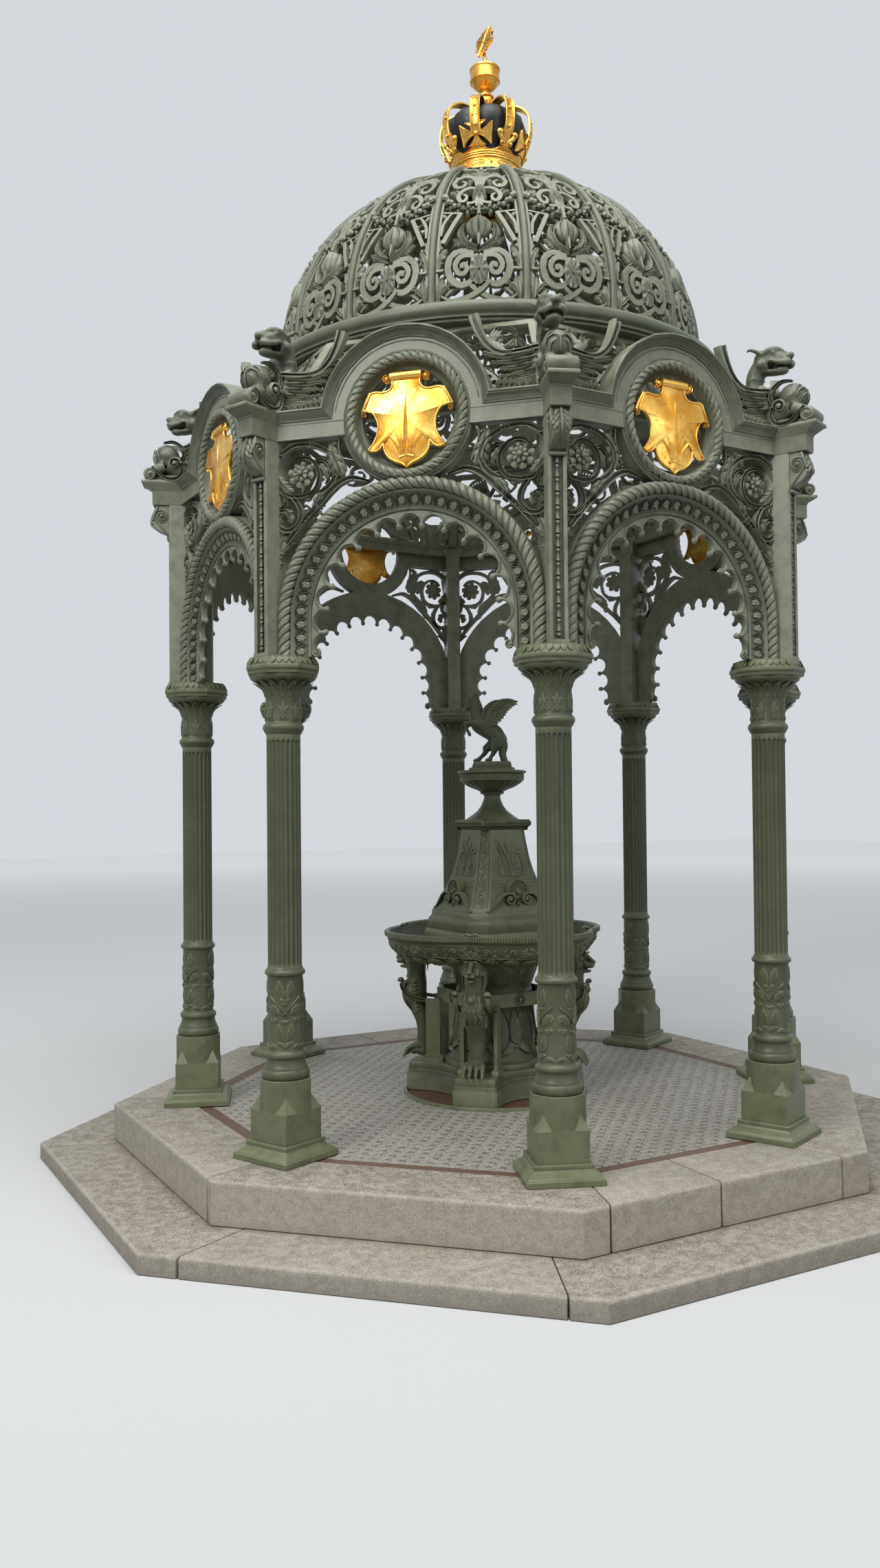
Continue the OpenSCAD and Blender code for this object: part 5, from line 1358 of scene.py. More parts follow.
# %% Lower stem, lower spiral and bottom leaf
band(half, mm(165, 2738, 200, 2750, 240, 2757, 285, 2742, 325, 2712, 360, 2678, 400, 2638,
    450, 2590, 500, 2532, 515, 2510), [0.006, 0.01, 0.013, 0.014, 0.015, 0.013, 0.012, 0.012,
    0.009], 0.024, count=48, **STEM)
for k in range(5):
    x = 0.425 + 0.013 * k
    ball(half, (x, 2.614 - 0.0135 * k - 0.002 * k, BACK + 0.014), 0.0046, steps=8, rows=5)
leaf(half, mm(352, 2712, 378, 2690, 395, 2655, 398, 2625), 0.02, 0.022, lobes=4, base=BACK,
    cut=0.2)
leaf(half, mm(340, 2722, 358, 2702, 372, 2676, 384, 2650), 0.013, 0.026, lobes=3, base=BACK,
    cut=0.2)
for k in range(3):
    x, y = 0.398 + 0.006 * k, 2.634 - 0.006 * k
    band(half, [(x - 0.014, y - 0.01), (x + 0.012, y + 0.014)], 0.0024, 0.026, base=BACK,
         section=SLIM_BAND, count=4)
band(half, mm(492, 2700, 468, 2668, 455, 2632, 460, 2594, 488, 2567, 525, 2562, 554, 2582,
    563, 2614, 550, 2640, 522, 2644, 503, 2626), [0.009, 0.012, 0.012, 0.011, 0.01, 0.007], 0.024,
    count=56, **STEM)
wire(half, mm(522, 2642, 540, 2628, 546, 2610, 536, 2598), [0.006, 0.004], 0.02, count=14,
    base=BACK)
leaf(half, mm(538, 2648, 512, 2636, 490, 2640), 0.016, 0.02, lobes=2, base=BACK, cut=0.3)
leaf(half, mm(520, 2640, 505, 2618, 512, 2594), 0.018, 0.02, lobes=3, base=BACK, cut=0.3)
wire(half, mm(533, 2545, 546, 2562, 562, 2560, 563, 2548), [0.005, 0.006], 0.018, count=12,
    base=BACK)
leaf(half, mm(560, 2440, 552, 2480, 538, 2520, 520, 2552), 0.023, 0.022, lobes=3, base=BACK,
    cut=0.3)
leaf(half, mm(556, 2452, 535, 2482, 506, 2505, 480, 2508), 0.015, 0.02, lobes=3, base=BACK,
    cut=0.25)
leaf(half, mm(556, 2440, 546, 2462, 530, 2478), 0.012, 0.024, lobes=2, base=BACK)
for k in range(4):
    y = 2.428 - 0.014 * k
    wire(half, [(0.541 + 0.004 * k, y), (0.573, y + 0.004)], 0.0052, 0.021, base=BACK, count=6)
band(half, mm(558, 2376, 563, 2340, 569, 2300), [0.011, 0.008, 0.003], 0.016, base=BACK,
    section=FLAT_BAND, count=8)
band(half, [(0.5885, SPRING + 0.002), (0.5885, 2.3), (0.5885, 2.6), (0.5885, 2.934)], 0.0175,
     0.034, base=0.024, section=FLAT_BAND, count=8)
band(half, [(0.571, SPRING + 0.002), (0.571, 2.5), (0.571, 2.934)], 0.004, 0.026, base=0.026,
     section=FLAT_BAND, count=6)
scrolls = mirrored(staggered(half))
print("both spandrels", scrolls.triangles(), "triangles")

# %% Field, medallion ring and rim moulding
head = Casting()
FIELD_BACK, FIELD_FRONT = 0.022, 0.074
field_top = arc((0, MEDALLION_Z), 0.316, 3.4, 176.6, 40)
outline = [(0.6, BAND_Z), (0.6, RIM_Z + 0.003), *[tuple(p) for p in field_top],
           (-0.6, RIM_Z + 0.003), (-0.6, BAND_Z)]
hole_low = math.degrees(math.asin((BAND_Z - MEDALLION_Z) / 0.25))
lower = [tuple(p) for p in arc((0, MEDALLION_Z), 0.25, 180 - hole_low, hole_low, 40)]
plate(head, outline + lower, FIELD_BACK, FIELD_FRONT)
for y, high, wide in ((BAND_Z + 0.001, 0.0055, 0.0045), (BAND_Z + 0.0605, 0.0035, 0.003)):
    for side in (-1, 1):
        wire(head, [(side * 0.262, y), (side * 0.43, y), (side * 0.6, y)], wide, high,
            base=FIELD_FRONT - 0.001, count=5)
wire(head, arc((0, MEDALLION_Z), 0.3, 8, 172, 40), 0.003, 0.0035, base=FIELD_FRONT - 0.001,
    count=48)
medal = Casting()
turned(medal, mm(190, 14, 190, 40, 193, 44, 199, 45.5, 205, 49, 210, 57, 213, 66, 216, 72.5,
    221, 74, 226, 66, 235, 58, 246, 64, 250, 76, 256, 79, 262, 77, 265, 71, 272, 69, 274, 64,
    274, 14), 96, closed=True)
head.join(medal, lambda p: p + [0, MEDALLION_Z, 0])
head.join(ring_rope, lambda p: p + [0, 0, 0.074])
CREST = 0.313
meet = math.degrees(math.asin((RIM_Z - MEDALLION_Z) / CREST))
foot_x = CREST * math.cos(math.radians(meet))
rim_path = [(-0.6, RIM_Z), (-0.5, RIM_Z), *[tuple(p) for p in arc(
    (0, MEDALLION_Z), CREST, 180 - meet, meet, 64)], (0.5, RIM_Z), (0.6, RIM_Z)]
moulding(head, rim_path, mm(0, 14, 0, 77, 2.5, 80, 7, 80.5, 9, 84, 15, 87, 21, 93, 25.5, 101,
    28.5, 104, 32, 105, 33, 108.5, 36, 110.5, 40.5, 109.5, 42, 106, 42, 14))
print("field, ring and rim", head.triangles(), "triangles")

# %% Eight arches from one pattern
arch = Casting().join(ring)
arch.join(arch_rope, lambda p: p + [0, 0, ROPE_OUT])
arch.join(leaf_row, lambda p: p + [0, 0, 0.0475])
arch.join(cusps)
arch.join(scrolls)
arch.join(head)
shelf = Casting()
plate(shelf, [(-0.585, RIM_Z + 0.002), (0.585, RIM_Z + 0.002), (0.585, TOP_Z - 0.001),
              (-0.585, TOP_Z - 0.001)], -0.024, 0.016)
arch.join(shelf)
arch = thinned(arch, 0.31)
make_eight("arch_casting", arch, lambda k: on_side(face_angle(k)), grey_paint,
           "arch")
# %% [markdown]
# A gilded shield stands in each medallion like a scroll of parchment: its top edge is rolled,
# its ears curl back and its foot is an ogee. It is a cushion of scaled outlines with a raised
# rim. The real shields carry a sculptor's relief, which is left out, and a plain spray of reed
# leaves takes its place.

# %% Gilded shields
OUTLINE_RUNS = [
    ([(0, 0.168), (0.03, 0.168), (0.056, 0.166)], 5),
    ([(0.058, 0.15), (0.061, 0.126), (0.076, 0.109), (0.102, 0.104), (0.13, 0.108),
      (0.15, 0.106)], 14),
    ([(0.157, 0.1), (0.172, 0.068), (0.186, 0.036)], 7),
    ([(0.184, 0.032), (0.165, 0.034), (0.143, 0.02), (0.128, -0.008), (0.122, -0.035),
      (0.126, -0.067), (0.14, -0.1), (0.163, -0.128)], 20),
    ([(0.16, -0.132), (0.148, -0.137), (0.13, -0.136), (0.112, -0.124), (0.1, -0.103)], 8),
    ([(0.098, -0.11), (0.097, -0.13), (0.09, -0.15), (0.076, -0.168), (0.052, -0.184),
      (0.028, -0.193), (0.011, -0.203), (0, -0.214)], 16)]
right_edge = np.concatenate([smooth_line(points, n) for points, n in OUTLINE_RUNS])
shield_edge = np.concatenate([right_edge, (right_edge * [-1, 1])[-2:0:-1]])
CENTRE = np.array([0, -0.01])


def shield_ring(share, height):
    flat = CENTRE + (shield_edge - CENTRE) * share
    return np.column_stack([flat, np.full(len(flat), height)])


shield = Casting()
rings = [shield_ring(s, h) for s, h in (
    (0.97, 0.0), (1.0, 0.002), (1.0, 0.009), (0.985, 0.011), (0.93, 0.012), (0.8, 0.016),
    (0.6, 0.02), (0.35, 0.023), (0.12, 0.024))]
loft(shield, rings)
wire(shield, CENTRE + (shield_edge - CENTRE) * 0.965, 0.005, 0.0075, base=0.0095,
    count=len(shield_edge), closed=True)
tube(shield, mm3(-64, 160, 10, 0, 160, 12, 64, 160, 10), 0.0175, sides=16, count=5)
for side in (-1, 1):
    wire(shield, spiral((side * 0.081, 0.152), 0.0175, 0.004, 90, side * -1.6, 26), 0.0038, 0.02,
        count=30)
    ball(shield, (side * 0.081, 0.152, 0.016), 0.008, steps=10, rows=6)
    ball(shield, (side * 0.081, 0.152, 0.006), 0.0185, flat=0.5, steps=18, rows=7)
    tube(shield, mm3(152, 104, 4, 170, 70, 1, 186, 34, -2) * [side, 1, 1], [0.009, 0.01, 0.01],
        sides=10, count=8)
    wire(shield, spiral((side * 0.179, 0.022), 0.013, 0.003, 60, side * -1.3, 18), 0.0034, 0.014,
        base=-0.004, count=20)
    for k, (x, y, bend) in enumerate([(0.018, 0.075, 0.004), (0.042, 0.04, 0.012),
                                      (0.06, -0.005, 0.016), (0.07, -0.06, 0.012)]):
        foot_x = side * (0.006 + 0.006 * k)
        blade(shield, [(foot_x, -0.165 + 0.004 * k), (side * (x * 0.55), (y - 0.165) / 2),
            (side * (x + bend), y)], 0.0075, 0.0065, base=0.0165, across=7, fine=10)
blade(shield, mm(0, -165, 0, -50, 0, 95), 0.009, 0.008, base=0.0195, across=7, fine=10)
wire(shield, mm(-30, -166, 0, -158, 30, -166), 0.006, 0.008, base=0.012, count=8)
shield = thinned(shield, 0.5)
gilded = Casting()
for k in range(1, SIDES + 1):
    place = on_side(face_angle(k))
    gilded.join(shield, lambda p, place=place: place(p + [0, MEDALLION_Z, 0.058]))
make_piece("gilded_shields", gilded, gold_leaf, ["shields"])
print("eight shields,", gilded.triangles(), "triangles")
# %% [markdown]
# At each corner a slim pier covers the joint of two arch castings: a sunk face with a chain of
# beads and drops, an acanthus console between two volutes, a block and a cap. The face is one
# extruded plan. The chain repeats by nodes, and the console leaf is drawn flat and bent over
# the bracket's profile.

# %% Pier face and bead chain
pier = Casting()
CHAIN_LOW, CONSOLE_LOW = SPRING + 0.02, 2.778
plan = mm(-80, -38, 118, -38, 125.5, -36.5, 128, -34, 128, -26.5, 125.5, -24, 124, -21.5,
    116, -20.5, 113, -19, 113, 19, 116, 20.5, 124, 21.5, 125.5, 24, 128, 26.5, 128, 34,
    125.5, 36.5, 118, 38, -80, 38)
loft(pier, [np.column_stack([plan, np.full(len(plan), z)])
            for z in (SPRING + 0.001, SPRING + 0.008, 2.4, BAND_Z - 0.004, BAND_Z + 0.004)])
foot_plan = mm(0, -41, 126, -41, 131, -36, 131, 36, 126, 41, 0, 41)
loft(pier, [np.column_stack([foot_plan, np.full(len(foot_plan), z)])
            for z in (SPRING + 0.0005, SPRING + 0.012, SPRING + 0.013)])
link = Casting()
ball(link, (0, 0, 0), 0.0088, steps=12, rows=8)
drop = Casting()
turned(drop, mm(0, 10, 6, 10.5, 9.2, 13, 9.4, 15.5, 8, 18.5, 8.6, 20, 8, 25, 5, 34, 3, 42,
    3.6, 46.5, 0, 48), 12)
link.join(drop, lambda p: p[:, [2, 1, 0]])
link_object = as_object("bead_and_drop", link)
LINKS = 13
chain = run_tree(repeat_tree, [(0, CHAIN_LOW + 0.012), (0, 2.4), (0, CONSOLE_LOW - 0.058)],
                 Ornament=link_object, Count=LINKS)
bpy.data.objects.remove(link_object)


def pier_front(p):
    """Flat work on the pier's face, relief measured from the column's axis."""
    return np.stack([p[:, 2], p[:, 0], p[:, 1]], -1)


def pier_cheek(side):
    """Flat work on the pier's cheek: x outwards, y up."""
    return lambda p: np.stack([p[:, 0], side * p[:, 2], p[:, 1]], -1)


pier.join(chain, lambda p: pier_front(p + [0, 0, 0.1165]))
print("pier face and", LINKS, "links:", pier.triangles(), "triangles")

# %% Console, block and cap
console_y = [2.765, 2.778, 2.79, 2.802, 2.818, 2.84, 2.87, 2.9, 2.935]
console_x = [0.122, 0.128, 0.15, 0.178, 0.196, 0.204, 0.199, 0.187, 0.178]
profile = smooth_line(list(zip(console_x, console_y)), 26)
body = Casting()
plate(body, [(0.0, 2.765), *[tuple(p) for p in profile], (0.0, 2.935)], -0.031, 0.031)
pier.join(body, pier_cheek(1))


def over_console(p):
    x = np.interp(p[:, 1], profile[:, 1], profile[:, 0])
    return pier_front(np.stack([p[:, 0], p[:, 1], x + p[:, 2]], -1))


acanthus = Casting()
leaf(acanthus, mm(0, 2936, 0, 2880, 0, 2830, 0, 2795), 0.037, 0.014, lobes=6, base=-0.003,
    cut=0.3, across=13, fine=6)
for side in (-1, 1):
    for y in (2.915, 2.89, 2.865):
        blade(acanthus, [(side * 0.003, y), (side * 0.016, y - 0.012), (side * 0.026, y - 0.032)],
            0.0075, 0.008, base=0.006, across=7, fine=6)
    leaf(acanthus, mm(34, 2925, 35, 2885, 30, 2850) * [side, 1], 0.01, 0.01, lobes=2, base=-0.002,
        cut=0.2)
blade(acanthus, mm(0, 2925, 0, 2870, 0, 2810), 0.007, 0.01, base=0.01, across=5, fine=9)
pier.join(acanthus, over_console)
cheek = Casting()
for turn, start, end in ((2.2, 0.0345, 0.006),):
    wire(cheek, spiral((0.163, 2.872), start, end, -60, turn, 50), [0.005, 0.0045, 0.0035], 0.01,
        base=0.031, count=60)
wire(cheek, mm(180, 2842, 160, 2815, 140, 2790, 126, 2765, 122, 2730), [0.005, 0.005, 0.004],
    0.009, base=0.03, count=18)
turned(cheek, mm(0, 28, 34, 28, 34, 34, 31, 36, 0, 36), 32)
cheek.points[-1] = cheek.points[-1] + [0.163, 2.872, 0]
ball(cheek, (0.163, 2.872, 0.04), 0.0085, steps=12, rows=6)
for side in (-1, 1):
    pier.join(cheek, pier_cheek(side))
    shelf = Casting()
    plate(shelf, mm(100, 2758, 136, 2758, 140, 2762, 140, 2768, 100, 2768), 0.0, 0.034)
    pier.join(shelf, pier_cheek(side))


def box_plan(front, half, chamfer=0.0015):
    return np.array([(-0.06, -half), (front - chamfer - 0.006, -half), (front - chamfer, -half),
                     (front, -half + chamfer), (front, -half + chamfer + 0.006),
                     (front, half - chamfer - 0.006), (front, half - chamfer),
                     (front - chamfer, half), (front - chamfer - 0.006, half), (-0.06, half)])


loft(pier, [np.column_stack([box_plan(front, half), np.full(10, z)]) for front, half,
    z in ((0.198, 0.034, 2.924), (0.204, 0.0395, 2.9265), (0.206, 0.0415, 2.932),
    (0.206, 0.0415, 2.938), (0.206, 0.0415, 2.992), (0.207, 0.0425, 2.9965),
    (0.2085, 0.044, 2.998), (0.21, 0.045, 3.004), (0.218, 0.049, 3.01), (0.23, 0.054, 3.018),
    (0.24, 0.0575, 3.026), (0.248, 0.059, 3.029), (0.255, 0.06, 3.03), (0.257, 0.061, 3.033),
    (0.257, 0.061, 3.042), (0.255, 0.0595, 3.045))])
pier = thinned(pier, 0.5)
make_eight("pier_casting", pier, lambda k: standing_at(corner_angle(k)), grey_paint,
           "pier")
# %% [markdown]
# A winged beast sits on every cap, its neck arched and its mouth open, with its wings laid along
# the two rims beside it. The body is gathered from limbs and balls, and a voxel Remesh melts
# them into one skin, as clay is smoothed before casting. The wings, scrolls and rolled paws stay
# crisp bands and leaves, because a remesh would blur their edges.

# %% Beast
clay = Casting()
tube(clay, mm3(60, 0, 50, 12, 0, 100, -22, 0, 155, -38, 0, 210, -30, 0, 262, 2, 0, 305), [0.054,
    0.05, 0.045, 0.043, 0.044, 0.044], [0.055, 0.046, 0.038, 0.035, 0.038, 0.04], sides=18,
    count=26)
for x, z, r in ((-0.036, 0.2, 0.045), (-0.033, 0.238, 0.0455), (-0.026, 0.165, 0.046)):
    collar = Casting()
    turned(collar, [(r * 0.7, -0.004), (r, -0.003), (r + 0.002, 0.001), (r * 0.7, 0.004)], 24,
           closed=True)
    clay.join(collar, lambda p, x=x, z=z: p * [0.86, 1, 1] + [x, 0, z])
ball(clay, (0.012, 0, 0.318), 0.05, flat=0.98, steps=20, rows=12)
tube(clay, mm3(10, 0, 322, 50, 0, 324, 92, 0, 312, 118, 0, 300), [0.046, 0.046, 0.042, 0.034],
    [0.04, 0.03, 0.026, 0.021], sides=18, count=16)
tube(clay, mm3(116, -20, 316, 130, 0, 320, 116, 20, 316), [0.011, 0.014, 0.011], sides=12,
    count=8)
tube(clay, mm3(0, 0, 278, 40, 0, 262, 78, 0, 258), [0.04, 0.036, 0.032], [0.022, 0.013, 0.013],
    sides=16, count=12)
ball(clay, (0.086, 0, 0.26), 0.032, flat=0.55, steps=16, rows=9)
for side in (-1, 1):
    tube(clay, mm3(130, 14, 292, 116, 34, 284, 80, 44, 290, 52, 47, 302, 34, 45, 290,
        36, 38, 272) * [1, side, 1], [0.012, 0.013, 0.011, 0.009, 0.009, 0.008], sides=10,
        count=24)
    tube(clay, mm3(100, 12, 338, 72, 30, 350, 40, 44, 346, 15, 47, 328) * [1, side, 1], [0.009,
        0.013, 0.012, 0.008], sides=10, count=14)
    ball(clay, (0.066, side * 0.041, 0.332), 0.0105, steps=12, rows=7)
    tube(clay, mm3(10, 46, 335, -12, 55, 352, -38, 54, 362, -52, 48, 356) * [1, side, 1], [0.014,
        0.017, 0.012, 0.004], [0.01, 0.008, 0.006, 0.002], sides=10, count=14)
    ball(clay, (0.01, side * 0.04, 0.295), 0.022, steps=12, rows=8)
    tube(clay, mm3(20, 52, 190, 12, 56, 150, 30, 50, 80) * [1, side, 1], [0.02, 0.026, 0.024],
        sides=12, count=10)
tube(clay, mm3(20, 0, 30, 45, 0, 50, 80, 0, 75, 130, 0, 90), [0.046, 0.054, 0.056, 0.05], [0.03,
    0.055, 0.06, 0.05], sides=16, count=14)
chest = Casting()


def chest_folds(angle, radius, height):
    return radius * (1 - 0.09 * np.abs(np.sin(4 * angle)) ** 6)


t = np.linspace(-math.pi / 2, math.pi / 2, 14)
turned(chest, np.stack([np.cos(t), np.sin(t)], -1), 48, chest_folds)
tip_c, tip_s = math.cos(1.15), math.sin(1.15)
clay.join(chest, lambda p: np.stack([
    0.138 + 0.064 * p[:, 0] * tip_c + 0.06 * p[:, 2] * tip_s, 0.061 * p[:, 1],
    0.13 - 0.064 * p[:, 0] * tip_s + 0.06 * p[:, 2] * tip_c], -1))
for side in (-1, 1):
    tube(clay, mm3(150, 30, 75, 185, 35, 60, 215, 35, 45) * [1, side, 1], [0.03, 0.026, 0.024],
        sides=12, count=8)
    ball(clay, (0.0, side * 0.052, 0.16), 0.024, steps=14, rows=9)
skin = melted(clay, 0.0045, 0.42)
print("skin of a beast:", skin.triangles(), "triangles")

# %% Scrolls, rolled paws and saddle
beast = Casting().join(skin)
roll = Casting()
turned(roll, mm(0, -61, 26, -61, 31, -56, 32, 0, 31, 56, 26, 61, 0, 61), 24)
beast.join(roll, lambda p: p[:, [0, 2, 1]] + [0.216, 0, 0.036])
for side in (-1, 1):
    curl = Casting()
    wire(curl, spiral((0.216, 0.036), 0.029, 0.004, -90, -1.8, 34), [0.0042, 0.003], 0.007,
        base=0.058, count=36)
    ball(curl, (0.216, 0.036, 0.06), 0.008, steps=10, rows=6)
    band(curl, mm(206, 70, 176, 40, 145, 16, 108, 8, 74, 20, 60, 52, 68, 86), [0.004, 0.008, 0.01,
        0.01, 0.007], 0.022, base=0.044, section=HOLLOW_BAND, count=30)
    wire(curl, spiral((0.097, 0.086), 0.032, 0.006, 180, -1.7, 40), [0.009, 0.006, 0.004], 0.026,
        base=0.044, count=44)
    ball(curl, (0.097, 0.086, 0.068), 0.011, steps=12, rows=7)
    turned(curl, mm(0, 20, 33, 20, 33, 48, 28, 54, 0, 54), 24)
    curl.points[-1] = curl.points[-1] + [0.097, 0.086, 0]
    band(curl, mm(150, 190, 105, 196, 68, 176, 52, 142, 60, 108), [0.004, 0.007, 0.009, 0.008],
        0.02, base=0.034, section=HOLLOW_BAND, count=26)
    beast.join(curl, pier_cheek(side))
saddle = Casting()
plate(saddle, mm(12, 0, 205, 0, 205, 20, 160, 30, 30, 40, 12, 20), -0.04, 0.04)
beast.join(saddle, pier_cheek(1))


def egg_line(points, thick):
    """A ridge on the front of the chest, from points given as (side, height)."""
    line = smooth_line(points, 16)
    rise = 1 - (line[:, 0] / 0.063) ** 2 - ((line[:, 1] - 0.13) / 0.063) ** 2
    x = 0.138 + 0.066 * np.sqrt(np.clip(rise, 0.02, None))
    tube(beast, np.column_stack([x, line]), along([0.4, 1, 0.4], 5) * thick, sides=7, count=16)


egg_line([(-0.055, 0.118), (-0.046, 0.146), (-0.022, 0.158), (0, 0.146)], 0.0046)
egg_line([(0.055, 0.118), (0.046, 0.146), (0.022, 0.158), (0, 0.146)], 0.0046)
egg_line([(0, 0.15), (0, 0.12), (0, 0.086)], 0.004)
for side in (-1, 1):
    egg_line([(side * 0.01, 0.14), (side * 0.034, 0.122), (side * 0.036, 0.09)], 0.0036)
    egg_line([(side * 0.018, 0.176), (side * 0.04, 0.166), (side * 0.052, 0.148)], 0.0036)
print("beast", beast.triangles(), "triangles")

# %% Wing along the rim
wing = Casting()
WING_BACK = 0.03
band(wing, mm(556, 3206, 520, 3205, 470, 3198, 415, 3194, 366, 3206, 328, 3238, 300, 3284,
    282, 3330, 274, 3358), [0.013, 0.01, 0.011, 0.013, 0.016, 0.019, 0.022], 0.04, base=WING_BACK,
    section=[(-1, 0), (-1, 0.75), (-0.7, 0.98), (-0.45, 1), (-0.3, 0.7), (0.1, 0.7), (0.25, 0.9),
    (0.8, 0.85), (1, 0.6), (1, 0)], count=44)
ball(wing, (0.556, 3.206, WING_BACK + 0.022), 0.024, steps=14, rows=9)
QUILL = [(-1, 0), (-1, 0.55), (-0.55, 0.9), (-0.12, 1), (0, 0.78), (0.12, 1), (0.55, 0.9),
         (1, 0.55), (1, 0)]
for start, middle, tip, half_w, high in [
        ((0.44, 3.19), (0.35, 3.212), (0.3, 3.262), 0.015, 0.03),
        ((0.52, 3.19), (0.4, 3.18), (0.312, 3.208), 0.016, 0.036),
        ((0.53, 3.17), (0.43, 3.158), (0.345, 3.168), 0.015, 0.032),
        ((0.535, 3.15), (0.45, 3.136), (0.378, 3.14), 0.014, 0.028),
        ((0.54, 3.13), (0.48, 3.116), (0.42, 3.116), 0.013, 0.025)]:
    band(wing, [start, middle, tip], [half_w * 0.6, half_w, half_w, half_w * 0.35], high,
         base=WING_BACK, section=QUILL, count=18)
    line = smooth_line([start, middle, tip], 21)
    for k in (13, 16, 19):
        tooth = line[k] + [-0.02, -0.016]
        wire(wing, [line[k - 4], (line[k] + tooth) / 2, tooth], [half_w * 0.7, half_w * 0.55,
            half_w * 0.12], high * 0.92, base=WING_BACK, count=8)
    wire(wing, [line[1], line[7] + [0, 0.004], line[11] + [0, 0.004]], [half_w * 0.4,
        half_w * 0.6, half_w * 0.2], high + 0.008, base=WING_BACK, count=10)
for k in range(8):
    a = math.radians(176 + 13 * k)
    reach = 0.19 - 0.017 * k
    end = np.array([0.56 + reach * math.cos(a), 3.106 + 0.42 * reach * math.sin(a)])
    band(wing, [(0.565, 3.11 - 0.003 * k), (0.5625 + 0.5 * (end[0] - 0.5625), 3.106
                 + 0.5 * (end[1] - 3.106)), end], [0.005, 0.01, 0.0085], 0.018,
         base=WING_BACK, section=QUILL, count=8)
for k in range(9):
    x = 0.552 - 0.023 * k
    leaf(wing, [(x + 0.01, 3.088 + 0.003 * k), (x, 3.07), (x - 0.008, 3.05)], 0.015, 0.022,
         lobes=2, base=WING_BACK, cut=0.3, across=7)
plate(wing, mm(575, 3050, 575, 3170, 500, 3160, 420, 3145, 380, 3150, 375, 3100, 385, 3056),
    0.016, WING_BACK + 0.008)
both = mirrored(staggered(wing))
beasts, wings = Casting(), Casting()
beast, both = thinned(beast, 0.38), thinned(both, 0.42)
for k in range(1, SIDES + 1):
    beasts.join(beast, standing_at(corner_angle(k), COLUMN_R, PLATFORM + TOP_Z - 0.002))
    wings.join(both, on_side(face_angle(k)))
make_piece("griffin_bodies", beasts, grey_paint, ["griffins"], sharp=50)
make_piece("griffin_wings", wings, grey_paint, ["griffins"])
print("griffins", beasts.triangles() + wings.triangles(), "triangles")
# %% [markdown]
# Above the arches eight pierced panels lean inwards and carry a large roll, on which sixteen
# ribs and sixteen scrolled panels make the dome. The panel is drawn once on a flat board, x in
# shares of half a bay and y in degrees up the dome, and is then bent over an ellipsoid: the
# sideways size shrinks with the cosine of the height by itself, as in the real castings.

# %% Places on the frieze and the dome
RING_Z = TOP_Z + 0.474
RING_R, ROLL_R = 1.14, 0.033
FOOT_OUT, HEAD_OUT = APOTHEM + 0.008, RING_R - ROLL_R * 1.2
RISE = RING_Z - ROLL_R * 1.9 - TOP_Z
SLOPE = math.hypot(FOOT_OUT - HEAD_OUT, RISE)
DOME_A, DOME_B, DOME_Z = 1.041, 0.912, RING_Z + 0.125
HALF_PANEL = DOME_A * math.pi / 16
rise_angle = np.radians(np.linspace(-8, 84, 185))
meridian = np.concatenate([[0], np.cumsum(np.hypot(np.diff(DOME_A * np.cos(rise_angle)),
                                                   np.diff(DOME_B * np.sin(rise_angle))))])


def on_frieze(angle):
    """Lays flat work on a leaning panel: x to the right, y in shares of its slope."""
    out = np.array([math.cos(angle), math.sin(angle), 0])
    right = np.array([-math.sin(angle), math.cos(angle), 0])
    up = np.array([0, 0, 1.0])
    lean_c, lean_s = RISE / SLOPE, (FOOT_OUT - HEAD_OUT) / SLOPE

    def place(p):
        far = FOOT_OUT - p[:, 1:2] * lean_s + p[:, 2:3] * lean_c
        high = PLATFORM + TOP_Z + p[:, 1:2] * lean_c + p[:, 2:3] * lean_s
        return far * out + p[:, 0:1] * right + high * up
    return place


def dome_board(*points):
    """Turns (share of half a bay, degrees up) into metres on the flat board."""
    p = np.asarray(points, float)
    return np.column_stack([p[:, 0] * HALF_PANEL,
                            np.interp(np.radians(p[:, 1]), rise_angle, meridian)])


def on_dome(angle):
    """Bends flat work over the dome round the vertical line at that angle."""
    def place(p):
        t = np.interp(p[:, 1], meridian, rise_angle)
        tilt = np.arctan2(np.sin(t) / DOME_B, np.cos(t) / DOME_A)
        r = DOME_A * np.cos(t) + p[:, 2] * np.cos(tilt)
        z = PLATFORM + DOME_Z + DOME_B * np.sin(t) + p[:, 2] * np.sin(tilt)
        a = angle + p[:, 0] / DOME_A
        return np.stack([r * np.cos(a), r * np.sin(a), z], -1)
    return place


print("leaning panel %.3f m up its slope, dome %.3f m round its curve" % (SLOPE, meridian[-1]))

# %% Leaning panel of the frieze
side = Casting()
BACK = -0.022
FLAT = dict(base=BACK, section=FLAT_BAND)


def slope_points(*points):
    """Points given as (metres across, share of the slope)."""
    p = np.asarray(points, float)
    return np.column_stack([p[:, 0], p[:, 1] * SLOPE])


def frieze_edge(v):
    return (FOOT_OUT + (HEAD_OUT - FOOT_OUT) * v) * math.tan(HALF_BAY)


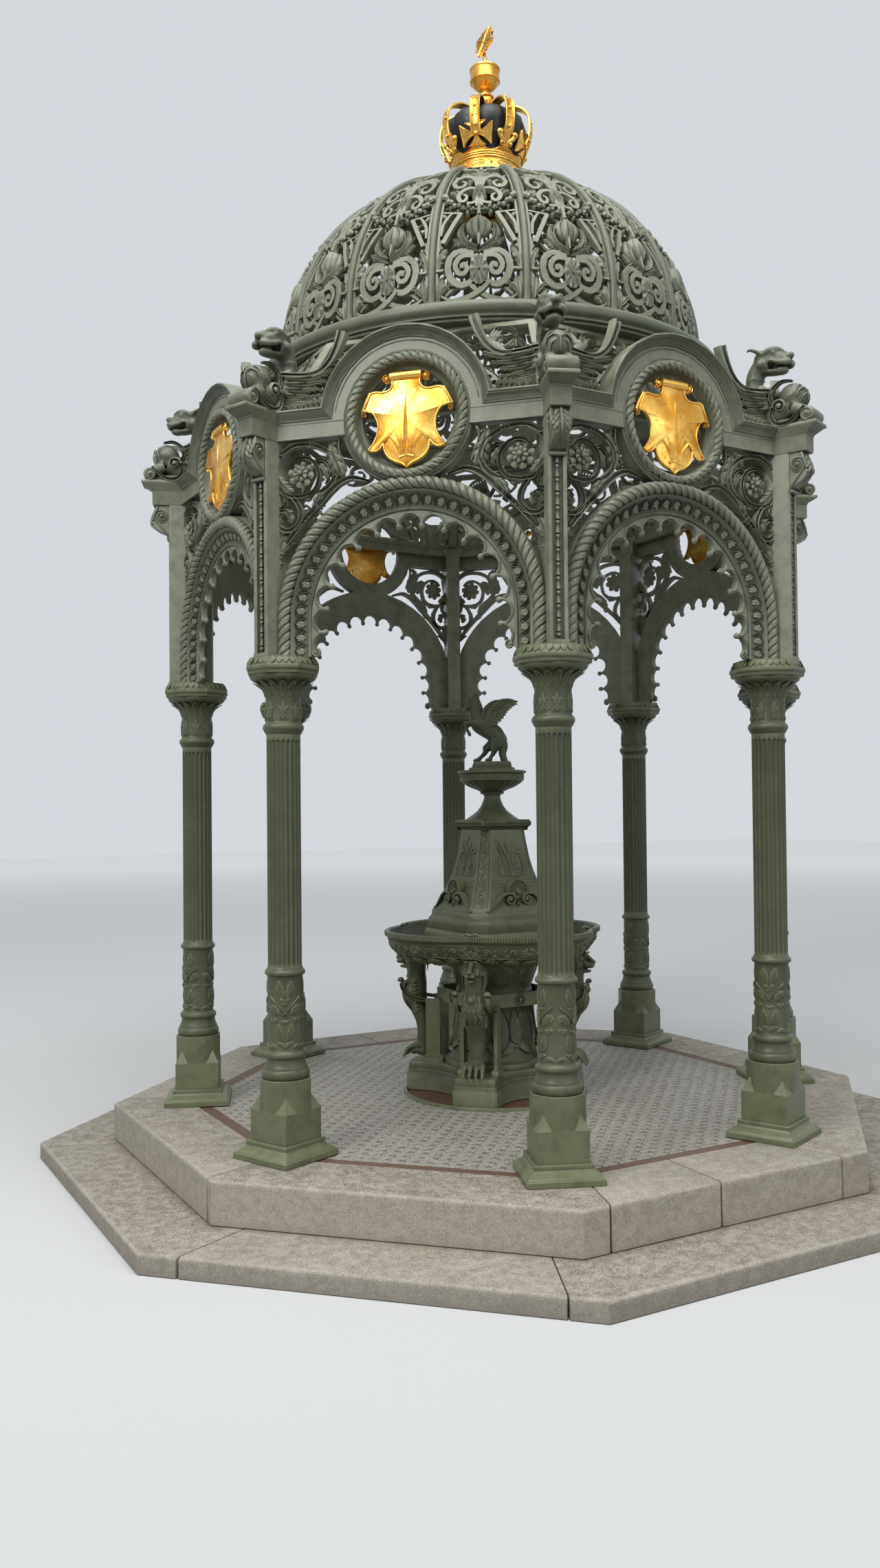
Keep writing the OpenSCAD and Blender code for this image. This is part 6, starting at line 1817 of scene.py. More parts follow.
band(side, slope_points((0.5, 0.045), (0.25, 0.045), (0.0, 0.045)), 0.021, 0.02, count=6, **FLAT)
band(side, slope_points((0.5, 0.085), (0.25, 0.085), (0.0, 0.085)), 0.005, 0.027, count=6, **FLAT)
band(side, slope_points((0.448, 0.965), (0.22, 0.965), (0.0, 0.965)), 0.016, 0.02, count=6, **FLAT)
edge = slope_points(*[(frieze_edge(v) - 0.016, v) for v in np.linspace(0.02, 0.98, 6)])
band(side, edge, 0.016, 0.02, count=8, **FLAT)
outer = arc((0, -0.105), 0.422, 9, 90, 30)
inner = arc((0, -0.105), 0.362, 15, 90, 30)
holes = []
for a in np.arange(17.5, 89, 7.2):
    t = math.radians(a)
    c = (0.392 * math.cos(t), -0.105 + 0.392 * math.sin(t))
    ring_points = arc((0, 0), 1, 0, 330, 12) * [0.0165, 0.0125]
    turn = np.array([[math.sin(t), math.cos(t)], [-math.cos(t), math.sin(t)]])
    holes.append(ring_points @ turn.T + c)
plate(side, [*map(tuple, outer), *map(tuple, inner[::-1])], BACK, BACK + 0.016, holes)
for r in (0.3655, 0.4185):
    wire(side, arc((0, -0.105), r, 13, 90, 24), 0.0045, 0.021, count=26, base=BACK)
for points, wide in (
        ([(0.1, 0.8), (0.13, 0.9), (0.19, 0.93), (0.235, 0.88), (0.23, 0.8), (0.185, 0.765),
          (0.15, 0.81), (0.165, 0.865), (0.195, 0.86)], [0.008, 0.009, 0.007, 0.004]),
        ([(0.1, 0.8), (0.085, 0.9), (0.045, 0.93), (0.012, 0.89), (0.02, 0.82), (0.05, 0.8),
          (0.062, 0.84)], [0.008, 0.008, 0.005]),
        ([(0.1, 0.8), (0.14, 0.735), (0.2, 0.7), (0.245, 0.7)], [0.008, 0.007, 0.005]),
        ([(0.3, 0.92), (0.35, 0.9), (0.385, 0.84), (0.37, 0.78), (0.335, 0.78), (0.328, 0.83),
          (0.352, 0.845)], [0.005, 0.008, 0.007, 0.004]),
        ([(0.4, 0.74), (0.43, 0.66), (0.425, 0.58), (0.39, 0.545), (0.365, 0.575),
          (0.385, 0.615)], [0.006, 0.008, 0.006, 0.004]),
        ([(0.455, 0.1), (0.43, 0.22), (0.44, 0.34), (0.475, 0.38), (0.492, 0.32), (0.472, 0.27)],
         [0.007, 0.008, 0.006, 0.004]),
        ([(0.235, 0.1), (0.17, 0.14), (0.12, 0.24), (0.14, 0.36), (0.21, 0.38), (0.25, 0.31),
          (0.215, 0.24), (0.18, 0.28)], [0.008, 0.009, 0.008, 0.005]),
        ([(0.0, 0.1), (0.03, 0.24), (0.02, 0.38), (0.0, 0.48)], [0.012, 0.009, 0.007])):
    band(side, slope_points(*points), wide, 0.025, count=5 * len(points) // 2 + 6, base=BACK,
         section=HOLLOW_BAND)
for points, half_w, lobes in (
        ([(0.455, 0.1), (0.42, 0.15), (0.395, 0.25)], 0.022, 3),
        ([(0.43, 0.1), (0.405, 0.12), (0.378, 0.17)], 0.014, 2),
        ([(0.475, 0.13), (0.49, 0.2), (0.5, 0.26)], 0.014, 2),
        ([(0.21, 0.7), (0.185, 0.74), (0.14, 0.755)], 0.014, 2),
        ([(0.255, 0.9), (0.275, 0.95), (0.31, 0.955)], 0.013, 2),
        ([(0.12, 0.24), (0.08, 0.3), (0.075, 0.4)], 0.016, 3),
        ([(0.3, 0.1), (0.28, 0.2), (0.24, 0.26)], 0.018, 3)):
    leaf(side, slope_points(*points), half_w, 0.026, lobes=lobes, base=BACK, cut=0.3, across=7,
         fine=4)
print("scrolls of a leaning panel:", side.triangles(), "triangles")

# %% A bird in flight on each side of it
bird = Casting()
tube(bird, mm3(218, 405, 0, 228, 400, 4, 242, 383, 6, 262, 352, 8, 298, 325, 8, 335, 300, 4,
    368, 268, 0), [0.004, 0.013, 0.012, 0.02, 0.024, 0.015, 0.008], [0.004, 0.012, 0.012, 0.017,
    0.019, 0.01, 0.005], sides=12, count=22)
tube(bird, mm3(222, 406, 4, 212, 412, 4, 205, 417, 4), [0.005, 0.0035, 0.001], sides=6, count=5)
for k in range(4):
    blade(bird, [(0.345, 0.292), (0.37 + 0.006 * k, 0.262 - 0.004 * k),
        (0.396 + 0.01 * k, 0.222 + 0.014 * k)], 0.01, 0.012, base=-0.012, across=5, fine=8)
for k in range(6):
    tip = (0.292 + 0.018 * k, 0.47 - 0.01 * k)
    blade(bird, [(0.276 + 0.007 * k, 0.352), (0.284 + 0.011 * k, 0.405 - 0.003 * k), tip], 0.0115,
        0.018 - 0.001 * k, base=-0.014, across=5, fine=9)
for k in range(4):
    blade(bird, [(0.27 + 0.009 * k, 0.348), (0.277 + 0.011 * k, 0.378),
        (0.286 + 0.013 * k, 0.405 - 0.003 * k)], 0.01, 0.028, base=-0.014, across=5, fine=7)
for k in range(5):
    blade(bird, [(0.3 + 0.006 * k, 0.315), (0.35 + 0.004 * k, 0.33 + 0.004 * k),
        (0.398 - 0.004 * k, 0.338 + 0.015 * k)], 0.01, 0.02, base=-0.02, across=5, fine=8)
side.join(bird)
frieze_side = mirrored(staggered(side))
frieze_side = thinned(Casting().join(frieze_side, on_frieze(face_angle(1))), 0.4)
frieze_cast = spun(frieze_side, SIDES)
make_piece("frieze_casting", frieze_cast, grey_paint, ["frieze"])
print("frieze", frieze_cast.triangles(), "triangles")

# %% Roll under the dome
roll_cast = Casting()
under = RING_Z - ROLL_R * 1.9
roll_profile = [(1.006, under), (1.006, RING_Z + 0.0315), (1.008, RING_Z + 0.033),
                (1.06, RING_Z + 0.033), (1.118, RING_Z + 0.033), (1.124, RING_Z + 0.03)]
roll_profile += [(RING_R + ROLL_R * math.cos(a), RING_Z + ROLL_R * math.sin(a))
                 for a in np.radians(np.linspace(105, -58, 15))]
roll_profile += [(1.156, RING_Z - 0.033), (1.158, RING_Z - 0.036), (1.1575, RING_Z - 0.04),
                 (1.152, RING_Z - 0.043), (1.146, RING_Z - 0.044), (1.147, RING_Z - 0.048),
                 (1.1485, RING_Z - 0.052), (1.147, RING_Z - 0.056), (1.142, RING_Z - 0.0585),
                 (1.134, RING_Z - 0.06), (1.115, under), (1.06, under)]
turned(roll_cast, [(r, z + PLATFORM) for r, z in roll_profile], 160, closed=True)
make_piece("dome_roll", roll_cast, grey_paint, ["dome_ring"])

RIB_FROM, RIB_TO = -5.6, 78.9
rib_section = [(-0.02, -0.022), (-0.02, -0.006), (-0.0185, -0.0035), (-0.0165, -0.003)]
rib_section += [(0.016 * math.cos(a), 0.0055 + 0.016 * math.sin(a))
                for a in np.radians(np.linspace(190, -10, 11))]
rib_section += [(0.0165, -0.003), (0.0185, -0.0035), (0.02, -0.006), (0.02, -0.022)]
rib = Casting()
rings = []
for t in np.linspace(math.radians(RIB_FROM), math.radians(RIB_TO), 34):
    tilt = math.atan2(math.sin(t) / DOME_B, math.cos(t) / DOME_A)
    base_point = (DOME_A * math.cos(t), PLATFORM + DOME_Z + DOME_B * math.sin(t))
    rings.append([(base_point[0] + out * math.cos(tilt), across,
                   base_point[1] + out * math.sin(tilt)) for across, out in rib_section])
loft(rib, rings)
ribs_cast = spun(thinned(rib, 0.75), 16)
make_piece("dome_rib_castings", ribs_cast, grey_paint, ["dome_ribs"])
print("roll and ribs", roll_cast.triangles() + ribs_cast.triangles(), "triangles")

# %% Lower half of a dome panel
board = Casting()
BACK = -0.013
PLAIN = dict(base=BACK, section=FLAT_BAND)
ROUND = dict(base=BACK, section=ROUND_BAND)


def rib_side(t, gap):
    """The x on the board of the line beside the rib at that height."""
    return 1 - (0.02 + gap) / (HALF_PANEL * math.cos(math.radians(t)))


band(board, dome_board(*[(rib_side(t, 0.003), t) for t in np.linspace(-5, 77, 12)]), 0.006, 0.017,
     count=18, **PLAIN)
band(board, dome_board((0.9, -4.6), (0.45, -4.6), (0.0, -4.6)), 0.009, 0.02, count=5, **PLAIN)
band(board, dome_board((0.13, 2.4), (0.24, 1.1), (0.42, 0.9), (0.58, 2.6), (0.65, 5.6),
                       (0.6, 8.6), (0.45, 10.2), (0.26, 10.4), (0.1, 9.9)),
     [0.01, 0.015, 0.0155, 0.0155, 0.014, 0.01], 0.024, count=30, **PLAIN)
band(board, dome_board((0.08, 8.3), (0.22, 9.0), (0.4, 8.4), (0.49, 6.2), (0.43, 4.1),
                       (0.31, 3.8), (0.245, 5.1), (0.29, 6.5), (0.37, 6.2), (0.36, 5.2)),
     [0.013, 0.0125, 0.0125, 0.012, 0.01, 0.006], 0.027, count=34, **PLAIN)
ball(board, (*dome_board((0.335, 5.5))[0], BACK + 0.026), 0.0085, flat=0.8, steps=8, rows=5)
leaf(board, dome_board((0.86, -3.4), (0.84, -0.6), (0.8, 3.9)), 0.026, 0.026, lobes=3, base=BACK,
     cut=0.15, across=7, fine=4)
leaf(board, dome_board((0.82, -1.6), (0.7, 0.3), (0.56, 1.5), (0.44, 1.6)), 0.018, 0.03, lobes=4,
     base=BACK, cut=0.35, across=7, fine=3)
leaf(board, dome_board((0.74, -2.2), (0.62, -0.7), (0.5, 0.4)), 0.013, 0.024, lobes=3, base=BACK,
     cut=0.3, across=5, fine=3)
band(board, dome_board((0.74, 5.2), (0.82, 5.2), (0.9, 5.2)), 0.006, 0.026, count=4, **PLAIN)
leaf(board, dome_board((0.9, 5.2), (0.84, 9.0), (0.7, 12.4)), 0.022, 0.022, lobes=3, base=BACK,
     cut=0.35, across=7, fine=4)
leaf(board, dome_board((0.9, 5.0), (0.83, 7.4), (0.74, 7.9)), 0.013, 0.024, lobes=2, base=BACK,
     cut=0.3, across=5, fine=4)
leaf(board, dome_board((0.88, 10.4), (0.86, 13.2), (0.8, 15.4)), 0.018, 0.021, lobes=2, base=BACK,
     cut=0.3, across=5, fine=4)
leaf(board, dome_board((0.02, 10.4), (0.18, 12.0), (0.38, 13.2), (0.58, 15.2)), 0.02, 0.03,
     lobes=4, base=BACK, cut=0.4, across=7, fine=4)
leaf(board, dome_board((0.0, 9.9), (0.18, 11.3), (0.36, 11.8), (0.52, 10.6)), 0.017, 0.034,
     lobes=4, base=BACK, cut=0.3, across=7, fine=3)
leaf(board, dome_board((0.04, 11.6), (0.28, 13.6), (0.4, 16.4), (0.36, 19.2), (0.23, 20.8)),
     0.018, 0.028, lobes=3, base=BACK, cut=0.2, across=7, fine=5)
band(board, dome_board((0.03, 11.3), (0.26, 13.2), (0.345, 15.8), (0.32, 18.6)),
     [0.006, 0.006, 0.003], 0.033, count=14, **ROUND)
blade(board, dome_board((0.04, 22.2), (0.1, 20.6), (0.165, 18.4), (0.1, 15.0)), 0.026, 0.033,
    base=BACK, across=7, fine=9)
band(board, dome_board((0.41, 23.6), (0.585, 19.0), (0.78, 13.4)), 0.0105, 0.022, count=6, **PLAIN)
band(board, dome_board((0.83, 15.8), (0.8, 19.6), (0.68, 22.6), (0.6, 23.6)),
     [0.005, 0.008, 0.008, 0.004], 0.022, count=12, **PLAIN)
leaf(board, dome_board((0.86, 24.4), (0.78, 22.8), (0.64, 21.4)), 0.013, 0.022, lobes=2, base=BACK,
     cut=0.3, across=5, fine=4)
band(board, dome_board((0.86, 24.6), (0.62, 24.0), (0.41, 23.6)), 0.005, 0.018, count=5, **PLAIN)
print("lower half of a panel", 2 * board.triangles(), "triangles")

# %% Upper half of a dome panel
garland = dome_board((0.86, 31.0), (0.7, 28.0), (0.5, 26.0), (0.26, 25.2), (0.02, 25.0))
band(board, garland, 0.01, 0.02, count=14, **ROUND)
fruit = smooth_line(garland, 10)
for k, (x, y) in enumerate(fruit[:-1]):
    size = 0.0165 - 0.0008 * k
    ball(board, (x, y + (0.005 if k % 2 else -0.007), BACK + 0.024), size, steps=7, rows=5)
for k in range(1, 9, 2):
    x, y = fruit[k]
    blade(board, [(x + 0.004, y), (x, y + 0.019), (x - 0.012, y + 0.032)], 0.012, 0.03, base=BACK,
        across=5, fine=6)
    blade(board, [(x + 0.006, y - 0.004), (x + 0.004, y - 0.02), (x - 0.005, y - 0.03)], 0.01,
        0.026, base=BACK, across=5, fine=6)
band(board, dome_board((0.02, 29.0), (0.13, 27.6), (0.3, 27.4)), 0.0085, 0.022, count=8, **PLAIN)
band(board, dome_board((0.06, 34.0), (0.22, 34.6), (0.4, 33.6), (0.52, 31.0), (0.46, 28.4),
                       (0.34, 28.4), (0.31, 30.4), (0.4, 31.4)),
     [0.01, 0.013, 0.013, 0.01, 0.006], 0.024, count=24, **PLAIN)
leaf(board, dome_board((0.5, 30.8), (0.64, 32.6), (0.78, 35.0)), 0.02, 0.026, lobes=3, base=BACK,
     cut=0.35, across=7, fine=4)
leaf(board, dome_board((0.5, 33.0), (0.6, 34.6), (0.66, 37.4)), 0.013, 0.022, lobes=2, base=BACK,
     cut=0.3, across=5, fine=4)
band(board, dome_board((0.02, 35.0), (0.09, 38.8), (0.2, 41.2), (0.42, 42.4), (0.64, 40.8),
                       (0.7, 37.8), (0.58, 35.4), (0.42, 35.8), (0.38, 38.0), (0.5, 39.0)),
     [0.016, 0.016, 0.015, 0.014, 0.012, 0.007], 0.024, count=34, **PLAIN)
leaf(board, dome_board((0.14, 39.8), (0.26, 38.8), (0.33, 36.6)), 0.017, 0.028, lobes=3, base=BACK,
     cut=0.3, across=7, fine=4)
leaf(board, dome_board((0.04, 41.5), (0.16, 45.0), (0.3, 48.0)), 0.03, 0.026, lobes=3, base=BACK,
     cut=0.35, across=7, fine=4)
leaf(board, dome_board((0.24, 42.4), (0.44, 45.0), (0.66, 46.4)), 0.028, 0.025, lobes=3, base=BACK,
     cut=0.35, across=7, fine=4)
leaf(board, dome_board((0.62, 41.4), (0.72, 43.6), (0.76, 45.4)), 0.018, 0.022, lobes=2, base=BACK,
     cut=0.3, across=5, fine=4)
band(board, dome_board((0.05, 47.5), (0.2, 50.0), (0.42, 50.5), (0.62, 53.0), (0.58, 57.0),
                       (0.38, 58.5), (0.24, 56.0), (0.34, 53.6)),
     [0.012, 0.015, 0.015, 0.012, 0.008], 0.022, count=26, **PLAIN)
band(board, dome_board((0.05, 64.0), (0.16, 61.0), (0.4, 60.6), (0.56, 63.0), (0.48, 66.6),
                       (0.26, 67.0), (0.22, 64.6)),
     [0.012, 0.014, 0.014, 0.009], 0.021, count=20, **PLAIN)
band(board, dome_board((0.03, 69.0), (0.2, 69.4), (0.4, 71.6), (0.34, 74.6), (0.16, 74.4)),
     [0.013, 0.015, 0.012, 0.01], 0.02, count=12, **PLAIN)
leaf(board, dome_board((0.44, 58.4), (0.58, 60.4), (0.66, 61.6)), 0.022, 0.021, lobes=2, base=BACK,
     cut=0.3, across=5, fine=4)
panel = mirrored(board)
petals = Casting()
flower(petals, (0, 0), 0.0415, 10, 0.016, hollow=0.8, button=0.13, fine=5)
middle = dome_board((0.0, 5.0))[0]
panel.join(petals, lambda p: p * [1.0, 1.72, 1.0] + [*middle, BACK + 0.022])
turned_base = Casting()
turned(turned_base, mm(0, 0, 40, 0, 41, 14, 39, 26, 0, 28), 24)
panel.join(turned_base, lambda p: p * [1.0, 1.72, 0.92] + [*middle, BACK])
for s in (-1, 1):
    band(panel, dome_board((s * -0.78, -2.0), (s * -0.55, -3.4), (s * -0.22, -2.6),
                           (s * 0.03, -0.9), (s * 0.22, 1.3)),
         [0.004, 0.01, 0.0115, 0.0115, 0.008], 0.026 + 0.004 * s, count=14, **PLAIN)
blade(panel, dome_board((0.0, 22.6), (0.0, 19.0), (0.0, 14.6)), 0.033, 0.042, base=BACK, across=9,
    fine=9)
band(panel, dome_board((0.0, 16.0), (0.0, 14.0), (0.0, 12.2)), [0.011, 0.01, 0.006], 0.026,
     count=5, **ROUND)
band(panel, dome_board((0.0, 22.2), (0.0, 24.0), (0.0, 26.4)), [0.013, 0.009, 0.014], 0.032,
     count=6, **ROUND)
band(panel, dome_board((0.0, 26.0), (0.0, 30.0), (0.0, 34.0), (0.0, 38.0), (0.0, 42.4)),
     [0.02, 0.026, 0.016, 0.021, 0.034], 0.021, count=14, **PLAIN)
for s in (-1, 0, 1):
    leaf(panel, dome_board((s * 0.02, 37.0), (s * 0.1, 32.5), (s * 0.13, 28.0)), 0.017,
         0.03 - 0.003 * abs(s), lobes=2, base=BACK + 0.004, cut=0.25, across=7, fine=5)
leaf(panel, dome_board((0.0, 41.0), (0.0, 46.0), (0.0, 51.5)), 0.036, 0.03, lobes=4, base=BACK,
     cut=0.35, across=7, fine=3)
band(panel, dome_board((0.0, 50.0), (0.0, 60.0), (0.0, 70.0), (0.0, 77.0)),
     [0.014, 0.012, 0.016, 0.026], 0.02, count=14, **PLAIN)
band(panel, dome_board((-0.46, 77.0), (0.0, 77.0), (0.46, 77.0)), 0.012, 0.019, count=4, **PLAIN)
panel = thinned(Casting().join(staggered(panel), on_dome(math.pi / 16)), 0.35)
panels = spun(panel, 16)
make_piece("dome_panel_castings", panels, grey_paint, ["dome_panels"])
print("dome panels", panels.triangles(), "triangles")
# %% [markdown]
# A gilded crown stands on the dome: a jewelled circlet whose scalloped edge carries crosses and
# lilies in turn, eight studded bands that bow out over a dark cap, and a drum with a leaning
# cross. Each kind of ornament is drawn once and set round the axis by the same node tree as the
# ribs. The bands are flat strips swept along one curve, because that keeps their width even.

# %% Circlet with its jewels
CROWN_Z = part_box("crown_circlet")[0][2]
COLLAR_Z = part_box("crown_collar")[0][2]
COLLAR_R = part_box("crown_collar")[1][0]
CIRCLET_R = 0.178
LEAN = math.atan2(0.062, 0.145)


def on_crown(angle=0.0, radius=CIRCLET_R, height=0.0, lean=0.0):
    """Bends flat work round the crown: x round it, y up it, leaning outwards."""
    def place(p):
        r = radius + p[:, 1] * math.sin(lean) + p[:, 2] * math.cos(lean)
        z = CROWN_Z + height + p[:, 1] * math.cos(lean) - p[:, 2] * math.sin(lean)
        a = angle + p[:, 0] / radius
        return np.stack([r * np.cos(a), r * np.sin(a), z], -1)
    return place


circlet = Casting()
turned(circlet, mm(146, 0, 179.5, 0, 182.5, 3, 182.5, 8, 180, 12, 177.5, 15, 176.5, 20, 174.5, 56,
    176.5, 58, 180, 59.5, 181, 62.5, 180, 65.5, 176.5, 66.5, 176, 68, 176, 81, 176.5, 82.5,
    180, 83.5, 181, 86.5, 180, 89.5, 176.5, 90.5, 175, 98, 170, 99, 156, 98, 146, 88), 128,
    closed=True)
circlet_at = raised(circlet, CROWN_Z)
pearl = Casting()
wire(pearl, mm(-20.5, 0, -10, 0, 10, 0, 20.5, 0), 0.0062, 0.0062, count=6)
one_pearl = Casting().join(pearl, on_crown(0.0, 0.1755, 0.0745))
circlet_at.join(spun(one_pearl, 24, math.pi / 24))
jewel = Casting()
frame_line = np.concatenate([arc((0.026, 0), 0.0085, -90, 90, 7),
                             arc((-0.026, 0), 0.0085, 90, 270, 7)])
wire(jewel, frame_line, 0.0026, 0.0042, closed=True, count=36)
wire(jewel, mm(-29, 0, 0, 0, 29, 0), 0.0055, 0.003, count=7)
one_jewel = Casting().join(jewel, on_crown(0.0, 0.1757, 0.034))
circlet_at.join(spun(one_jewel, 8))
stud = Casting()
turned(stud, mm(0, 0, 8.5, 0, 8, 3.5, 6, 4, 5, 3, 3, 5, 0, 5.8), 16)
one_stud = Casting().join(stud, on_crown(0.0, 0.1757, 0.034))
circlet_at.join(spun(one_stud, 8, math.pi / 8))
make_piece("crown_circlet_ring", circlet_at, gold_leaf, ["crown_circlet"])

collar_cast = Casting()
low = COLLAR_Z - CROWN_Z
turned(collar_cast, [(0.139, low), (COLLAR_R - 0.003, low), (COLLAR_R, low + 0.004),
                     (COLLAR_R, low + 0.022), (COLLAR_R - 0.003, low + 0.027),
                     (0.186, low + 0.032), (0.1845, low + 0.045), (0.18, low + 0.052),
                     (0.1765, low + 0.06), (0.1755, low + 0.075), (0.1755, -0.014),
                     (0.179, -0.01), (0.18, -0.005), (0.179, -0.0004), (0.17, -0.0002),
                     (0.16, -0.0002), (0.139, -0.0002)], 128, closed=True)
collar_at = raised(collar_cast, CROWN_Z)
make_piece("crown_foot_ring", collar_at, gold_leaf, ["crown_collar"])
print("circlet", circlet_at.triangles() + collar_at.triangles(), "triangles")

# %% Crosses and lilies on the scalloped edge
EDGE_Z, EDGE_R, EDGE_T = 0.092, 0.1765, 0.01


def scallop(cast, top_half, top, reach=0.069):
    """One hollow-sided gable of the edge, with a rolled rim."""
    side_line = [(reach, 0.004), (reach * 0.72, 0.0075), (reach * 0.42, 0.02),
                 (top_half * 1.5, top * 0.72), (top_half, top)]
    right_side = smooth_line(side_line, 12)
    left_side = right_side[::-1] * [-1, 1]
    outline = np.concatenate([[(-reach, -0.006), (reach, -0.006)], right_side, left_side])
    plate(cast, outline, -EDGE_T, 0.0)
    for line in (right_side, left_side):
        wire(cast, line - [0, 0.002], 0.0032, EDGE_T + 0.0035, base=-EDGE_T, count=16)


def flared_arm(cast, turn, length, half_tip, centre, thick=0.0):
    """One arm of a cross: sunk face, raised frame and a ridge, widening to its end."""
    c, s = math.cos(turn), math.sin(turn)

    def laid(points):
        p = np.asarray(points, float)
        return np.stack([centre[0] + p[:, 0] * c - p[:, 1] * s,
                         centre[1] + p[:, 0] * s + p[:, 1] * c], -1)
    t = np.linspace(0, 1, 7)
    upper = np.column_stack([0.004 + (length - 0.004) * t,
                             0.0045 + (half_tip - 0.0045) * t ** 1.5])
    lower = upper[::-1] * [1, -1]
    plate(cast, laid(np.concatenate([upper, lower])), -0.008 - thick, 0.001 + thick)
    edge = [upper[0], upper[2], upper[4], upper[-1] - [0.002, 0.001]]
    for line in (edge, [p * [1, -1] for p in edge],
                 [(length - 0.0015, -half_tip + 0.001), (length - 0.003, 0.0),
                  (length - 0.0015, half_tip - 0.001)]):
        wire(cast, laid(line), 0.0024, 0.0125, base=-0.008, count=9)
    wire(cast, laid([(0.004, 0), (length * 0.6, 0), (length - 0.002, 0)]), 0.0016, 0.011,
        base=-0.008, count=4)


cross = Casting()
scallop(cross, 0.0085, 0.04)
for turn in (0, 180, 270, 90):
    flared_arm(cross, math.radians(turn), 0.069 if turn in (0, 180) else 0.056,
               0.052 if turn in (0, 180) else 0.042, (0, 0.076))
ball(cross, (0, 0.076, 0.004), 0.0105, steps=14, rows=8)
lily = Casting()
scallop(lily, 0.017, 0.024)
wire(lily, mm(-30, 30, 0, 27, 30, 30), 0.0045, 0.017, base=-0.008, count=8)
blade(lily, mm(0, 30, 0, 85, 0, 138), 0.0215, 0.018, base=-0.009, across=9, fine=16)
for s in (-1, 1):
    tube(lily, mm3(6, 28, -2, 13, 45, 1, 28, 60, 4, 36, 78, 3) * [s, 1, 1], [0.006, 0.0085,
        0.0105, 0.012], [0.006, 0.007, 0.008, 0.01], sides=10, count=12)
    ball(lily, (s * 0.0365, 0.085, 0.004), 0.0145, steps=14, rows=8)
    ball(lily, (s * 0.024, 0.04, 0.006), 0.0085, steps=10, rows=6)
at_edge = dict(radius=EDGE_R, height=EDGE_Z, lean=LEAN)
one_cross, one_lily = Casting(), Casting()
one_cross.join(cross, on_crown(**at_edge))
one_lily.join(lily, on_crown(**at_edge))
flowers_cast = Casting().join(spun(thinned(one_cross, 0.6), 4, math.pi / 4))
flowers_cast.join(spun(thinned(one_lily, 0.6), 4))
make_piece("crown_crosses_and_lilies", flowers_cast, gold_leaf, ["crown_leaves"])
print("crosses and lilies", flowers_cast.triangles(), "triangles")

# %% Studded bands and the dark cap
BAND_CURVE = [(0.211, 0.166), (0.227, 0.198), (0.235, 0.24), (0.235, 0.282), (0.226, 0.322),
              (0.198, 0.356), (0.152, 0.3745), (0.105, 0.374), (0.065, 0.367), (0.035, 0.358)]
path = smooth_line(BAND_CURVE, 34)
ahead = unit(np.gradient(path, axis=0))
outwards = np.stack([ahead[:, 1], -ahead[:, 0]], -1)
half_width = np.interp(path[:, 0], [0.033, 0.06, 0.1, 0.16], [0.0115, 0.0175, 0.0235, 0.0255])
strip_section = [(-1, -0.003), (-1, 0.0035), (-0.9, 0.0055), (-0.78, 0.0035), (-0.7, 0.002),
                 (0.7, 0.002), (0.78, 0.0035), (0.9, 0.0055), (1, 0.0035), (1, -0.003)]
strap = Casting()
rings = [[(r + n[0] * up, across * w, CROWN_Z + z + n[1] * up) for across, up in strip_section]
         for (r, z), n, w in zip(path, outwards, half_width)]
loft(strap, rings)


def stud_on_band(k, across, size):
    (r, z), n, w = path[k], outwards[k], half_width[k]
    ball(strap, (r + n[0] * 0.003, across * w, CROWN_Z + z + n[1] * 0.003), size, steps=10,
         rows=6)


for n_stud, k in enumerate(range(3, 29, 4)):
    if n_stud % 2:
        stud_on_band(k, -0.38, 0.0048)
        stud_on_band(k, 0.38, 0.0048)
    else:
        stud_on_band(k, 0.0, 0.0085)
straps_cast = spun(thinned(strap, 0.7), 8)
make_piece("crown_bands", straps_cast, gold_leaf, ["crown_arches"])
cap_cast = Casting()


def folds(angle, radius, height):
    """Soft folds of a velvet cap between the bands."""
    soft = np.cos(8 * angle) + 0.35 * np.sin(19 * angle + 40 * height) + 0.25 * np.sin(
        27 * angle - 60 * height)
    return radius * (1 - 0.022 * soft * np.clip(height / 0.2, 0, 1))


turned(cap_cast, mm(0, 70, 120, 70, 142, 80, 150, 110, 166, 150, 187, 195, 204, 235, 208, 265,
    200, 295, 180, 320, 148, 338, 108, 349, 60, 356, 20, 358, 0, 358), 96, folds)
cap_at = raised(cap_cast, CROWN_Z)
make_piece("crown_velvet_cap", cap_at, black_paint, ["crown_cap"])
print("bands and cap", straps_cast.triangles() + cap_at.triangles(), "triangles")

# %% Knop, drum and leaning cross
FINIAL_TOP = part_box("finial")[1][2]
top_cast = Casting()
turned(top_cast, mm(0, 352, 30, 352, 31, 395, 38, 405, 44.5, 416, 46, 428, 42, 439, 34, 444,
    34, 446, 40, 447.5, 45.5, 451.5, 45.5, 456.5, 40, 460, 29, 463, 23.5, 468, 22, 478, 25.5, 483,
    24, 487, 36, 494, 52, 505, 64, 519, 70.5, 531, 73.5, 533.5, 77.5, 534.5, 77.5, 540, 75.5, 543,
    74.5, 545, 74.5, 588, 76.5, 590, 78.5, 592.5, 78.5, 598.5, 76.5, 601.5, 70, 604, 45, 610,
    22, 616, 12, 622, 0, 623), 64)
lobes_cast = Casting()
for k in range(8):
    leaf(lobes_cast, [(k * 0.0365, -0.012), (k * 0.0365, 0.006), (k * 0.0365, 0.02)], 0.0155,
         0.009, lobes=2, base=-0.006, cut=0.2, across=7, fine=5)
top_cast.join(lobes_cast, lambda p: np.stack([
    (0.0455 + p[:, 2]) * np.cos(p[:, 0] / 0.0465), (0.0455 + p[:, 2]) * np.sin(p[:, 0] / 0.0465),
    0.424 + p[:, 1]], -1))
emblem = Casting()
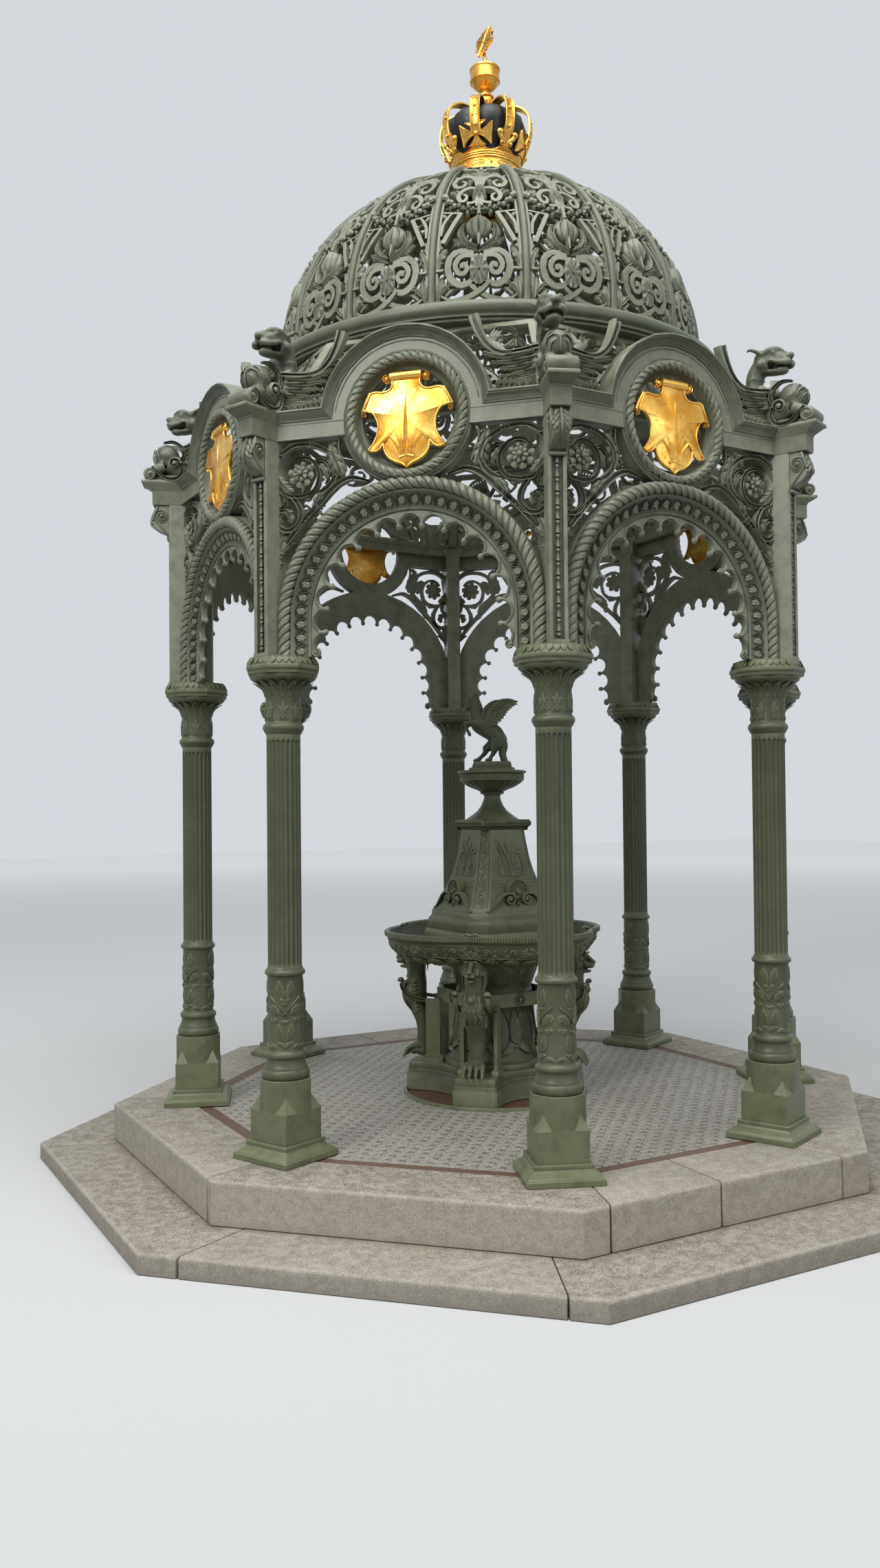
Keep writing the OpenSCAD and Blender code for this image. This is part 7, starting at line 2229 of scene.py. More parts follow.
for turn in (45, 135, 225, 315):
    flared_arm(emblem, math.radians(turn), 0.064, 0.056, (0, 0), thick=0.002)
    c, s = math.cos(math.radians(turn)), math.sin(math.radians(turn))
    ball(emblem, (0.068 * c, 0.068 * s, -0.0035), 0.0085, steps=12, rows=7)
emblem.join(emblem, lambda p: p * [1, 1, -1] - [0, 0, 0.007])
ball(emblem, (0, 0, -0.0035), 0.013, steps=14, rows=8)
CROSS_UP = unit(np.array([0.295, -0.167, 0.941]))
CROSS_SIDE = unit(np.array([-0.016, -0.928, -0.368]))
CROSS_OUT = np.cross(CROSS_SIDE, CROSS_UP)
cross_z = FINIAL_TOP - CROWN_Z - 0.087
top_cast.join(emblem, lambda p: (p[:, 0:1] * CROSS_SIDE + p[:, 1:2] * CROSS_UP
                                 + (p[:, 2:3] + 0.0035) * CROSS_OUT + [0, 0, cross_z]))
tube(top_cast, [(0, 0, 0.615), (0.002, 0, 0.64), (-0.004, 0.002, cross_z - 0.03)],
     [0.015, 0.009, 0.008], sides=12, count=8)
top_at = raised(top_cast, CROWN_Z)
make_piece("crown_finial", top_at, gold_leaf, ["finial"])
print("finial", top_at.triangles(), "triangles, all so far", total["triangles"])
# %% [markdown]
# The fountain in the middle stands on a plinth with four blocks. Round a leafy drum four lion
# legs carry a basin of four lobes. A square shaft with scrolled pediments rises out of it to a
# small gadrooned bowl with a rearing winged horse. Basin, shaft and horse are given here in
# heights above the platform, like everything else.

# %% Plinth and drum
FOOT_C = 0.52 * math.sqrt(0.5)


def plinth_outline(inset):
    """Four blocks on the diagonals with hollow curves between them."""
    half, reach = 0.108 - inset, 0.436 - inset
    points = []
    for k in range(4):
        a = math.radians(45 + 90 * k)
        block = np.array([(reach - 0.012, -half), (reach, 0.012 - half), (reach, half - 0.012),
                          (reach - 0.012, half)])
        points.append(block @ [[math.cos(a), math.sin(a)], [-math.sin(a), math.cos(a)]])
        axis = 90 * (k + 1)
        centre = 0.52 * np.array([math.cos(math.radians(axis)), math.sin(math.radians(axis))])
        points.append(arc(centre, FOOT_C - half, axis - 135, axis - 225, 14))
    return np.concatenate(points)


def fountain_piece(name, cast, node, sharp=38):
    """A green casting of the fountain, drawn in heights above the platform."""
    make_piece(name, raised(cast, PLATFORM), green_paint, [node], sharp)
    print(name, cast.triangles(), "triangles")


plinth = Casting()
moulding(plinth, plinth_outline(0), mm(0, 0, 0, 78, 4, 85, 4, 97, 9, 103, 9, 126, 13, 137,
    20, 140, 20, 0), closed=True)
plate(plinth, plinth_outline(0.016), 0.01, 0.1399)
fountain_piece("fountain_plinth", plinth, "fountain_plinth")

DRUM = mm(246, 135, 250, 142, 250, 160, 246, 168, 232, 172, 222, 180, 213, 200, 203, 240,
    192, 300, 187, 340, 181, 400, 180, 430, 182, 443, 190, 450, 193, 460, 193, 505, 190, 514,
    187, 520, 191, 550, 205, 590, 220, 625, 234, 665)


def on_drum(p):
    """Bends flat work round the drum, relief from its skin."""
    a = p[:, 0] / 0.19
    r = np.interp(p[:, 1], DRUM[:, 1], DRUM[:, 0]) + p[:, 2]
    return np.stack([r * np.cos(a), r * np.sin(a), p[:, 1]], -1)


drum = Casting()
turned(drum, [(0, 0.135), *DRUM, (0, 0.665)], 96)
board = Casting()
for lean, half, tip, high in ((1.0, 0.066, 0.245, 0.01), (0.0, 0.084, 0.212, 0.018)):
    x = lean * 2 * math.pi * 0.19 / 16
    leaf(board, [(x, 0.442), (x, 0.35), (x, tip)], half, high, lobes=3, base=-0.004, curl=0.016,
         cut=0.22, across=11)
    for side in (-1, 1):
        wire(board, [(x + side * 0.006, 0.436), (x + side * 0.46 * half, 0.36),
            (x + side * 0.42 * half, 0.28), (x, tip + 0.012)], [0.0025, 0.003, 0.001],
            [high + 0.002, high + 0.003, high + 0.012], count=16)
leaf(board, mm(0, 522, 0, 570, 0, 640), 0.062, 0.01, lobes=3, base=-0.002, cut=0.25)
drum.join(spun(Casting().join(board, on_drum), 8, HALF_BAY))
strap = Casting()
plate(strap, mm(-165, 448, 165, 448, 165, 513, -165, 513), 0, 0.012)
turned(strap, mm(0, 0, 31, 0, 31, 16, 28, 20, 24, 20, 22, 15, 11, 14, 10, 22, 6, 25, 0, 25), 28)
strap.points[-1] = strap.points[-1] + [0, 0.48, 0]
drum.join(spun(Casting().join(strap, lambda p: np.stack(
    [0.226 + p[:, 2], p[:, 0], p[:, 1]], -1)), 4))
drum = thinned(drum, 0.5)
fountain_piece("fountain_drum", drum, "fountain_core")

# %% A lion leg, drawn with its face towards +X
clay = Casting()
tube(clay, mm3(372, 0, 160, 374, 0, 225, 368, 0, 290, 378, 0, 350, 398, 0, 405, 410, 0, 460,
    408, 0, 530, 410, 0, 580, 412, 0, 640, 392, 0, 690), [0.036, 0.034, 0.037, 0.04, 0.046, 0.054,
    0.052, 0.048, 0.05, 0.046], [0.036, 0.034, 0.04, 0.044, 0.052, 0.056, 0.052, 0.048, 0.05,
    0.046], sides=18, count=30)
ball(clay, (0.424, 0, 0.47), 0.062, flat=1.2, steps=22, rows=14)
ball(clay, (0.474, 0, 0.516), 0.019, steps=14, rows=9)
tube(clay, mm3(360, 0, 172, 405, 0, 184, 432, 0, 172), [0.036, 0.046, 0.044], [0.026, 0.026,
    0.018], sides=16, count=10)
for y in (-0.041, -0.014, 0.014, 0.041):
    tube(clay, [(0.385, 0.75 * y, 0.202), (0.418, 0.95 * y, 0.206), (0.444, 1.05 * y, 0.19),
                (0.46, 1.12 * y, 0.16)], [0.01, 0.0125, 0.0125, 0.0095], sides=12, count=12)
ball(clay, (0.425, 0, 0.668), 0.05, flat=0.88, steps=22, rows=14)
tube(clay, mm3(440, 0, 646, 478, 0, 640, 500, 0, 636), [0.04, 0.03, 0.023], [0.026, 0.021, 0.015],
    sides=16, count=10)
tube(clay, mm3(458, 0, 696, 482, 0, 676, 507, 0, 655), [0.015, 0.012, 0.013], [0.012, 0.01,
    0.008], sides=12, count=10)
tube(clay, mm3(506, -11, 650, 512, 0, 652, 506, 11, 650), [0.006, 0.0085, 0.006], sides=10,
    count=8)
tube(clay, mm3(455, 0, 610, 480, 0, 606, 495, 0, 609), [0.026, 0.021, 0.012], [0.013, 0.009,
    0.006], sides=14, count=8)
for side in (-1, 1):
    tube(clay, mm3(474, 7, 694, 480, 22, 698, 464, 41, 686) * [1, side, 1], [0.005, 0.006, 0.003],
        sides=10, count=10)
    ball(clay, (0.474, side * 0.023, 0.681), 0.0062, steps=10, rows=7)
    ball(clay, (0.5, side * 0.013, 0.634), 0.013, flat=0.85, steps=12, rows=8)
    tube(clay, mm3(464, 34, 664, 470, 32, 650, 480, 25, 634) * [1, side, 1], [0.007, 0.01, 0.01],
        sides=10, count=8)
    ball(clay, (0.436, side * 0.03, 0.64), 0.024, steps=14, rows=9)
    ball(clay, (0.43, side * 0.046, 0.7), 0.0115, steps=12, rows=8)
skin = melted(clay, 0.0033, 0.4)
for y in (-0.046, -0.0157, 0.0157, 0.046):
    tube(skin, [(0.457, y, 0.166), (0.468, y, 0.16), (0.473, y, 0.143)],
         [0.0065, 0.0055, 0.0015], sides=6, count=6)
for side in (-1, 1):
    for k in range(6):
        x = 0.432 - 0.013 * k
        tube(skin, [(x - 0.008, side * (0.046 - 0.002 * k), 0.688),
                    (x + 0.004, side * 0.0525, 0.64), (x - 0.004, side * 0.05, 0.59),
                    (x + 0.008, side * 0.05, 0.548 + 0.006 * k)],
             [0.003, 0.0048, 0.0046, 0.001], [0.0015, 0.003, 0.003, 0.001], sides=6, count=12)
diadem = Casting()
for lean, high in ((0, 0.752), (-0.02, 0.736), (0.02, 0.736), (-0.04, 0.722), (0.04, 0.722)):
    leaf(diadem, [(lean * 0.7, 0.7), (lean * 0.95, 0.716), (lean * 1.15, high)], 0.017, 0.012,
         lobes=2, curl=0.01, cut=0.3)
wire(diadem, mm(-52, 700, -26, 709, 0, 712, 26, 709, 52, 700), 0.004, 0.012, count=20)
skin.join(diadem, lambda p: np.stack([
    0.462 + p[:, 2] - 6.0 * p[:, 0] ** 2 + 0.3 * (p[:, 1] - 0.7), p[:, 0], p[:, 1]], -1))


def leg_front(p):
    """Flat work on the front of the leg: x across, y up, relief outwards."""
    z = [0.36, 0.4, 0.42, 0.44, 0.47, 0.5, 0.52, 0.56]
    r = [0.422, 0.452, 0.47, 0.48, 0.486, 0.481, 0.474, 0.46]
    return np.stack([np.interp(p[:, 1], z, r) + p[:, 2] - 7.0 * p[:, 0] ** 2, p[:, 0], p[:, 1]],
                    -1)


def leg_cheek(side):
    """Flat work on a cheek of the leg: x outwards, y up."""
    return lambda p: np.stack([p[:, 0], side * p[:, 2], p[:, 1]], -1)


front = Casting()
for row in range(5):
    z = 0.54 - 0.03 * row
    for k in range(4):
        x = (k - 1.5) * 0.021 + 0.006 * (row % 2)
        if row == 1 and abs(x) < 0.02:
            continue
        leaf(front, [(x, z), (x * 1.15, z - 0.016), (x * 1.2, z - 0.036)], 0.008, 0.0042,
             lobes=1, base=-0.0028, across=5, fine=6)
skin.join(front, leg_front)
for side in (-1, 1):
    cheek = Casting()
    wire(cheek, spiral((0.474, 0.545), 0.016, 0.003, 250, -1.3, 26), [0.006, 0.004, 0.003], 0.024,
        base=0.068, count=26)
    ball(cheek, (0.474, 0.545, 0.092), 0.006, steps=10, rows=6)
    band(cheek, mm(470, 530, 462, 502, 438, 474, 400, 456, 345, 448, 290, 446), [0.005, 0.007,
        0.008, 0.008, 0.01], 0.02, base=0.07, count=30)
    for k in range(8):
        z = 0.54 - 0.021 * k
        x = 0.404 - 0.002 * k
        leaf(cheek, [(x - 0.014, z + 0.004), (x + 0.002, z), (x + 0.016, z - 0.018)], 0.012,
             0.022 - 0.0012 * k, lobes=1, base=0.046, across=5, fine=6)
    plate(cheek, mm(250, 140, 352, 140, 352, 166, 335, 176, 335, 458, 262, 458, 262, 176,
        250, 166), 0.074, 0.092)
    plate(cheek, mm(245, 140, 358, 140, 358, 158, 352, 164, 250, 164, 245, 158), 0.066, 0.1)
    skin.join(cheek, leg_cheek(side))
legs = spun(thinned(skin, 0.42), 4, math.pi / 4)
fountain_piece("lion_legs", legs, "lion_legs", sharp=50)

# %% Basin of four lobes
LOBE_C = 0.17
UNDER = mm(150, 664, 200, 664, 239, 666, 275, 676, 318, 694, 350, 716, 371, 742, 380, 765,
    383, 780)
RIM = [(0.387, 0.783), (0.3895, 0.788), (0.3955, 0.792), (0.3965, 0.802), (0.393, 0.807),
       (0.3965, 0.811), (0.3965, 0.8165), (0.391, 0.819), (0.383, 0.818), (0.3745, 0.812)]
INSIDE = [(0.371, 0.795), (0.361, 0.758), (0.316, 0.7075), (0.25, 0.688), (0.217, 0.686),
          (0.15, 0.6855)]


def lobed(rho, height, lobe_steps):
    """Rings round the basin, at distances rho from the lobes' centres."""
    d = (np.arange(lobe_steps * 4) % lobe_steps) / lobe_steps * math.pi / 2 - math.pi / 4
    angle = np.arange(lobe_steps * 4) / (lobe_steps * 4) * 2 * math.pi - math.pi / 4
    rho, height = np.asarray(rho)[:, None], np.asarray(height)[:, None]
    r = LOBE_C * np.cos(d) + np.sqrt(rho ** 2 - (LOBE_C * np.sin(d)) ** 2)
    return np.stack([r * np.cos(angle), r * np.sin(angle), height + 0 * r], -1)


basin = Casting()
profile = np.array([*UNDER, *RIM, *INSIDE])
loft(basin, lobed(profile[:, 0], profile[:, 1], 44))
reeds = 60
rib = 0.0042 * np.abs(np.sin(np.arange(reeds * 24) * math.pi / 6)) ** 0.7
rings = lobed([0.386, 0.3945, 0.396, 0.396, 0.3945, 0.386],
              [0.7925, 0.7925, 0.7945, 0.814, 0.816, 0.816], reeds * 6)
swell = np.array([0, 0.3, 1, 1, 0.3, 0])[:, None] * rib
rings[..., :2] *= (1 + swell / 0.45)[..., None]
loft(basin, rings, closed=True)
skin_run = np.concatenate([[0], np.cumsum(np.linalg.norm(np.diff(UNDER[::-1], axis=0), axis=1))])


def under_basin(p):
    """Lays flat work on a lobe's outside: x round it from its middle, y down from the rim."""
    run, shape = skin_run, UNDER[::-1]
    rho, z = np.interp(p[:, 1], run, shape[:, 0]), np.interp(p[:, 1], run, shape[:, 1])
    near = [np.interp(p[:, 1] + e, run, shape[:, k]) for e in (-0.01, 0.01) for k in (0, 1)]
    slope = unit(np.stack([near[2] - near[0], near[3] - near[1]], -1))
    rho, z = rho - p[:, 2] * slope[:, 1], z + p[:, 2] * slope[:, 0]
    psi = np.clip(p[:, 0] / 0.36, -1.09, 1.09)
    return np.stack([LOBE_C + rho * np.cos(psi), rho * np.sin(psi), z], -1)


relief = Casting()
for k in range(6):
    x, turn = (k - 2.5) * 0.128, 1 if k % 2 else -1
    wire(relief, spiral((x, 0.038), 0.024, 0.006, 90 - 60 * turn, 1.35 * turn, 26), [0.0045,
        0.004, 0.003], 0.006, base=-0.001, count=26)
    flower(relief, (x, 0.038), 0.01, 5, 0.009, base=0.001)
    wire(relief, [(x + turn * 0.024, 0.052), (x + turn * 0.045, 0.066), (x + turn * 0.075, 0.06),
        (x + turn * 0.104, 0.038)], [0.004, 0.005, 0.003], 0.005, base=-0.001, count=16)
    for u, v, w, h in ((0.03, 0.03, 0.058, 0.014), (0.04, 0.056, 0.066, 0.036),
                       (-0.026, 0.052, -0.05, 0.064), (0.008, 0.062, 0.02, 0.074)):
        leaf(relief, [(x + turn * u, v), (x + turn * (u + w) / 2, (v + h) / 2 + 0.006),
                      (x + turn * w, h)], 0.011, 0.006, lobes=2, base=-0.001, across=7)
    for u, v in ((0.05, 0.044), (0.062, 0.048), (0.055, 0.056), (-0.034, 0.02), (-0.042, 0.028),
                 (0.074, 0.024)):
        ball(relief, (x + turn * u, v, 0.001), 0.0058, steps=8, rows=5)
for k in range(7):
    x = (k - 3) * 0.112
    leaf(relief, [(x * 0.8, 0.185), (x * 0.92, 0.135), (x, 0.086)], 0.052, 0.014, lobes=4,
         base=-0.002, curl=0.01, cut=0.3)
wire(relief, mm(-392, 76, 0, 76, 392, 76), 0.0035, 0.006, base=-0.001, count=40)
wire(relief, mm(-392, 6, 0, 6, 392, 6), 0.003, 0.005, base=-0.001, count=40)
basin.join(spun(Casting().join(relief, under_basin), 4))
clasp = Casting()
ball(clasp, (0.478, 0, 0.822), 0.014, flat=0.55, steps=12, rows=7)
for side in (-1, 1):
    tube(clasp, mm3(470, 0, 822, 462, 22, 824, 470, 40, 820) * [1, side, 1], [0.005, 0.008,
        0.002], sides=8, count=8)
basin.join(spun(clasp, 4, math.pi / 4))
basin = thinned(basin, 0.4)
fountain_piece("fountain_basin", basin, "basin")

# %% Square shaft with its cap and neck
def square_plan(half, cut):
    """A square with its corners cut off."""
    side = [(half, cut - half), (half, half - cut), (half - cut, half), (cut - half, half)]
    points = np.array(side)
    return np.concatenate([points, -points])


shaft = Casting()
moulding(shaft, square_plan(0.29, 0.09), mm(0, 690, 0, 694, 0, 790, 0, 795, 6, 808, 14, 815,
    14, 819, 14, 850, 14, 854, 20, 858, 22, 868, 30, 876, 36, 884, 38, 906, 40, 910, 100, 910,
    100, 690), closed=True)
plate(shaft, square_plan(0.2, 0.02), 0.7, 0.9095)
TAPER = mm3(905, 243, 70, 914, 243, 70, 924, 238, 69, 950, 226.5, 67, 1000, 206, 63,
    1046, 188, 59, 1096, 170.5, 55, 1160, 154, 50, 1232, 141, 45, 1300, 130.5, 40, 1312, 129, 40)
loft(shaft, [np.column_stack([square_plan(h, c), np.full(8, z)]) for z, h, c in TAPER])


def taper_half(height):
    return np.interp(height, TAPER[:, 0], TAPER[:, 1])


def on_taper(p):
    """Flat work on a face of the tapering shaft: x across, y up, relief outwards."""
    return np.stack([taper_half(p[:, 1]) + p[:, 2], p[:, 0], p[:, 1]], -1)


def on_taper_corner(p):
    """Flat work on a cut corner of the shaft."""
    cut = np.interp(p[:, 1], TAPER[:, 0], TAPER[:, 2])
    wide = p[:, 0] * cut / 0.04
    return np.stack([(2 * taper_half(p[:, 1]) - cut) * math.sqrt(0.5) + p[:, 2], wide, p[:, 1]],
                    -1)


def on_pediment(p):
    """Flat work in the upright plane of the pediment."""
    return np.stack([0.222 + p[:, 2], p[:, 0], p[:, 1]], -1)


half_gable = Casting()
ARM = [(0.182, 0.916), (0.166, 0.922), (0.146, 0.938), (0.124, 0.962), (0.102, 0.985),
       (0.078, 1.0), (0.052, 1.003)]
band(half_gable, ARM, [0.0045, 0.005, 0.0055], 0.03, base=-0.006, section=FLAT_BAND, count=30)
band(half_gable, spiral((0.049, 0.973), 0.03, 0.012, 88, 1.15, 40), [0.0055, 0.0045, 0.004],
     0.03, base=-0.006, section=FLAT_BAND, count=40)
ball(half_gable, (0.047, 0.972, 0.014), 0.0135, steps=16, rows=10)
below = [(0, 0.909), (0.182, 0.909), *ARM, (0.03, 0.99), (0, 0.975)]
plate(half_gable, below, -0.03, 0.004)
gable = mirrored(half_gable)
dome_line = arc((0, 1.012), 0.053, -25, 205, 26)
plate(gable, [*dome_line, (-0.04, 0.98), (0.04, 0.98)], -0.045, 0.006)
wire(gable, dome_line, 0.0035, 0.013, count=30)
wire(gable, arc((0, 1.012), 0.036, 0, 180, 20), 0.0022, 0.01, count=24)
for a in range(6, 180, 12):
    c, s = math.cos(math.radians(a)), math.sin(math.radians(a))
    wire(gable, [(0.016 * c, 1.012 + 0.016 * s), (0.05 * c, 1.012 + 0.05 * s)], [0.0015, 0.0038],
        [0.008, 0.01], count=5)
ball(gable, (0, 1.006, 0.012), 0.0105, steps=14, rows=8)
leaf(gable, mm(0, 996, 0, 980, 0, 958), 0.012, 0.02, lobes=1, base=-0.002)
ball(gable, (0, 0.952, 0.01), 0.008, flat=0.8, steps=12, rows=7)
for side in (-1, 1):
    wire(gable, mm(0, 944, 8, 936, 7, 924, 0, 918) * [side, 1], 0.003, 0.016, count=12)
shaft.join(spun(Casting().join(gable, on_pediment), 4))
right = Casting()
for z in (1.064, 1.05, 1.036):
    wire(right, [(0.06, z), (0.08, z + 0.002), (0.1, z - 0.001), (0.118, z)], 0.0022, 0.0035,
        base=-0.001, count=12)
face = mirrored(right)
for points, half, high, lobes in [
        ([(-0.008, 1.082), (-0.03, 1.11), (-0.026, 1.15)], 0.026, 0.007, 1),
        ([(0.01, 1.082), (0.034, 1.096), (0.06, 1.092)], 0.02, 0.006, 1),
        ([(0.016, 1.11), (0.03, 1.14), (0.024, 1.172)], 0.02, 0.007, 1),
        ([(-0.07, 1.08), (-0.078, 1.12), (-0.066, 1.16)], 0.012, 0.006, 3),
        ([(0.08, 1.08), (0.088, 1.12), (0.074, 1.165)], 0.013, 0.006, 3),
        ([(0.055, 1.19), (0.066, 1.205), (0.062, 1.232)], 0.012, 0.006, 2),
        ([(-0.064, 1.22), (-0.06, 1.245), (-0.044, 1.262)], 0.01, 0.006, 2)]:
    leaf(face, points, half, high, lobes=lobes, base=-0.001, across=9)
for points, half in [
        ([(-0.05, 1.078), (-0.064, 1.11), (-0.04, 1.15), (-0.046, 1.19)], 0.0024),
        ([(0.0, 1.08), (-0.01, 1.15), (-0.04, 1.22), (-0.07, 1.268)], 0.0024),
        ([(0.04, 1.08), (0.05, 1.13), (0.034, 1.18), (0.046, 1.216)], 0.0024),
        ([(0.02, 1.09), (0.01, 1.16), (0.014, 1.21), (0.03, 1.25)], 0.0022),
        ([(0.06, 1.08), (0.074, 1.13), (0.062, 1.18)], 0.0022),
        ([(-0.02, 1.16), (-0.006, 1.2), (-0.016, 1.24), (-0.002, 1.282)], 0.0022),
        ([(-0.068, 1.16), (-0.056, 1.2), (-0.07, 1.23)], 0.002)]:
    wire(face, points, half, 0.005, base=-0.001, count=16)
for points in [[(-0.04, 1.196), (-0.062, 1.238)], [(0.038, 1.196), (0.072, 1.196)],
               [(0.04, 1.118), (0.058, 1.15)]]:
    wire(face, points, [0.006, 0.0065, 0.005], 0.009, base=-0.001, count=8)
shaft.join(spun(Casting().join(face, on_taper), 4))
vine = Casting()
wave = [(0.009 * math.sin(k * math.pi / 2), 0.935 + 0.02 * k) for k in range(19)]
wire(vine, wave, 0.0022, 0.005, base=-0.001, count=80)
for k in range(18):
    y, side = 0.942 + 0.02 * k, (-1) ** k
    leaf(vine, [(side * -0.006, y - 0.006), (side * 0.006, y), (side * 0.018, y + 0.014)], 0.0085,
         0.006, lobes=2, base=-0.001, across=7)
    ball(vine, (side * -0.014, y + 0.002, 0.001), 0.003, steps=8, rows=5)
for x in (-0.021, 0.021):
    wire(vine, [(x, 0.93), (x, 1.308)], 0.0022, 0.005, base=-0.001, count=12)
shaft.join(spun(Casting().join(vine, on_taper_corner), 4, math.pi / 4))
moulding(shaft, square_plan(0.143, 0.002), mm(21, 1308, 21, 1312, 17, 1324, 5, 1330, 1, 1335,
    0, 1339, 0, 1350, 4, 1353, 6, 1358, 12, 1362, 80, 1362, 80, 1308), closed=True)
plate(shaft, square_plan(0.08, 0.01), 1.31, 1.3615)
teeth = Casting()
for k in range(15):
    plate(teeth, box_plan(0.0045, 0.0052) * [1, 1] + [0, 0], 1.3365, 1.3495)
    teeth.points[-1] = teeth.points[-1] + [0.143, (k - 7) * 0.0187, 0]
shaft.join(spun(teeth, 4))
turned(shaft, mm(0, 1355, 137, 1355, 137, 1362, 125, 1370, 100, 1387, 75, 1407, 57, 1432,
    45, 1460, 41, 1477, 43, 1488, 0, 1488), 64)
shaft = thinned(shaft, 0.4)
fountain_piece("fountain_shaft", shaft, "fountain_shaft")

# %% Small bowl
def gadroons(angle, radius, height):
    share = np.interp(height, [1.512, 1.528, 1.552, 1.559], [0, 1, 1, 0])
    return radius * (1 - 0.05 * share * (1 - np.abs(np.sin(12 * angle))))


tazza = Casting()
turned(tazza, mm(0, 1485, 44, 1485, 47, 1490, 58, 1492, 61, 1498, 58, 1503, 64, 1506, 78, 1513,
    100, 1521, 122, 1531, 142, 1543, 155, 1554, 159, 1560, 163.5, 1562, 163.5, 1569, 160, 1571,
    160, 1593, 164, 1595, 173, 1598, 174.5, 1603, 170.5, 1609, 158, 1612, 100, 1613, 0, 1614),
    192, gadroons)
rib = Casting()
wire(rib, mm(0, 1572, 0, 1592), 0.0052, 0.0042, count=2)
tazza.join(spun(Casting().join(rib, lambda p: np.stack([0.159 + p[:, 2], p[:, 0], p[:, 1]], -1)),
                76))
fountain_piece("tazza", tazza, "tazza")

# %% Rearing winged horse, drawn in centimetres above its base


def limb(cast, points, widths, *more, **options):
    """A tube with a ball at each end."""
    tube(cast, points, widths, *more, **options)
    for point, width in ((points[0], widths[0]), (points[-1], widths[-1])):
        ball(cast, point, width, steps=14, rows=9)


clay = Casting()
limb(clay, [(4.4, 0, 11.2), (3.0, 0, 12.6), (0.6, 0, 14.8), (-2.6, 0, 17.0), (-5.6, 0, 19.4),
            (-7.0, 0, 22.6), (-7.8, 0, 26.2), (-8.2, 0, 29.8), (-8.7, 0, 32.2)],
     [3.6, 4.2, 4.1, 4.2, 4.4, 3.5, 2.6, 2.1, 1.7], [3.6, 4.6, 4.6, 4.8, 5.0, 4.2, 3.5, 2.9, 2.1],
     sides=20, count=40)
ball(clay, (-6.4, 0, 19.2), 4.1, steps=20, rows=12)
limb(clay, [(-8.2, 0, 32.4), (-9.8, 0, 31.2), (-11.4, 0, 29.0), (-12.8, 0, 26.9)],
     [1.5, 1.6, 1.15, 0.95], [1.7, 2.2, 1.5, 1.15], sides=16, count=16)
ball(clay, (-12.7, 0, 26.7), 1.15, steps=12, rows=8)
for side in (-1, 1):
    limb(clay, [(-8.6, side * 0.9, 33.2), (-8.7, side * 1.1, 34.6), (-8.8, side * 1.1, 35.7)],
         [0.7, 0.6, 0.15], sides=8, count=7)
    ball(clay, (-10.3, side * 1.3, 31.0), 0.55, steps=8, rows=6)
    limb(clay, [(-6.0, side * 2.6, 18.6), (-9.6, side * 2.8, 19.6), (-13.0, side * 2.6, 19.4)],
         [2.3, 1.5, 1.0], sides=14, count=12)
    limb(clay, [(-13.0, side * 2.6, 19.5), (-12.6, side * 2.5, 17.0), (-11.6, side * 2.4, 14.9),
                (-11.2, side * 2.4, 14.0)], [1.05, 0.72, 0.75, 0.95], sides=12, count=12)
limb(clay, [(2.6, 2.2, 12.2), (0.4, 2.5, 9.0), (-2.6, 2.6, 6.8)], [3.4, 3.0, 2.1], sides=16,
     count=12)
limb(clay, [(-2.6, 2.6, 6.9), (-3.4, 2.6, 4.6), (-5.0, 2.6, 2.8), (-6.8, 2.6, 1.3)],
     [1.8, 1.35, 1.0, 1.0], sides=12, count=14)
limb(clay, [(-6.4, 2.6, 1.2), (-8.4, 2.6, 0.5)], [1.15, 1.15], sides=12, count=6)
limb(clay, [(3.4, -2.2, 12.2), (2.8, -2.5, 9.0), (1.4, -2.6, 6.2)], [3.5, 3.1, 2.1], sides=16,
     count=12)
limb(clay, [(1.4, -2.6, 6.3), (0.9, -2.6, 4.2), (-0.3, -2.6, 2.4), (-1.0, -2.6, 1.0)],
     [1.8, 1.35, 1.0, 1.0], sides=12, count=14)
limb(clay, [(-0.6, -2.6, 1.0), (-2.3, -2.6, 0.5)], [1.1, 1.1], sides=12, count=6)
for y, shift in ((-0.9, 0.0), (0.0, 0.6), (0.9, -0.1)):
    limb(clay, [(4.6, y * 0.4, 13.0), (6.0 + shift * 0.3, y, 10.8), (5.9 + shift, y, 7.4),
                (5.2 + shift, y, 4.2), (5.8 + shift, y * 1.3, 1.8), (6.2 + shift, y, -0.2)],
         [1.1, 1.6, 1.8, 1.7, 1.5, 1.5], sides=12, count=24)
for k in range(8):
    x, z = -8.0 + 0.42 * k, 34.0 - 1.25 * k
    limb(clay, [(x - 0.6, 0, z + 0.4), (x + 0.9, (-1) ** k * 0.5, z - 0.2),
                (x + 1.5, (-1) ** k * 0.9, z - 1.8)], [0.8, 0.75, 0.25], sides=8, count=8)
horse = melted(clay, 0.24, 0.45)
TIPS = [(13.4, 29.7), (12.0, 28.9), (10.8, 27.9), (9.6, 26.9), (8.4, 25.6), (7.4, 24.1),
        (6.3, 22.5), (5.0, 21.0), (3.5, 19.7), (1.9, 18.5)]
STARTS = [(2.0, 29.6), (0.4, 28.7), (-0.9, 27.6), (-1.8, 26.3), (-2.4, 24.9), (-2.8, 23.6),
          (-3.1, 22.4), (-3.4, 21.2), (-3.6, 20.0), (-3.8, 18.8)]
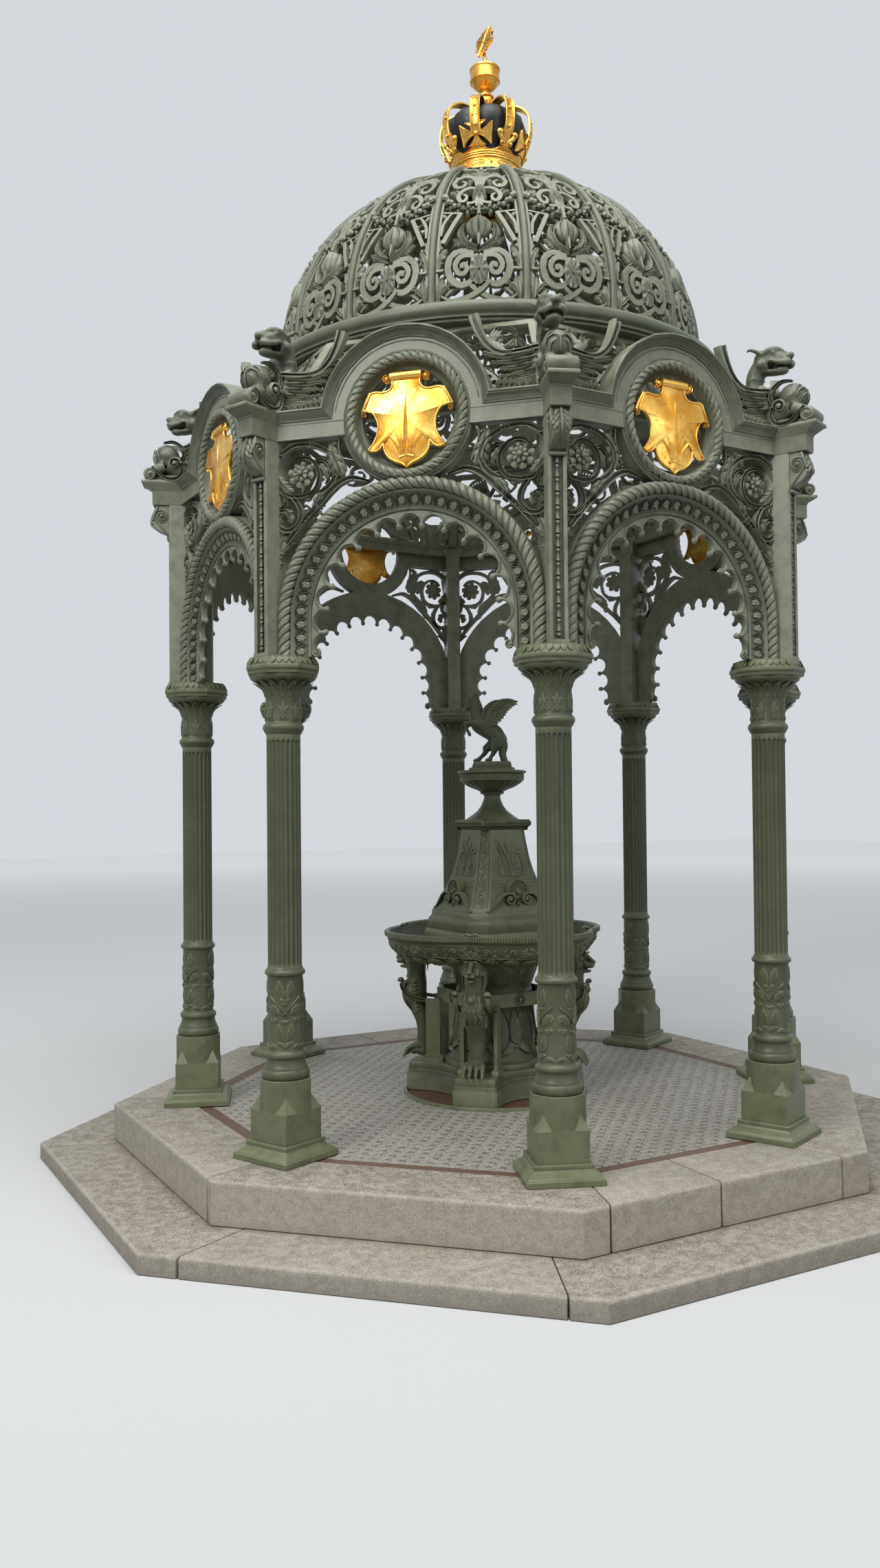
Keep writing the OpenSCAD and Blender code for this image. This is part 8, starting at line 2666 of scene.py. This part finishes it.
for side in (-1, 1):
    fan = Casting()
    for k, (a, b) in enumerate(zip(STARTS, TIPS)):
        a, b = np.array(a), np.array(b)
        bow = (a + b) / 2 + [0.3, 0.9 - 0.08 * k]
        band(fan, [a, bow, b], [0.9, 1.15, 1.0, 0.35], 0.34 + 0.02 * (k % 2), section=QUILL,
             count=10)
        cut = a + (b - a) * 0.55 + [0.2, 0.5]
        band(fan, [a, (a + cut) / 2 + [0.2, 0.35], cut], [0.8, 1.0, 0.45], 0.62 - 0.03 * (k % 2),
             section=QUILL, count=8)
        cut = a + (b - a) * 0.28 + [0.1, 0.2]
        wire(fan, [a, cut], [0.8, 0.9, 0.4], 0.86, count=5)
    wire(fan, [(-4.6, 17.6), (-4.5, 21.6), (-3.5, 25.8), (-1.2, 28.6), (1.8, 30.2), (6.4, 30.6),
        (13.2, 29.9)], [1.3, 1.2, 1.0, 0.8, 0.6, 0.5, 0.25], [1.1, 1.1, 0.9, 0.8, 0.6], count=34)
    both_faces = Casting().join(fan).join(fan, lambda p: p * [1, 1, -1])
    horse.join(both_faces, lambda p, side=side: np.stack([
        p[:, 0], side * (3.0 + 0.22 * (p[:, 0] + 4).clip(0) + 0.02 * (p[:, 1] - 18)) + p[:, 2],
        p[:, 1]], -1))
rock = Casting()
moulding(rock, square_plan(1, 0.16) * [11.6, 7.4], [(0, -4.4), (0, -3.7), (0.7, -3.2),
    (1.6, -3.0), (1.9, -1.4), (2.3, -0.5), (2.6, 0.0), (4.5, 0.05), (4.5, -4.4)], closed=True)
plate(rock, square_plan(1, 0.16) * [8.0, 3.8], -3.0, 0.0)


def rough(p):
    """Makes the horse's base uneven like rock, but keeps its foot flat."""
    lift = np.clip((p[:, 2] + 3.7) / 1.5, 0, 1)[:, None]
    wave = np.stack([np.sin(2.1 * p[:, 1] + 0.7 * p[:, 0]), np.sin(1.9 * p[:, 0] + p[:, 2]),
                     0.4 * np.sin(1.3 * p[:, 0]) * np.sin(1.7 * p[:, 1])], -1)
    return p + 0.28 * lift * wave


horse.join(rock, rough)
turned_by = math.radians(-32)
c, s = math.cos(turned_by), math.sin(turned_by)
horse = thinned(horse, 0.5)
make_piece("winged_horse", Casting().join(horse, lambda p: np.stack([
    0.01 * (p[:, 0] * c - p[:, 1] * s), 0.01 * (p[:, 0] * s + p[:, 1] * c),
    0.01 * p[:, 2] + 1.657 + PLATFORM], -1)), green_paint, ["winged_figure"],
    sharp=48)
print("horse", horse.triangles(), "triangles")
# %% [markdown]
# The scene is a plain pale floor under soft, even light. A large lamp above stands for an
# overcast sky, a weaker one fills from the camera's side, and the world gives a low level all
# round, so that a colour renders about as it is written. Light Path keeps the floor and the
# world pale to the camera without throwing that light back up under the arches.

# %% Floor and world


def pale_to_camera(tree, seen, lit, kind, socket, extra=None):
    """Two shaders switched by Light Path, one for what the camera and gloss see."""
    path = put(tree, "ShaderNodeLightPath")
    seen_by = maths(tree, "MAXIMUM", path.outputs["Is Camera Ray"],
                    path.outputs["Is Glossy Ray"])
    first = put(tree, kind, {socket: lit, **(extra or {})})
    second = put(tree, kind, {socket: seen, **(extra or {})})
    mix = put(tree, "ShaderNodeMixShader", {0: seen_by, 1: first.outputs[0],
                                            2: second.outputs[0]})
    return mix.outputs[0]


floor_mesh = bpy.data.meshes.new("studio_floor")
SPREAD = 40.0
floor_mesh.from_pydata([(-SPREAD, -SPREAD, 0), (SPREAD, -SPREAD, 0), (SPREAD, SPREAD, 0),
                        (-SPREAD, SPREAD, 0)], [], [(0, 1, 2, 3)])
studio_floor = bpy.data.objects.new("studio_floor", floor_mesh)
bpy.context.scene.collection.objects.link(studio_floor)
floor_paint = bpy.data.materials.new("pale_floor")
floor_paint.use_nodes = True
tree = floor_paint.node_tree
tree.nodes.clear()
surface_out = pale_to_camera(tree, (0.62, 0.62, 0.61, 1), (0.24, 0.24, 0.23, 1),
                             "ShaderNodeBsdfDiffuse", "Color", {"Roughness": 1.0})
place = put(tree, "ShaderNodeTexCoord").outputs["Object"]
far = put(tree, "ShaderNodeVectorMath", {0: place}, operation="LENGTH").outputs["Value"]
glow = put(tree, "ShaderNodeMapRange", {0: far, 1: 3.5, 2: 30.0, 3: 0.0, 4: 0.40}).outputs[0]
path = put(tree, "ShaderNodeLightPath").outputs["Is Camera Ray"]
haze = put(tree, "ShaderNodeEmission", {"Color": (0.97, 0.99, 1.0, 1),
                                        "Strength": maths(tree, "MULTIPLY", glow, path)})
both_shaders = put(tree, "ShaderNodeAddShader", {0: surface_out, 1: haze.outputs[0]})
put(tree, "ShaderNodeOutputMaterial", {"Surface": both_shaders.outputs[0]})
floor_mesh.materials.append(floor_paint)

world = bpy.data.worlds.new("soft_world")
bpy.context.scene.world = world
world.use_nodes = True
tree = world.node_tree
tree.nodes.clear()
sky_out = pale_to_camera(tree, (0.66, 0.69, 0.73, 1), (0.36, 0.39, 0.43, 1),
                         "ShaderNodeBackground", "Color", {"Strength": 1.0})
put(tree, "ShaderNodeOutputWorld", {"Surface": sky_out})
print("floor and world ready")

# %% Lamps


def soft_lamp(name, place, target, size, power):
    lamp = bpy.data.lights.new(name, "AREA")
    lamp.shape = "DISK"
    lamp.size = size
    lamp.energy = power
    holder = bpy.data.objects.new(name, lamp)
    bpy.context.scene.collection.objects.link(holder)
    aim = (Vector(target) - Vector(place)).to_track_quat("-Z", "Y")
    holder.matrix_world = Matrix.Translation(place) @ aim.to_matrix().to_4x4()
    return holder


soft_lamp("sky_lamp", (-2.0, -3.5, 11.0), (0, 0, 2.5), 9.0, 800.0)
soft_lamp("key_lamp", (-8.5, -4.0, 7.5), (0, 0, 2.8), 4.0, 400.0)
soft_lamp("fill_lamp", (3.0, -10.0, 4.5), (0, 0, 2.2), 6.0, 110.0)
print("three lamps")

# %% [markdown]
# The camera stands where the photographer stood, at eye height about six metres away. Its place
# and angle were solved from the eight column bases, which are corners of a regular octagon. A
# matrix built from its three axes sets them without going through angles.

# %% Camera
YAW, PITCH, ROLL = (math.radians(v) for v in (60.5713, 1.1272, -0.5272))
forward = Vector((math.cos(YAW) * math.cos(PITCH), math.sin(YAW) * math.cos(PITCH),
                  math.sin(PITCH)))
level = Vector((math.sin(YAW), -math.cos(YAW), 0))
upright = level.cross(forward)
right = level * math.cos(ROLL) + upright * math.sin(ROLL)
above = upright * math.cos(ROLL) - level * math.sin(ROLL)
camera_data = bpy.data.cameras.new("photo_camera")
camera = bpy.data.objects.new("photo_camera", camera_data)
bpy.context.scene.collection.objects.link(camera)
camera.matrix_world = Matrix((
    (right.x, above.x, -forward.x, -3.259), (right.y, above.y, -forward.y, -5.239),
    (right.z, above.z, -forward.z, 1.679), (0, 0, 0, 1)))
FOCAL_PX, FRAME_H = 1762.73, 2282
camera_data.sensor_fit = "VERTICAL"
camera_data.sensor_height = 36.0
camera_data.lens = 36.0 * FOCAL_PX / FRAME_H
camera_data.clip_end = 200.0
bpy.context.scene.camera = camera
bpy.context.scene.view_settings.view_transform = "Standard"
print("lens %.2f mm" % camera_data.lens)

# %% Finish
print("triangles in the pieces:", total["triangles"])
